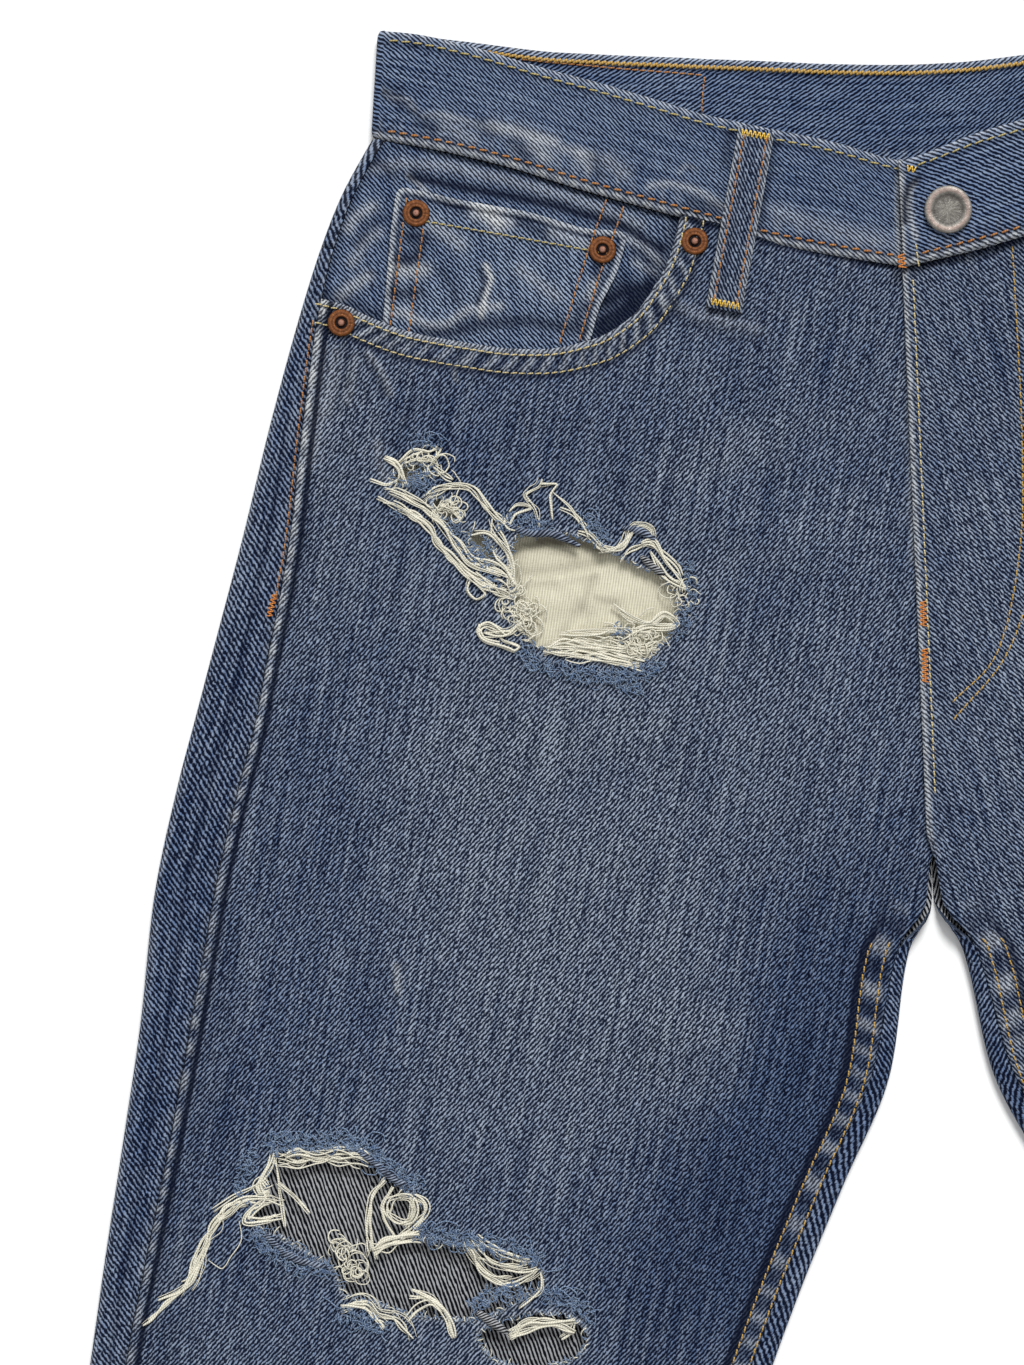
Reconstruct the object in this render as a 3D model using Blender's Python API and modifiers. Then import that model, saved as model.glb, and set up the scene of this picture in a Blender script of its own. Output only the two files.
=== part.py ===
"""Ripped five-pocket jeans, laid flat and face up, as thin solid walls of cloth.

Every size below is in millimetres, and MM turns it into metres. X runs across the garment with the
wearer's right side at -X, Y runs towards the waist, and Z is up from the surface that it lies on.
The origin is on that surface, under the middle of the garment. The tables are written from the point
where the top of the waistband meets the centre front, for the wearer's right side, and the left side
mirrors it.
"""
import math
from collections import namedtuple

import bmesh
import bpy
import numpy as np

MM = 0.001

# Cloth and seams
DENIM = 1.2
POCKETING = 1.0
BAND = 3.0
HEM = 2.2
HEM_WIDTH = 13.0
SEAM = 0.3
LOOP_CLOTH = 2.0

# Heights above the surface that the garment lies on
EDGE_TOP = 5.0
HIP_TOP = 6.2
LEG_TOP = 5.6
EDGE_FALL = 22.0
FACING_TOP = 4.9
POCKET_RAISE = 1.6
FLY_LAP = 0.9
POCKET_LIFT = 1.35
FOLD_REACH = 3.0
BACK_POCKET = 1.0
ROUND_CLEARANCE = 0.05

# Where those heights change, each as the place where it starts and the way that it takes
CROWN_FALL = (-190.0, 80.0)
POCKET_RISE_UP = (-190.0, 95.0)
POCKET_RISE_OUT = (-20.0, 60.0)
LAP_RISE = (-25.0, 17.0)
LIFT_BESIDE = (122.0, 24.0)
LIFT_ABOVE = (-52.0, 28.0)
LIFT_BELOW = (232.0, 36.0)
LIFT_LOOP = (30.0, 18.0)
LIFT_LOOP_ABOVE = (-46.0, 22.0)

# Waistband
BAND_SIDE_TOP = 6.3
BAND_FRONT_TOP = 7.6
BAND_LAP = 3.3
BAND_RIGHT_END = 32.0
BAND_LEFT_END = 2.0
BAND_CROWN = (186.0, 36.0)
BAND_LAP_FROM = (78.0, 40.0)
FOLD_ANGLES = (50.0, 0.0, -50.0)

# The crotch lies at one station of the sections, and the legs' inner folds close just below it
CROTCH_DOWN = 222.0
CROTCH_FADE = (12.0, 14.0)
LAP_FADE = (14.0, 20.0)
FOLDED_DOWN = 240.0
FREE_DOWN = 460.0
YOKE_DOWN = 44.0
HEM_DOWN = 1043.0
HEM_STEP = (HEM_DOWN - HEM_WIDTH - 0.2, HEM_DOWN - HEM_WIDTH + 0.2)

# Sections from the waist seam to the hem, square to the leg. "down" is the way along the outer edge,
# "inner" the centre line and then the leg's inner edge, and "wrap" how far the back panel comes round
# onto the top at each edge.
Section = namedtuple("Section", "down outer_x outer_y inner_x front_y back_y out_wrap in_wrap")
SECTIONS = (
    Section(0.0, -189.0, 17.0, 0.0, -37.5, -3.0, 4.0, 0.0),
    Section(23.0, -201.0, -3.0, 0.0, -60.0, -42.0, 4.0, 0.0),
    Section(44.0, -209.0, -21.0, 0.0, -81.0, -78.0, 4.5, 0.0),
    Section(64.0, -216.0, -40.0, 0.0, -101.0, -101.0, 6.0, 0.0),
    Section(108.0, -229.5, -82.0, 0.0, -146.0, -146.0, 11.5, 0.0),
    Section(153.0, -242.0, -125.0, 0.0, -193.0, -193.0, 17.0, 0.0),
    Section(197.0, -255.0, -167.0, 0.0, -238.0, -238.0, 20.0, 0.0),
    Section(222.0, -262.4, -191.0, -0.2, -264.0, -264.0, 21.5, 2.2),
    Section(241.0, -268.0, -209.0, -9.3, -281.3, -281.3, 21.5, 4.0),
    Section(285.0, -279.0, -252.0, -18.0, -325.0, -325.0, 21.0, 6.5),
    Section(329.0, -285.5, -295.0, -36.5, -364.4, -364.4, 18.0, 7.5),
    Section(372.0, -293.5, -337.0, -54.5, -403.6, -403.6, 16.5, 7.5),
    Section(416.0, -302.0, -380.0, -71.0, -444.6, -444.6, 14.5, 7.5),
    Section(443.0, -307.0, -407.0, -79.5, -470.0, -470.0, 13.0, 7.5),
    Section(596.0, -336.0, -557.0, -126.0, -615.0, -615.0, 12.0, 8.0),
    Section(1043.0, -447.6, -990.0, -255.0, -1044.0, -1044.0, 12.0, 8.0),
)

# The waistband's edges. The back edge is lowest a little to the left of the centre line.
BandEdge = namedtuple("BandEdge", "x y")
FRONT_TOP_EDGE = (
    BandEdge(0.0, 0.0), BandEdge(7.0, 2.0), BandEdge(26.0, 8.5), BandEdge(46.0, 13.5),
    BandEdge(72.0, 20.5), BandEdge(87.5, 26.0), BandEdge(108.0, 33.0), BandEdge(127.0, 39.0),
    BandEdge(155.0, 48.5), BandEdge(174.0, 53.5), BandEdge(190.0, 55.5),
)
FRONT_BOTTOM_EDGE = (
    BandEdge(0.0, -37.5), BandEdge(32.0, -31.0), BandEdge(53.0, -25.5), BandEdge(67.0, -20.5),
    BandEdge(89.0, -13.5), BandEdge(115.0, -5.0), BandEdge(140.0, 4.0), BandEdge(166.0, 11.5),
    BandEdge(192.0, 17.5),
)
BACK_TOP_EDGE = (
    BandEdge(-190.0, 56.0), BandEdge(-155.0, 50.5), BandEdge(-121.0, 45.0), BandEdge(-56.0, 39.5),
    BandEdge(9.0, 35.0), BandEdge(70.0, 39.5), BandEdge(130.0, 46.5), BandEdge(190.0, 56.0),
)
BACK_BOTTOM_EDGE = (
    BandEdge(-192.0, 17.5), BandEdge(-155.0, 11.0), BandEdge(-121.0, 7.0), BandEdge(-56.0, 1.5),
    BandEdge(0.0, -3.0), BandEdge(56.0, 1.5), BandEdge(121.0, 7.0), BandEdge(155.0, 11.0),
    BandEdge(192.0, 17.5),
)
SIDE_TOP_X = -185.5
SIDE_BOTTOM_X = -189.5

# The scoop of the front pocket, from the outseam to the waist seam
SCOOP = (
    (-214.0, -38.5), (-206.0, -41.5), (-197.0, -45.5), (-184.0, -51.5), (-170.0, -55.5),
    (-146.0, -60.4), (-130.0, -61.6), (-118.0, -60.0), (-106.0, -56.0), (-96.0, -48.0),
    (-88.0, -36.5), (-83.0, -25.5), (-80.2, -16.0),
)
FACING_RIGHT_X = -66.0
FACING_DOWN = 90.0

# The coin pocket: its top corners, then its sides, which run on under the front panel
COIN_POCKET = ((-181.0, -3.0), (-100.0, -21.5), (-120.0, -72.5), (-193.0, -62.0))
COIN_CLOTH = 1.0

# The holes worn through the front panel, clockwise from the top left
RIP_UPPER = (
    (-145.0, -128.5), (-133.0, -127.0), (-121.0, -129.0), (-106.0, -137.0), (-94.0, -143.0),
    (-87.0, -152.0), (-89.5, -162.5), (-99.0, -173.5), (-112.0, -174.5), (-130.0, -169.5),
    (-142.0, -162.5), (-146.0, -150.0), (-145.5, -139.0),
)
RIP_LOWER = (
    (-239.5, -344.5), (-222.0, -343.5), (-207.0, -345.0), (-199.0, -355.0), (-188.0, -365.0),
    (-188.5, -375.5), (-174.0, -379.8), (-156.0, -385.0), (-145.5, -392.0), (-152.0, -399.5),
    (-166.0, -405.3), (-187.0, -404.5), (-205.0, -399.0), (-217.0, -394.5), (-222.0, -385.0),
    (-234.0, -377.0), (-247.0, -369.0), (-243.5, -356.5),
)
RIP_LOW_RIGHT = (
    (-170.0, -411.8), (-157.0, -407.5), (-143.0, -406.0), (-131.0, -410.5), (-133.0, -419.5),
    (-148.0, -425.0), (-164.0, -421.5),
)
SmallHole = namedtuple("SmallHole", "x y length width turn")
SMALL_HOLES = (
    SmallHole(-181.0, -104.0, 13.0, 7.0, 20.0),
    SmallHole(-168.5, -117.0, 12.0, 5.5, -35.0),
    SmallHole(-155.5, -131.0, 16.0, 5.5, -50.0),
)

# The loose threads: where each row of them is rooted, and how they run
Fray = namedtuple("Fray", "name start end count reach turn bend drop")
FRAYS = (
    Fray("fray_upper", (-144.0, -124.0), (-96.0, -136.5), 15, 33.0, -8.0, 0.10, 0.9),
    Fray("fray_lower", (-238.0, -340.5), (-206.0, -341.0), 10, 36.0, 18.0, 0.14, 1.6),
    Fray("fray_low_middle", (-184.0, -372.0), (-152.0, -381.5), 10, 22.0, -14.0, 0.12, 1.3),
)
STRAND_WIDTH = 0.9
STRAND_THICK = 0.6
STRAND_TIP = 0.5
STRAND_STEPS = 5
STRAND_UNEVEN = 0.18
STRAND_RHYTHM = 1.7
STRIP_WIDTH = 2.4
STRIP_CLEARANCE = SEAM + 0.15

# Largest folds of the top: a ridge where the height is above nought and a trough where it is below
Fold = namedtuple("Fold", "x0 y0 x1 y1 height width")
FOLDS = (
    Fold(-207.0, -66.0, -205.0, -150.0, 0.5, 9.0),
    Fold(-100.0, -84.0, -18.0, -126.0, -0.7, 13.0),
    Fold(-150.0, -200.0, -60.0, -232.0, -0.6, 15.0),
    Fold(-186.0, -236.0, -204.0, -338.0, -0.6, 15.0),
    Fold(-44.0, -300.0, -112.0, -436.0, -0.7, 13.0),
    Fold(-110.0, -290.0, -70.0, -330.0, 0.5, 13.0),
    Fold(-262.0, -420.0, -276.0, -520.0, -0.6, 12.0),
    Fold(-316.0, -548.0, -214.0, -604.0, 0.6, 13.0),
    Fold(-232.0, -640.0, -156.0, -622.0, -0.7, 12.0),
    Fold(-330.0, -660.0, -262.0, -690.0, -0.7, 14.0),
    Fold(-262.0, -730.0, -318.0, -900.0, 0.5, 14.0),
    Fold(-360.0, -800.0, -402.0, -930.0, -0.6, 13.0),
)

# Fastenings
Rivet = namedtuple("Rivet", "name x y")
RIVETS = (
    Rivet("rivet_coin_outer", -174.5, -10.9),
    Rivet("rivet_coin_inner", -108.6, -26.8),
    Rivet("rivet_waist_right", -75.7, -25.4),
    Rivet("rivet_side_right", -202.8, -49.0),
    Rivet("rivet_waist_left", 75.7, -25.4),
    Rivet("rivet_side_left", 202.8, -49.0),
)
RIVET_RADIUS = 4.9
RIVET_PROFILE = (
    (0.0, 1.7), (1.3, 1.6), (1.9, 0.9), (3.0, 0.8), (4.1, 1.0), (RIVET_RADIUS, 0.5),
    (RIVET_RADIUS, 0.0), (0.0, 0.0),
)
RIVET_STEPS = 14
BUTTON_X = 14.5
BUTTON_Y = -18.5
BUTTON_PROFILE = (
    (0.0, 4.9), (5.2, 4.7), (6.0, 5.4), (7.6, 5.5), (8.5, 4.8), (8.3, 3.9), (2.5, 3.6), (2.5, 0.0),
    (0.0, 0.0),
)
BUTTON_STEPS = 20
BUTTONHOLE_LENGTH = 19.0
BUTTONHOLE_WIDTH = 6.4
CUT_LOW = -5.0
CUT_HIGH = 30.0

# Belt loops: the front ones cross the waistband, and the back ones lie flat under it
LOOP_WIDTH = 12.9
LOOP_STEP_BELOW = 6.0
FRONT_LOOP_TOP = (-52.0, 13.5)
FRONT_LOOP_BOTTOM = (-66.5, -50.5)
LoopPoint = namedtuple("LoopPoint", "share arch")
FRONT_LOOP = (
    LoopPoint(0.0, 0.0), LoopPoint(0.08, 0.5), LoopPoint(0.2, 1.1), LoopPoint(0.35, 1.5),
    LoopPoint(0.5, 1.5), LoopPoint(0.62, 1.2), LoopPoint(0.74, 0.8), LoopPoint(0.86, 0.2),
    LoopPoint(1.0, 0.0),
)
BACK_LOOP_X = 95.0
BACK_LOOP_THICK = 1.0
BACK_LOOP_INSET = 1.5
BACK_LOOP_BELOW = 11.0

# Back pocket: a frame at the middle of its top edge, leaning with the leg, and its outline in it
BACK_POCKET_AT = (-101.0, -77.5)
BACK_POCKET_LEAN = math.radians(15.4)
BACK_POCKET_OUTLINE = ((-74.0, 0.0), (74.0, 0.0), (66.0, 140.0), (0.0, 165.0), (-66.0, 140.0))

# Pocket bag, between stations along the side and between these two lines
BAG_DOWN = (91.0, 196.0)
BAG_OUTER_X = -201.0
BAG_INNER_X = -62.0
BAG_CLEARANCE = 0.5

COLOURS = {
    "denim": (0.075, 0.105, 0.175),
    "denim_dark": (0.035, 0.050, 0.100),
    "pocketing": (0.62, 0.58, 0.47),
    "copper": (0.42, 0.17, 0.08),
    "steel": (0.45, 0.45, 0.46),
    "thread": (0.78, 0.76, 0.70),
}


def monotone(xs, ys, x):
    """Value at x of the smooth curve through the points, which never swings past them."""
    xs = np.asarray(xs, dtype=float)
    ys = np.asarray(ys, dtype=float)
    step = np.diff(xs)
    rise = np.diff(ys) / step
    same_way = rise[:-1] * rise[1:] > 0.0
    before = np.where(same_way, rise[:-1], 1.0)
    after = np.where(same_way, rise[1:], 1.0)
    first = 2.0 * step[1:] + step[:-1]
    second = step[1:] + 2.0 * step[:-1]
    mean = (first + second) / (first / before + second / after)
    slope = np.zeros_like(ys)
    slope[0] = rise[0]
    slope[-1] = rise[-1]
    slope[1:-1] = np.where(same_way, mean, 0.0)
    x = min(max(x, xs[0]), xs[-1])
    k = int(np.clip(np.searchsorted(xs, x) - 1, 0, len(step) - 1))
    t = (x - xs[k]) / step[k]
    start = ys[k] * (1.0 + 2.0 * t) + step[k] * slope[k] * t
    end = ys[k + 1] * (3.0 - 2.0 * t) - step[k] * slope[k + 1] * (1.0 - t)
    return float(start * (1.0 - t) ** 2 + end * t * t)


def ease(value):
    """Smooth step from 0 to 1."""
    value = min(max(value, 0.0), 1.0)
    return value * value * (3.0 - 2.0 * value)


def edge_at(edge, x):
    """Height of a waistband edge at x, mirrored where its table starts at the centre line."""
    key = abs(x) if edge[0].x == 0.0 else x
    return monotone([point.x for point in edge], [point.y for point in edge], key)


def section_at(down):
    """The section at one station along the side."""
    stations = [section.down for section in SECTIONS]
    values = [monotone(stations, column, down) for column in zip(*SECTIONS)]
    return Section(*values)


def side_lines():
    """The outer edge, the outseam and the inner edge as tables of x for each y."""
    outer = []
    outseam = []
    inner = []
    for down in np.arange(0.0, HEM_DOWN + 1.0, 10.0):
        section = section_at(min(down, HEM_DOWN))
        across_x = section.inner_x - section.outer_x
        across_y = section.front_y - section.outer_y
        width = math.hypot(across_x, across_y)
        outer.append((section.outer_y, section.outer_x))
        outseam.append((section.outer_y + across_y * section.out_wrap / width,
                        section.outer_x + across_x * section.out_wrap / width))
        inner.append((section.front_y, section.inner_x))
    return outer, outseam, inner


OUTER_LINE, OUTSEAM_LINE, INNER_LINE = side_lines()
Y_MIDDLE = (FRONT_TOP_EDGE[-1].y + SECTIONS[-1].front_y) / 2.0
CROTCH_Y = section_at(CROTCH_DOWN).front_y


def line_x(line, y):
    """x on one of the side lines at height y."""
    return float(np.interp(-y, [-point[0] for point in line], [point[1] for point in line]))


def fold_height(x, y):
    """How far the folds raise or lower the top at a point of the right side."""
    height = 0.0
    for fold in FOLDS:
        run_x = fold.x1 - fold.x0
        run_y = fold.y1 - fold.y0
        length = math.hypot(run_x, run_y)
        along = ((x - fold.x0) * run_x + (y - fold.y0) * run_y) / length ** 2
        beside = ((x - fold.x0) * run_y - (y - fold.y0) * run_x) / length
        fade = ease(4.0 * along) * ease(4.0 * (1.0 - along)) if 0.0 < along < 1.0 else 0.0
        height += fold.height * fade * math.exp(-(beside / fold.width) ** 2)
    return height


def front_top(x, y):
    """Height of the front panels' face at a point, on either side."""
    x = -abs(x)
    from_outseam = x - line_x(OUTSEAM_LINE, y)
    from_inseam = line_x(INNER_LINE, y) - x if y < CROTCH_Y else 3.0 * EDGE_FALL
    from_inseam = min(from_inseam, math.hypot(x, y - CROTCH_Y))
    crown = HIP_TOP + (LEG_TOP - HIP_TOP) * ease((CROWN_FALL[0] - y) / CROWN_FALL[1])
    rise = ease(from_outseam / EDGE_FALL) * ease(from_inseam / EDGE_FALL)
    pocket = ease((y - POCKET_RISE_UP[0]) / POCKET_RISE_UP[1])
    pocket *= ease((POCKET_RISE_OUT[0] - x) / POCKET_RISE_OUT[1])
    return EDGE_TOP + (crown - EDGE_TOP + fold_height(x, y)) * rise + POCKET_RAISE * pocket


def back_lift(x, y):
    """How far the back is raised by the pockets and belt loops that lie under it."""
    side = -abs(x)
    cos = math.cos(BACK_POCKET_LEAN)
    sin = math.sin(BACK_POCKET_LEAN)
    right = (side - BACK_POCKET_AT[0]) * cos - (y - BACK_POCKET_AT[1]) * sin
    below = -(side - BACK_POCKET_AT[0]) * sin - (y - BACK_POCKET_AT[1]) * cos
    lift = ease((LIFT_BESIDE[0] - abs(right)) / LIFT_BESIDE[1])
    lift *= ease((below - LIFT_ABOVE[0]) / LIFT_ABOVE[1])
    lift *= ease((LIFT_BELOW[0] - below) / LIFT_BELOW[1])
    from_band = y - edge_at(BACK_BOTTOM_EDGE, x)
    for loop_x in (-BACK_LOOP_X, 0.0, BACK_LOOP_X):
        near = ease((LIFT_LOOP[0] - abs(x - loop_x)) / LIFT_LOOP[1])
        above = ease((from_band - LIFT_LOOP_ABOVE[0]) / LIFT_LOOP_ABOVE[1])
        lift = max(lift, near * above)
    return POCKET_LIFT * lift


def hem_cloth(down):
    """Thickness of a panel, doubled at the hem."""
    return HEM if down > HEM_DOWN - HEM_WIDTH else DENIM


def material(name, metallic=0.0, roughness=0.9):
    """A plain material of one of the garment's colours."""
    made = bpy.data.materials.new(name)
    made.use_nodes = True
    shader = made.node_tree.nodes["Principled BSDF"]
    shader.inputs["Base Color"].default_value = (*COLOURS[name], 1.0)
    shader.inputs["Metallic"].default_value = metallic
    shader.inputs["Roughness"].default_value = roughness
    return made


def place(points):
    """Garment millimetres to metres about the origin."""
    return [(x * MM, (y - Y_MIDDLE) * MM, z * MM) for x, y, z in points]


def new_object(name, points, faces, finish, collection):
    """A closed mesh object, triangulated, with its faces pointing out."""
    mesh = bpy.data.meshes.new(name)
    mesh.from_pydata(place(points), [], faces)
    work = bmesh.new()
    work.from_mesh(mesh)
    bmesh.ops.triangulate(work, faces=work.faces)
    bmesh.ops.recalc_face_normals(work, faces=work.faces)
    work.to_mesh(mesh)
    work.free()
    mesh.materials.append(finish)
    made = bpy.data.objects.new(name, mesh)
    collection.objects.link(made)
    return made


def wall(name, outer, inner, finish, collection):
    """A wall of cloth between two grids of points of the same size."""
    rows = len(outer)
    columns = len(outer[0])
    points = [point for row in outer for point in row]
    points += [point for row in inner for point in row]
    back = rows * columns
    faces = []
    for i in range(rows - 1):
        for j in range(columns - 1):
            a = i * columns + j
            b = a + columns
            faces.append((a, a + 1, b + 1, b))
            faces.append((back + a, back + b, back + b + 1, back + a + 1))
    rim = list(range(columns))
    rim += [i * columns + columns - 1 for i in range(1, rows)]
    rim += [(rows - 1) * columns + j for j in range(columns - 2, -1, -1)]
    rim += [i * columns for i in range(rows - 2, 0, -1)]
    for k, a in enumerate(rim):
        b = rim[(k + 1) % len(rim)]
        faces.append((a, back + a, back + b, b))
    return new_object(name, points, faces, finish, collection)


def plate(name, outline, low, high, finish, collection):
    """A flat piece with the given outline, between two heights."""
    count = len(outline)
    points = [(x, y, low) for x, y in outline] + [(x, y, high) for x, y in outline]
    faces = [tuple(range(count)), tuple(range(2 * count - 1, count - 1, -1))]
    for k in range(count):
        after = (k + 1) % count
        faces.append((k, count + k, count + after, after))
    return new_object(name, points, faces, finish, collection)


def cut(panel, name, outline, cutters, low=CUT_LOW, high=CUT_HIGH):
    """Cut an outline through a panel."""
    cutter = plate(name, outline, low, high, panel.data.materials[0], cutters)
    cutter.hide_render = True
    cutter.display_type = "WIRE"
    modifier = panel.modifiers.new(name, "BOOLEAN")
    modifier.operation = "DIFFERENCE"
    modifier.solver = "EXACT"
    modifier.object = cutter


def mirrored(outline, side):
    """An outline of the right side, or its mirror image where side is -1."""
    return [(x * side, y) for x, y in outline]


def stations(first, last, step, extra=()):
    """Stations between two values at most one step apart, with some that are wanted exactly."""
    count = max(1, math.ceil((last - first) / step))
    found = [first + (last - first) * k / count for k in range(count + 1)]
    found = [value for value in found if all(abs(value - wanted) > step / 4.0 for wanted in extra)]
    return sorted(set(found) | set(extra) | {first, last})


def front_panel(name, side, lap, lap_height, finish, collection):
    """A front panel, from the outseam to the fly and then to the inseam."""
    down_hip = stations(0.0, CROTCH_DOWN, 20.0)
    down_thigh = stations(CROTCH_DOWN, FREE_DOWN, 24.0, (FOLDED_DOWN,))
    down_leg = stations(FREE_DOWN, HEM_DOWN, 42.0, HEM_STEP)
    shares = (0.0, 0.035, 0.09, 0.16, 0.25, 0.35, 0.46, 0.57, 0.68, 0.78, 0.86, 0.92, 0.965, 1.0)
    face = []
    reverse = []
    for down in sorted(set(down_hip + down_thigh + down_leg)):
        section = section_at(down)
        across_x = section.inner_x - section.outer_x
        across_y = section.front_y - section.outer_y
        width = math.hypot(across_x, across_y)
        above_crotch = ease((CROTCH_DOWN - CROTCH_FADE[0] - down) / CROTCH_FADE[1])
        lap_fade = ease((CROTCH_DOWN + LAP_FADE[0] - down) / LAP_FADE[1])
        start = section.out_wrap + SEAM
        end = width - (section.in_wrap + SEAM) * (1.0 - above_crotch) + lap * above_crotch
        face_row = []
        reverse_row = []
        for share in shares:
            way = (start + (end - start) * share) / width
            x = section.outer_x + across_x * way
            y = section.outer_y + across_y * way
            if down == 0.0:
                y = edge_at(FRONT_BOTTOM_EDGE, x) - SEAM
            raised = lap_height * ease((x - LAP_RISE[0]) / LAP_RISE[1]) * lap_fade
            top = front_top(x, y) + raised
            face_row.append((x * side, y, top))
            reverse_row.append((x * side, y, top - hem_cloth(down)))
        face.append(face_row)
        reverse.append(reverse_row)
    return wall(name, face, reverse, finish, collection)


def outer_fold(section, cloth):
    """The back panel's wrap onto the top and its fold at the outer edge: (way in, height) pairs."""
    half = EDGE_TOP / 2.0
    outside = [(section.out_wrap, EDGE_TOP)]
    inside = [(section.out_wrap, EDGE_TOP - cloth)]
    for degrees in (90.0, 50.0, 15.0, -15.0, -50.0, -90.0):
        cos = math.cos(math.radians(degrees))
        sin = math.sin(math.radians(degrees))
        outside.append((FOLD_REACH * (1.0 - cos), half + half * sin))
        inside.append((FOLD_REACH - (FOLD_REACH - cloth) * cos, half + (half - cloth) * sin))
    return outside, inside


def inner_fold(section, width, down, cloth):
    """The fold at the leg's inner edge, which opens out flat at the crotch."""
    bend = min(max((down - CROTCH_DOWN) / (FOLDED_DOWN - CROTCH_DOWN), 0.0), 1.0)
    radius = EDGE_TOP / 2.0
    arc = math.pi * radius
    wrap = max(section.in_wrap - radius, 0.6)
    outside = []
    inside = []
    for way in (0.0, 0.2 * arc, 0.4 * arc, 0.6 * arc, 0.8 * arc, arc, arc + wrap):
        angle = bend * min(way, arc) / radius
        past = max(way - arc, 0.0)
        if bend > 0.0:
            across = radius / bend * math.sin(angle) + past * math.cos(angle)
            up = radius / bend * (1.0 - math.cos(angle)) + past * math.sin(angle)
        else:
            across = way
            up = 0.0
        outside.append((across, up))
        inside.append((across - cloth * math.sin(angle), up + cloth * math.cos(angle)))
    shift = width - max(across for across, _ in outside)
    outside = [(across + shift, up) for across, up in outside]
    inside = [(across + shift, up) for across, up in inside]
    return outside, inside


def back_row(down, side, flat_shares, top_edge=None):
    """One section of a back panel or yoke: its outside points and its inside points."""
    section = section_at(down)
    cloth = hem_cloth(down)
    across_x = section.inner_x - section.outer_x
    front_run = section.front_y - section.outer_y
    back_run = section.back_y - section.outer_y
    width = math.hypot(across_x, front_run)
    outside, inside = outer_fold(section, cloth)
    fold_out, fold_in = inner_fold(section, width - SEAM / 2.0, down, cloth)
    first = outside[-1][0]
    last = fold_out[0][0]
    for share in flat_shares:
        way = first + (last - first) * share
        outside.append((way, 0.0))
        inside.append((way, cloth))
    outside += fold_out
    inside += fold_in
    rows = []
    for path in (outside, inside):
        row = []
        for way, up in path:
            x = section.outer_x + across_x * way / width
            turn = ease((way - 20.0) / 40.0)
            run = front_run + (back_run - front_run) * turn
            y = section.outer_y + run * way / width
            if top_edge is not None:
                y = edge_at(top_edge, x * side) - SEAM
            row.append((x * side, y, up))
        rows.append(row)
    lifts = [back_lift(point[0], point[1]) if point[2] < 1.0 else 0.0 for point in rows[0]]
    return [[(x, y, z + lift) for (x, y, z), lift in zip(row, lifts)] for row in rows]


def back_piece(name, side, downs, finish, collection):
    """A yoke or a back panel, as a wall through its sections."""
    flat_shares = (0.07, 0.16, 0.28, 0.4, 0.52, 0.64, 0.76, 0.86, 0.94)
    outside = []
    inside = []
    for down in downs:
        top_edge = BACK_BOTTOM_EDGE if down == 0.0 else None
        outer_row, inner_row = back_row(down, side, flat_shares, top_edge)
        outside.append(outer_row)
        inside.append(inner_row)
    return wall(name, outside, inside, finish, collection)


def back_panels(side_name, side, finish, collection):
    """The yoke and the back panel of one side."""
    yoke_downs = stations(0.0, YOKE_DOWN - SEAM / 2.0, 12.0)
    back_piece("yoke_" + side_name, side, yoke_downs, finish, collection)
    down_seat = stations(YOKE_DOWN + SEAM / 2.0, CROTCH_DOWN, 20.0)
    down_crotch = (228.0, 234.0, FOLDED_DOWN)
    down_leg = stations(FOLDED_DOWN, FREE_DOWN, 28.0)
    down_shin = stations(FREE_DOWN, HEM_DOWN, 53.0, HEM_STEP)
    downs = sorted(set(down_seat) | set(down_crotch) | set(down_leg) | set(down_shin))
    back_piece("back_" + side_name, side, downs, finish, collection)


def band_front_top(x, lap):
    """Height of the waistband's face on the front, with its left end lapped over the right one."""
    crown = ease((BAND_CROWN[0] - abs(x)) / BAND_CROWN[1])
    top = BAND_SIDE_TOP + (BAND_FRONT_TOP - BAND_SIDE_TOP) * crown
    return top + lap * BAND_LAP * ease((BAND_LAP_FROM[0] - x) / BAND_LAP_FROM[1])


def band_station(x_pair, top, bottom, low_edge, high_edge):
    """The waistband's outside and inside points across its height at one place."""
    shares = (0.0, 0.5, 1.0)
    outside = []
    inside = []
    for share in shares:
        x = x_pair[0] + (x_pair[1] - x_pair[0]) * share
        y = edge_at(high_edge, x) * (1.0 - share) + edge_at(low_edge, x) * share
        outside.append((x, y, top(x, y)))
        inside.append((x, y, bottom(x, y)))
    return outside, inside


def band_fold(side, degrees, front):
    """The waistband's points round the fold at one side."""
    half = BAND_SIDE_TOP / 2.0
    cos = math.cos(math.radians(degrees))
    sin = math.sin(math.radians(degrees))
    high_edge = FRONT_TOP_EDGE if front else BACK_TOP_EDGE
    low_edge = FRONT_BOTTOM_EDGE if front else BACK_BOTTOM_EDGE
    outside = []
    inside = []
    for share in (0.0, 0.5, 1.0):
        edge_x = SIDE_TOP_X + (SIDE_BOTTOM_X - SIDE_TOP_X) * share
        centre_x = edge_x + half
        y = edge_at(high_edge, side * edge_x) * (1.0 - share) + edge_at(low_edge, side * edge_x) * share
        slack = half - BAND
        outside.append((side * (centre_x - half * cos), y, half + half * sin))
        inside.append((side * (centre_x - slack * cos), y, half + slack * sin))
    return outside, inside


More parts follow.
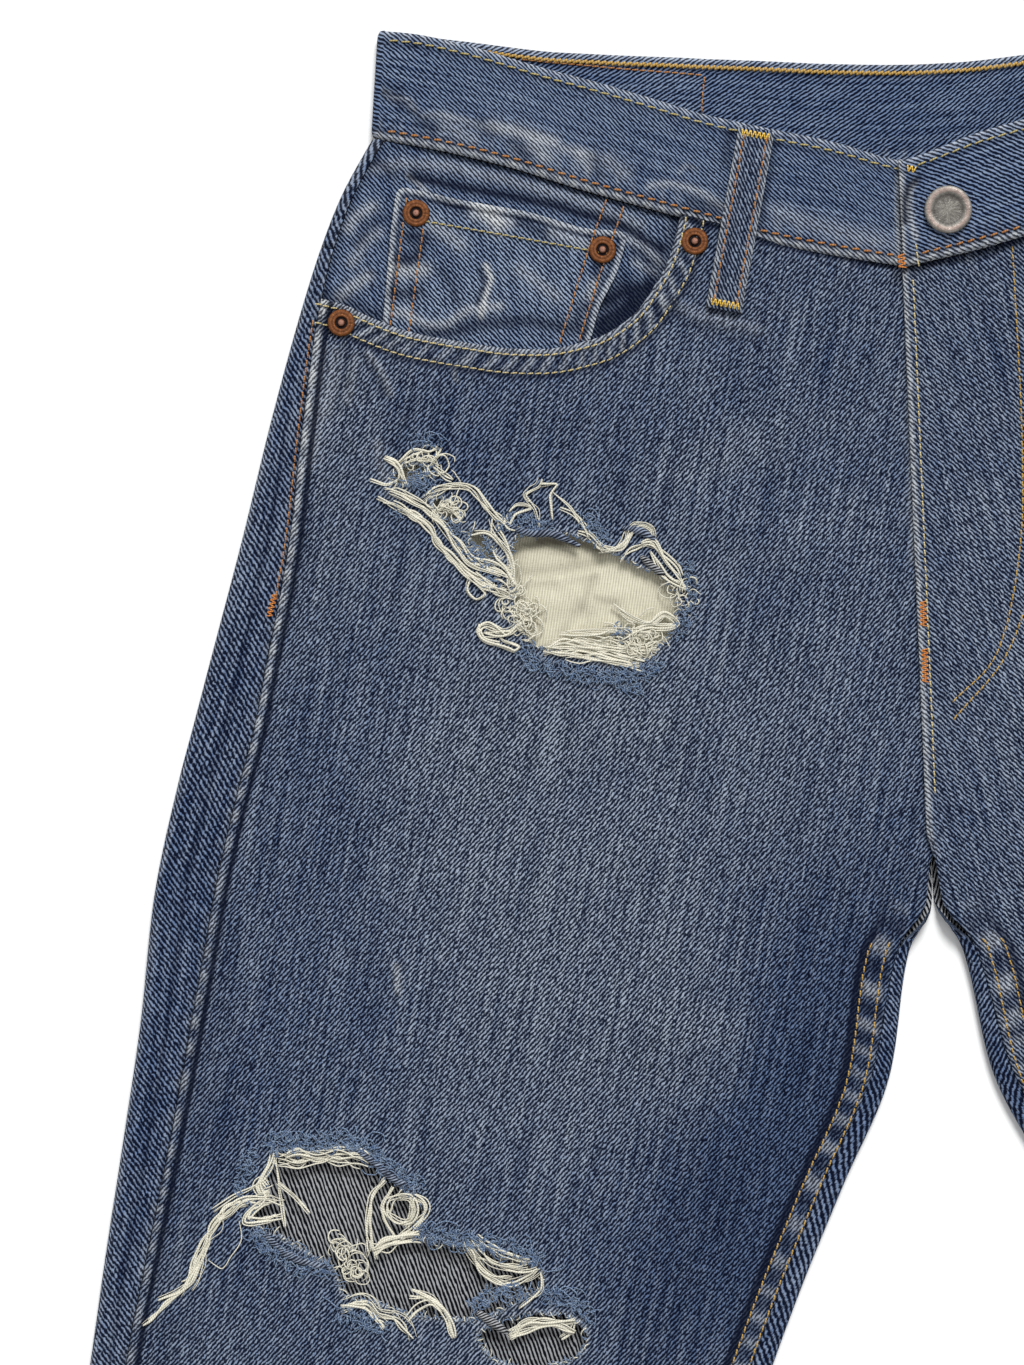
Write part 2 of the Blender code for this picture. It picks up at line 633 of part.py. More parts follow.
def waistband(finish, collection):
    """One strip from its right end, round the back, to its left end over the right one."""
    fold_top = SIDE_TOP_X + BAND_SIDE_TOP / 2.0
    fold_bottom = SIDE_BOTTOM_X + BAND_SIDE_TOP / 2.0
    found = []
    for share in stations(0.0, 1.0, 0.06):
        pair = (BAND_RIGHT_END + (fold_top - BAND_RIGHT_END) * share,
                BAND_RIGHT_END + (fold_bottom - BAND_RIGHT_END) * share)
        found.append(band_station(pair, lambda x, y: band_front_top(x, 0.0),
                                  lambda x, y: band_front_top(x, 0.0) - BAND,
                                  FRONT_BOTTOM_EDGE, FRONT_TOP_EDGE))
    for degrees in FOLD_ANGLES:
        found.append(band_fold(1.0, degrees, degrees > 0.0))
    for share in stations(0.0, 1.0, 0.032):
        pair = (fold_top * (1.0 - 2.0 * share), fold_bottom * (1.0 - 2.0 * share))
        found.append(band_station(pair, lambda x, y: back_lift(x, y),
                                  lambda x, y: back_lift(x, y) + BAND,
                                  BACK_BOTTOM_EDGE, BACK_TOP_EDGE))
    for degrees in reversed(FOLD_ANGLES):
        found.append(band_fold(-1.0, degrees, degrees > 0.0))
    for share in stations(0.0, 1.0, 0.06):
        pair = (-fold_top + (-BAND_LEFT_END + fold_top) * share,
                -fold_bottom + (-BAND_LEFT_END + fold_bottom) * share)
        found.append(band_station(pair, lambda x, y: band_front_top(x, 1.0),
                                  lambda x, y: band_front_top(x, 1.0) - BAND,
                                  FRONT_BOTTOM_EDGE, FRONT_TOP_EDGE))
    outside = [station[0] for station in found]
    inside = [station[1] for station in found]
    return wall("waistband", outside, inside, finish, collection)


def pocket_facing(name, side, finish, collection):
    """The denim behind the scoop, from the outseam and the waist seam to under the front panel."""
    face = []
    reverse = []
    for down in stations(0.0, FACING_DOWN, 18.0):
        section = section_at(down)
        across_x = section.inner_x - section.outer_x
        across_y = section.front_y - section.outer_y
        width = math.hypot(across_x, across_y)
        start = section.outer_x + across_x * (section.out_wrap + SEAM) / width
        face_row = []
        for share in (0.0, 0.15, 0.4, 0.7, 1.0):
            x = start + (FACING_RIGHT_X - start) * share
            y = section.outer_y + across_y * (x - section.outer_x) / across_x
            if down == 0.0:
                y = edge_at(FRONT_BOTTOM_EDGE, x) - SEAM
            face_row.append((x * side, y, FACING_TOP))
        face.append(face_row)
        reverse.append([(x, y, z - DENIM) for x, y, z in face_row])
    return wall(name, face, reverse, finish, collection)


def pocket_bag(finish, collection):
    """The lower part of the pocket bag, which follows the back panel that it lies on."""
    face = []
    reverse = []
    for down in stations(BAG_DOWN[0], BAG_DOWN[1], 15.0):
        section = section_at(down)
        slope = (section.front_y - section.outer_y) / (section.inner_x - section.outer_x)
        face_row = []
        for share in stations(0.0, 1.0, 0.1):
            x = BAG_OUTER_X + (BAG_INNER_X - BAG_OUTER_X) * share
            y = section.outer_y + slope * (x - section.outer_x)
            face_row.append((x, y, back_lift(x, y) + DENIM + BAG_CLEARANCE + POCKETING))
        face.append(face_row)
        reverse.append([(x, y, z - POCKETING) for x, y, z in face_row])
    return wall("pocket_bag_right", face, reverse, finish, collection)


def coin_pocket(finish, collection):
    """The patch on the right facing."""
    low = FACING_TOP + SEAM
    return plate("coin_pocket", COIN_POCKET, low, low + COIN_CLOTH, finish, collection)


def back_pocket(name, side, finish, collection):
    """A patch pocket on the seat, which the garment rests on."""
    cos = math.cos(BACK_POCKET_LEAN)
    sin = math.sin(BACK_POCKET_LEAN)
    outline = [(BACK_POCKET_AT[0] + right * cos - below * sin,
                BACK_POCKET_AT[1] - right * sin - below * cos) for right, below in BACK_POCKET_OUTLINE]
    return plate(name, mirrored(outline, side), 0.0, BACK_POCKET, finish, collection)


def front_loop(name, side, lap, finish, collection):
    """A belt loop that crosses the waistband and is tacked down at both ends."""
    run_x = FRONT_LOOP_BOTTOM[0] - FRONT_LOOP_TOP[0]
    run_y = FRONT_LOOP_BOTTOM[1] - FRONT_LOOP_TOP[1]
    length = math.hypot(run_x, run_y)
    beside = (-run_y / length, run_x / length)
    face = []
    reverse = []
    for point in FRONT_LOOP:
        x = FRONT_LOOP_TOP[0] + run_x * point.share
        y = FRONT_LOOP_TOP[1] + run_y * point.share
        on_band = y > edge_at(FRONT_BOTTOM_EDGE, x) - LOOP_STEP_BELOW
        seats = []
        for edge in (-0.5, 0.0, 0.5):
            seat_x = (x + beside[0] * LOOP_WIDTH * edge) * side
            seat_y = y + beside[1] * LOOP_WIDTH * edge
            over = band_front_top(seat_x, lap) if on_band else front_top(seat_x, seat_y)
            seats.append(over)
        low = max(seats) + SEAM + ROUND_CLEARANCE + point.arch
        reverse_row = [((x + beside[0] * LOOP_WIDTH * edge) * side,
                        y + beside[1] * LOOP_WIDTH * edge, low) for edge in (-0.5, 0.5)]
        reverse.append(reverse_row)
        face.append([(at_x, at_y, at_z + LOOP_CLOTH) for at_x, at_y, at_z in reverse_row])
    return wall(name, face, reverse, finish, collection)


def back_loop(name, x, finish, collection):
    """A belt loop at the back, flat between the waistband and the surface below."""
    left = x - LOOP_WIDTH / 2.0
    right = x + LOOP_WIDTH / 2.0
    top = edge_at(BACK_TOP_EDGE, x) - BACK_LOOP_INSET
    bottom = edge_at(BACK_BOTTOM_EDGE, x) - BACK_LOOP_BELOW
    outline = ((left, top), (right, top), (right, bottom), (left, bottom))
    return plate(name, outline, 0.0, BACK_LOOP_THICK, finish, collection)


def turned(name, profile, steps, x, y, z, finish, collection):
    """A turned piece standing at a point."""
    mesh = bpy.data.meshes.new(name)
    points = [(radius * MM, 0.0, height * MM) for radius, height in profile]
    edges = [(k, k + 1) for k in range(len(points) - 1)]
    mesh.from_pydata(points, edges, [])
    mesh.materials.append(finish)
    made = bpy.data.objects.new(name, mesh)
    made.location = (x * MM, (y - Y_MIDDLE) * MM, z * MM)
    collection.objects.link(made)
    screw = made.modifiers.new("Turn", "SCREW")
    screw.axis = "Z"
    screw.steps = steps
    screw.render_steps = steps
    screw.use_merge_vertices = True
    screw.merge_threshold = 0.00001
    return made


def seat_height(surface, x, y, radius):
    """Highest point of a surface under a round piece."""
    heights = [surface(x, y)]
    for k in range(8):
        angle = math.radians(45.0 * k)
        heights.append(surface(x + radius * math.cos(angle), y + radius * math.sin(angle)))
    return max(heights)


def rivets(finish, collection):
    """The rivets at the pocket corners."""
    coin_top = FACING_TOP + SEAM + COIN_CLOTH
    for rivet in RIVETS:
        if rivet.name.startswith("rivet_coin"):
            base = coin_top
        else:
            base = seat_height(front_top, rivet.x, rivet.y, RIVET_RADIUS) + ROUND_CLEARANCE
        turned(rivet.name, RIVET_PROFILE, RIVET_STEPS, rivet.x, rivet.y, base + SEAM, finish, collection)


def button(band, finish, collection, cutters):
    """The shank button, through the buttonhole in the waistband's left end."""
    under = band_front_top(BUTTON_X, 0.0) + SEAM
    turned("button", BUTTON_PROFILE, BUTTON_STEPS, BUTTON_X, BUTTON_Y, under, finish, collection)
    right = BUTTON_X + BUTTONHOLE_WIDTH / 2.0
    left = right - BUTTONHOLE_LENGTH
    low = BUTTON_Y - BUTTONHOLE_WIDTH / 2.0
    high = BUTTON_Y + BUTTONHOLE_WIDTH / 2.0
    outline = ((left, low), (right, low), (right, high), (left, high))
    cut(band, "buttonhole", outline, cutters, under - SEAM / 2.0)


def small_hole(hole):
    """The outline of a small worn hole."""
    outline = []
    for k in range(10):
        angle = math.radians(36.0 * k)
        along = hole.length / 2.0 * math.cos(angle)
        beside = hole.width / 2.0 * math.sin(angle)
        turn = math.radians(hole.turn)
        outline.append((hole.x + along * math.cos(turn) - beside * math.sin(turn),
                        hole.y + along * math.sin(turn) + beside * math.cos(turn)))
    return outline


def strip_height(x, y):
    """Height of the middle of a fray's strip, just under the front panel."""
    return front_top(x, y) - DENIM - STRIP_CLEARANCE - STRAND_THICK / 2.0


def add_strand(points, faces, spec, number, root, along, into, ring):
    """Add a loose thread that grows out of a ring of four points, and return its last ring."""
    length = spec.reach * (1.0 - STRAND_UNEVEN + STRAND_UNEVEN * math.sin(STRAND_RHYTHM * number))
    for step in range(1, STRAND_STEPS + 1):
        share = step / STRAND_STEPS
        angle = math.radians(spec.turn) * share
        sway = spec.bend * length * math.sin(math.pi * share + 0.05 * number)
        way_x = into[0] * math.cos(angle) - into[1] * math.sin(angle)
        way_y = into[0] * math.sin(angle) + into[1] * math.cos(angle)
        x = root[0] + way_x * length * share + along[0] * sway
        y = root[1] + way_y * length * share + along[1] * sway
        z = root[2] - spec.drop * share
        half_width = (STRAND_WIDTH + (STRAND_TIP - STRAND_WIDTH) * share) / 2.0
        half_thick = STRAND_TIP / 2.0
        first = len(points)
        for beside, level in ((-1.0, -1.0), (-1.0, 1.0), (1.0, 1.0), (1.0, -1.0)):
            points.append((x + along[0] * half_width * beside, y + along[1] * half_width * beside,
                           z + half_thick * level))
        grown = tuple(range(first, first + 4))
        for corner in range(4):
            after = (corner + 1) % 4
            faces.append((ring[corner], ring[after], grown[after], grown[corner]))
        ring = grown
    return ring


def fray(spec, finish, collection):
    """Loose threads rooted in one strip that lies just under a worn hole's edge."""
    run_x = spec.end[0] - spec.start[0]
    run_y = spec.end[1] - spec.start[1]
    length = math.hypot(run_x, run_y)
    along = (run_x / length, run_y / length)
    into = (along[1], -along[0])
    count = 2 * spec.count
    pitch = length / count
    half = STRIP_WIDTH / 2.0
    points = []
    for number in range(count + 1):
        x = spec.start[0] + along[0] * pitch * number
        y = spec.start[1] + along[1] * pitch * number
        z = strip_height(x, y)
        for reach in (-half, half):
            for level in (-0.5, 0.5):
                points.append((x + into[0] * reach, y + into[1] * reach, z + STRAND_THICK * level))
    faces = [(0, 1, 3, 2), (4 * count, 4 * count + 1, 4 * count + 3, 4 * count + 2)]
    for number in range(count):
        back = 4 * number
        front = back + 2
        next_back = back + 4
        next_front = back + 6
        faces.append((back, next_back, next_back + 1, back + 1))
        faces.append((back + 1, next_back + 1, next_front + 1, front + 1))
        faces.append((back, front, next_front, next_back))
        tip = (front, front + 1, next_front + 1, next_front)
        if number % 2 == 1:
            root_x = spec.start[0] + along[0] * pitch * (number + 0.5) + into[0] * half
            root_y = spec.start[1] + along[1] * pitch * (number + 0.5) + into[1] * half
            root = (root_x, root_y, strip_height(root_x, root_y))
            tip = add_strand(points, faces, spec, number, root, along, into, tip)
        faces.append(tip)
    return new_object(spec.name, points, faces, finish, collection)


def main():
    for old in list(bpy.data.objects):
        bpy.data.objects.remove(old, do_unlink=True)
    parts = bpy.data.collections.new("ripped_jeans")
    cutters = bpy.data.collections.new("cutters")
    bpy.context.scene.collection.children.link(parts)
    bpy.context.scene.collection.children.link(cutters)
    denim = material("denim")
    denim_dark = material("denim_dark")
    pocketing = material("pocketing")
    copper = material("copper", 1.0, 0.45)
    steel = material("steel", 1.0, 0.35)
    thread = material("thread")

    for side_name, side, lap, lap_height in (("right", 1.0, 6.0, -FLY_LAP), ("left", -1.0, 2.0, FLY_LAP)):
        panel = front_panel("front_" + side_name, side, lap, lap_height, denim, parts)
        scoop = list(SCOOP) + [(-77.0, 40.0), (-240.0, 60.0), (-240.0, -38.5)]
        cut(panel, "scoop_" + side_name, mirrored(scoop, side), cutters)
        if side_name == "right":
            cut(panel, "rip_upper", RIP_UPPER, cutters)
            cut(panel, "rip_lower", RIP_LOWER, cutters)
            cut(panel, "rip_low_right", RIP_LOW_RIGHT, cutters)
            for index, hole in enumerate(SMALL_HOLES):
                cut(panel, "rip_small_%d" % index, small_hole(hole), cutters)
        back_panels(side_name, side, denim, parts)
        pocket_facing("pocket_facing_" + side_name, side, denim_dark, parts)
        back_pocket("back_pocket_" + side_name, side, denim, parts)
        front_loop("belt_loop_front_" + side_name, side, 0.0 if side > 0.0 else 1.0, denim, parts)
        back_loop("belt_loop_back_" + side_name, -side * BACK_LOOP_X, denim, parts)
    back_loop("belt_loop_back", 0.0, denim, parts)
    band = waistband(denim, parts)
    coin_pocket(denim, parts)
    pocket_bag(pocketing, parts)
    rivets(copper, parts)
    button(band, steel, parts, cutters)
    for spec in FRAYS:
        fray(spec, thread, parts)


main()
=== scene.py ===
"""Ripped five-pocket jeans laid flat: the cloth, its sewing and its loose threads, seen from above.

Sizes are garment millimetres: x across with the wearer's right side at -x, y towards the waist from
the point where the top of the waistband meets the centre front, and z up. The tables and heights of the
first part are the ones that the solids were made from.
"""

import math
from collections import namedtuple

import bpy
import numpy as np
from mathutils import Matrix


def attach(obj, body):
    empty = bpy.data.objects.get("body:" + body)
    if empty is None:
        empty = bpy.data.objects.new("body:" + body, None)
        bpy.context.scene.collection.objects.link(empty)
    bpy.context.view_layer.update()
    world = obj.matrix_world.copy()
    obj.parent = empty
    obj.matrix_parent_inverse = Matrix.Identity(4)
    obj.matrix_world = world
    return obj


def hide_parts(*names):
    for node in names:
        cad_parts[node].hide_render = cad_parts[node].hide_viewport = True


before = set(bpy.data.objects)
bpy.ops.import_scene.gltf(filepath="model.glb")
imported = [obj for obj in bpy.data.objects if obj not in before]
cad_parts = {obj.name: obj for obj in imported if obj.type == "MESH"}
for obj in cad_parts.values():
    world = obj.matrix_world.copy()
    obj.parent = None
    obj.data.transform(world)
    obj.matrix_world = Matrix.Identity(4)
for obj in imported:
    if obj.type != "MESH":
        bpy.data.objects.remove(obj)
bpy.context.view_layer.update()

MM = 0.001

# Cloth, seams and heights of the solids
DENIM = 1.2
POCKETING = 1.0
BAND = 3.0
HEM = 2.2
HEM_WIDTH = 13.0
SEAM = 0.3
LOOP_CLOTH = 2.0
EDGE_TOP = 5.0
HIP_TOP = 6.2
LEG_TOP = 5.6
EDGE_FALL = 22.0
FACING_TOP = 4.9
POCKET_RAISE = 1.6
FLY_LAP = 0.9
POCKET_LIFT = 1.35
FOLD_REACH = 3.0
BACK_POCKET = 1.0
BAND_SIDE_TOP = 6.3
BAND_FRONT_TOP = 7.6
BAND_LAP = 3.3
BAND_RIGHT_END = 32.0
BAND_LEFT_END = 2.0

# Where those heights change, each as the place where it starts and the way that it takes
CROWN_FALL = (-190.0, 80.0)
POCKET_RISE_UP = (-190.0, 95.0)
POCKET_RISE_OUT = (-20.0, 60.0)
LAP_RISE = (-25.0, 17.0)
LAP_FADE = (14.0, 20.0)
LIFT_BESIDE = (122.0, 24.0)
LIFT_ABOVE = (-52.0, 28.0)
LIFT_BELOW = (232.0, 36.0)
LIFT_LOOP = (30.0, 18.0)
LIFT_LOOP_ABOVE = (-46.0, 22.0)
BAND_CROWN = (186.0, 36.0)
BAND_LAP_FROM = (78.0, 40.0)
CROTCH_FADE = (12.0, 14.0)
CROTCH_DOWN = 222.0
FOLDED_DOWN = 240.0
YOKE_DOWN = 44.0
HEM_DOWN = 1043.0

Section = namedtuple("Section", "down outer_x outer_y inner_x front_y back_y out_wrap in_wrap")
SECTIONS = (
    Section(0.0, -189.0, 17.0, 0.0, -37.5, -3.0, 4.0, 0.0),
    Section(23.0, -201.0, -3.0, 0.0, -60.0, -42.0, 4.0, 0.0),
    Section(44.0, -209.0, -21.0, 0.0, -81.0, -78.0, 4.5, 0.0),
    Section(64.0, -216.0, -40.0, 0.0, -101.0, -101.0, 6.0, 0.0),
    Section(108.0, -229.5, -82.0, 0.0, -146.0, -146.0, 11.5, 0.0),
    Section(153.0, -242.0, -125.0, 0.0, -193.0, -193.0, 17.0, 0.0),
    Section(197.0, -255.0, -167.0, 0.0, -238.0, -238.0, 20.0, 0.0),
    Section(222.0, -262.4, -191.0, -0.2, -264.0, -264.0, 21.5, 2.2),
    Section(241.0, -268.0, -209.0, -9.3, -281.3, -281.3, 21.5, 4.0),
    Section(285.0, -279.0, -252.0, -18.0, -325.0, -325.0, 21.0, 6.5),
    Section(329.0, -285.5, -295.0, -36.5, -364.4, -364.4, 18.0, 7.5),
    Section(372.0, -293.5, -337.0, -54.5, -403.6, -403.6, 16.5, 7.5),
    Section(416.0, -302.0, -380.0, -71.0, -444.6, -444.6, 14.5, 7.5),
    Section(443.0, -307.0, -407.0, -79.5, -470.0, -470.0, 13.0, 7.5),
    Section(596.0, -336.0, -557.0, -126.0, -615.0, -615.0, 12.0, 8.0),
    Section(1043.0, -447.6, -990.0, -255.0, -1044.0, -1044.0, 12.0, 8.0),
)
CROTCH_Y = SECTIONS[7].front_y

FRONT_TOP_EDGE = (
    (0.0, 0.0), (7.0, 2.0), (26.0, 8.5), (46.0, 13.5), (72.0, 20.5), (87.5, 26.0), (108.0, 33.0),
    (127.0, 39.0), (155.0, 48.5), (174.0, 53.5), (190.0, 55.5),
)
FRONT_BOTTOM_EDGE = (
    (0.0, -37.5), (32.0, -31.0), (53.0, -25.5), (67.0, -20.5), (89.0, -13.5), (115.0, -5.0),
    (140.0, 4.0), (166.0, 11.5), (192.0, 17.5),
)
BACK_TOP_EDGE = (
    (-190.0, 56.0), (-155.0, 50.5), (-121.0, 45.0), (-56.0, 39.5), (9.0, 35.0), (70.0, 39.5),
    (130.0, 46.5), (190.0, 56.0),
)
BACK_BOTTOM_EDGE = (
    (-192.0, 17.5), (-155.0, 11.0), (-121.0, 7.0), (-56.0, 1.5), (0.0, -3.0), (56.0, 1.5),
    (121.0, 7.0), (155.0, 11.0), (192.0, 17.5),
)
SIDE_TOP_X = -185.5
SIDE_BOTTOM_X = -189.5
Y_MIDDLE = (FRONT_TOP_EDGE[-1][1] + SECTIONS[-1].front_y) / 2.0

Fold = namedtuple("Fold", "x0 y0 x1 y1 height width")
FOLDS = (
    Fold(-207.0, -66.0, -205.0, -150.0, 0.5, 9.0),
    Fold(-100.0, -84.0, -18.0, -126.0, -0.7, 13.0),
    Fold(-150.0, -200.0, -60.0, -232.0, -0.6, 15.0),
    Fold(-186.0, -236.0, -204.0, -338.0, -0.6, 15.0),
    Fold(-44.0, -300.0, -112.0, -436.0, -0.7, 13.0),
    Fold(-110.0, -290.0, -70.0, -330.0, 0.5, 13.0),
    Fold(-262.0, -420.0, -276.0, -520.0, -0.6, 12.0),
    Fold(-316.0, -548.0, -214.0, -604.0, 0.6, 13.0),
    Fold(-232.0, -640.0, -156.0, -622.0, -0.7, 12.0),
    Fold(-330.0, -660.0, -262.0, -690.0, -0.7, 14.0),
    Fold(-262.0, -730.0, -318.0, -900.0, 0.5, 14.0),
    Fold(-360.0, -800.0, -402.0, -930.0, -0.6, 13.0),
)

COIN_POCKET = ((-181.0, -3.0), (-100.0, -21.5), (-120.0, -72.5), (-193.0, -62.0))
COIN_CLOTH = 1.0
FACING_RIGHT_X = -66.0
FACING_DOWN = 90.0
Rivet = namedtuple("Rivet", "name x y")
RIVETS = (
    Rivet("rivet_coin_outer", -174.5, -10.9),
    Rivet("rivet_coin_inner", -108.6, -26.8),
    Rivet("rivet_waist_right", -75.7, -25.4),
    Rivet("rivet_side_right", -202.8, -49.0),
    Rivet("rivet_waist_left", 75.7, -25.4),
    Rivet("rivet_side_left", 202.8, -49.0),
)
RIVET_RADIUS = 4.9
BUTTON_X = 14.5
BUTTON_Y = -18.5
LOOP_WIDTH = 12.9
FRONT_LOOP_TOP = (-52.0, 13.5)
FRONT_LOOP_BOTTOM = (-66.5, -50.5)
FRONT_LOOP_SHARE = (0.0, 0.08, 0.2, 0.35, 0.5, 0.62, 0.74, 0.86, 1.0)
FRONT_LOOP_ARCH = (0.0, 0.5, 1.1, 1.5, 1.5, 1.2, 0.8, 0.2, 0.0)
BACK_LOOP_X = 95.0
BACK_LOOP_THICK = 1.0
BACK_LOOP_BELOW = 11.0
BACK_POCKET_AT = (-101.0, -77.5)
BACK_POCKET_LEAN = math.radians(15.4)
BACK_POCKET_OUTLINE = ((-74.0, 0.0), (74.0, 0.0), (66.0, 140.0), (0.0, 165.0), (-66.0, 140.0))
BAG_DOWN = (91.0, 196.0)
BAG_OUTER_X = -201.0
BAG_INNER_X = -62.0
BAG_CLEARANCE = 0.5
BAG_GRID = (100, 130)
COIN_TOP = FACING_TOP + SEAM + COIN_CLOTH
LOOP_COLUMNS = 15

# Outlines that show, finer than the solids'
SCOOP = (
    (-214.5, -38.6), (-208.5, -40.4), (-201.0, -42.7), (-193.3, -47.0), (-181.5, -52.3),
    (-169.7, -55.6), (-157.8, -58.1), (-145.9, -60.4), (-134.0, -61.4), (-126.0, -61.2),
    (-118.0, -59.8), (-109.9, -57.6), (-101.7, -53.0), (-96.1, -48.1), (-90.2, -39.9),
    (-85.9, -32.8), (-83.1, -25.4), (-81.3, -19.4), (-80.0, -14.0),
)
HOLE_UPPER = (
    (-144.9, -129.0), (-137.9, -127.0), (-127.9, -127.6), (-121.9, -128.8), (-115.1, -132.1),
    (-105.3, -137.6), (-99.4, -140.9), (-93.5, -143.1), (-88.7, -148.3), (-86.9, -154.4),
    (-89.3, -162.4), (-92.5, -167.3), (-99.8, -173.9), (-109.9, -174.5), (-119.8, -172.1),
    (-129.7, -169.6), (-137.7, -167.3), (-142.5, -162.1), (-145.2, -156.9), (-145.9, -149.9),
    (-146.0, -139.9),
)
HOLE_LOWER = (
    (-239.7, -345.0), (-230.5, -343.5), (-220.8, -343.3), (-208.7, -344.5), (-202.9, -349.5),
    (-198.3, -355.7), (-190.2, -362.2), (-186.8, -367.2), (-188.4, -373.1), (-186.1, -378.1),
    (-174.0, -379.7), (-162.1, -382.7), (-151.4, -386.7), (-145.5, -391.9), (-148.2, -396.5),
    (-156.8, -401.1), (-165.4, -405.4), (-175.2, -406.3), (-187.2, -404.5), (-194.4, -403.1),
    (-205.2, -399.0), (-215.8, -396.1), (-218.1, -391.2), (-220.2, -386.3), (-229.6, -379.8),
    (-239.0, -373.3), (-247.3, -369.4), (-248.3, -364.5), (-243.1, -356.3),
)
HOLE_LOW_RIGHT = (
    (-169.3, -411.8), (-157.0, -406.6), (-145.4, -405.2), (-134.1, -408.2), (-131.0, -414.0),
    (-135.0, -421.0), (-149.0, -425.0), (-163.0, -421.5),
)
SmallHole = namedtuple("SmallHole", "x y length width turn")
SMALL_HOLES = (
    SmallHole(-181.0, -104.0, 13.0, 7.0, 20.0),
    SmallHole(-168.5, -117.0, 12.0, 5.5, -35.0),
    SmallHole(-155.5, -131.0, 16.0, 5.5, -50.0),
)

# Soft creases that are too slight for the solids. A positive height is a ridge.
Crease = namedtuple("Crease", "x0 y0 x1 y1 height width bow")
RIGHT_CREASES = (
    Crease(-200.0, -70.0, -214.0, -118.0, 0.55, 3.4, 2.0),
    Crease(-192.0, -66.0, -207.0, -112.0, -0.50, 3.8, -2.0),
    Crease(-183.0, -72.0, -199.0, -106.0, 0.45, 3.4, 2.5),
    Crease(-174.0, -74.0, -186.0, -98.0, -0.35, 4.0, 1.0),
    Crease(-160.0, -76.0, -170.0, -96.0, 0.25, 4.0, -1.0),
    Crease(-150.0, -74.0, -92.0, -92.0, 0.35, 6.0, 3.0),
    Crease(-128.0, -84.0, -14.0, -118.0, 0.45, 7.0, -4.0),
    Crease(-104.0, -108.0, -18.0, -142.0, 0.35, 8.0, 3.0),
    Crease(-92.0, -128.0, -10.0, -168.0, -0.35, 8.0, 3.0),
    Crease(-78.0, -152.0, -12.0, -190.0, 0.35, 8.0, -3.0),
    Crease(-190.0, -150.0, -150.0, -196.0, -0.30, 8.0, 4.0),
    Crease(-224.0, -168.0, -176.0, -214.0, 0.30, 9.0, 5.0),
    Crease(-120.0, -186.0, -34.0, -206.0, 0.30, 9.0, 4.0),
    Crease(-236.0, -214.0, -170.0, -244.0, -0.30, 9.0, 4.0),
    Crease(-160.0, -236.0, -58.0, -252.0, 0.30, 10.0, -5.0),
    Crease(-220.0, -256.0, -110.0, -270.0, -0.25, 10.0, 4.0),
    Crease(-130.0, -298.0, -62.0, -312.0, 0.45, 7.0, 2.0),
    Crease(-118.0, -322.0, -60.0, -334.0, -0.35, 8.0, -2.0),
    Crease(-236.0, -290.0, -150.0, -318.0, 0.30, 9.0, 5.0),
    Crease(-172.0, -340.0, -92.0, -356.0, -0.30, 9.0, 3.0),
    Crease(-260.0, -330.0, -250.0, -410.0, 0.35, 7.0, 2.0),
    Crease(-118.0, -362.0, -84.0, -404.0, 0.35, 8.0, -3.0),
    Crease(-240.0, -440.0, -120.0, -452.0, 0.40, 10.0, 5.0),
    Crease(-280.0, -470.0, -150.0, -500.0, -0.45, 11.0, 5.0),
    Crease(-300.0, -520.0, -180.0, -530.0, 0.45, 10.0, -4.0),
    Crease(-230.0, -560.0, -150.0, -590.0, 0.45, 9.0, 4.0),
    Crease(-350.0, -600.0, -250.0, -655.0, 0.50, 10.0, 6.0),
    Crease(-250.0, -668.0, -160.0, -690.0, 0.45, 10.0, -4.0),
    Crease(-372.0, -720.0, -290.0, -760.0, -0.45, 11.0, 5.0),
    Crease(-300.0, -800.0, -200.0, -830.0, 0.45, 11.0, 5.0),
    Crease(-400.0, -850.0, -300.0, -900.0, 0.40, 11.0, -5.0),
    Crease(-330.0, -930.0, -240.0, -960.0, -0.40, 10.0, 4.0),
    Crease(-430.0, -960.0, -350.0, -1000.0, 0.40, 9.0, 3.0),
)
LEFT_CREASES = (
    Crease(198.0, -72.0, 211.0, -124.0, 0.50, 3.8, 2.0),
    Crease(186.0, -74.0, 200.0, -104.0, -0.45, 4.0, -2.0),
    Crease(142.0, -82.0, 38.0, -104.0, 0.40, 7.0, 4.0),
    Crease(120.0, -112.0, 22.0, -150.0, -0.40, 8.0, -3.0),
    Crease(176.0, -142.0, 60.0, -186.0, 0.40, 9.0, 4.0),
    Crease(224.0, -196.0, 120.0, -238.0, -0.35, 9.0, 5.0),
    Crease(150.0, -262.0, 44.0, -282.0, 0.40, 10.0, -4.0),
    Crease(250.0, -300.0, 130.0, -324.0, 0.35, 10.0, 5.0),
    Crease(180.0, -352.0, 80.0, -384.0, -0.40, 9.0, 3.0),
    Crease(280.0, -412.0, 150.0, -436.0, 0.40, 10.0, 5.0),
    Crease(240.0, -476.0, 120.0, -500.0, -0.45, 11.0, -5.0),
    Crease(316.0, -540.0, 190.0, -566.0, 0.50, 10.0, 5.0),
    Crease(240.0, -606.0, 150.0, -622.0, 0.45, 9.0, -4.0),
    Crease(346.0, -640.0, 230.0, -686.0, -0.50, 11.0, 5.0),
    Crease(300.0, -736.0, 190.0, -752.0, 0.45, 11.0, 5.0),
    Crease(392.0, -800.0, 280.0, -850.0, 0.45, 11.0, 6.0),
    Crease(330.0, -900.0, 230.0, -920.0, -0.45, 10.0, 4.0),
    Crease(424.0, -950.0, 330.0, -992.0, 0.40, 9.0, -3.0),
)
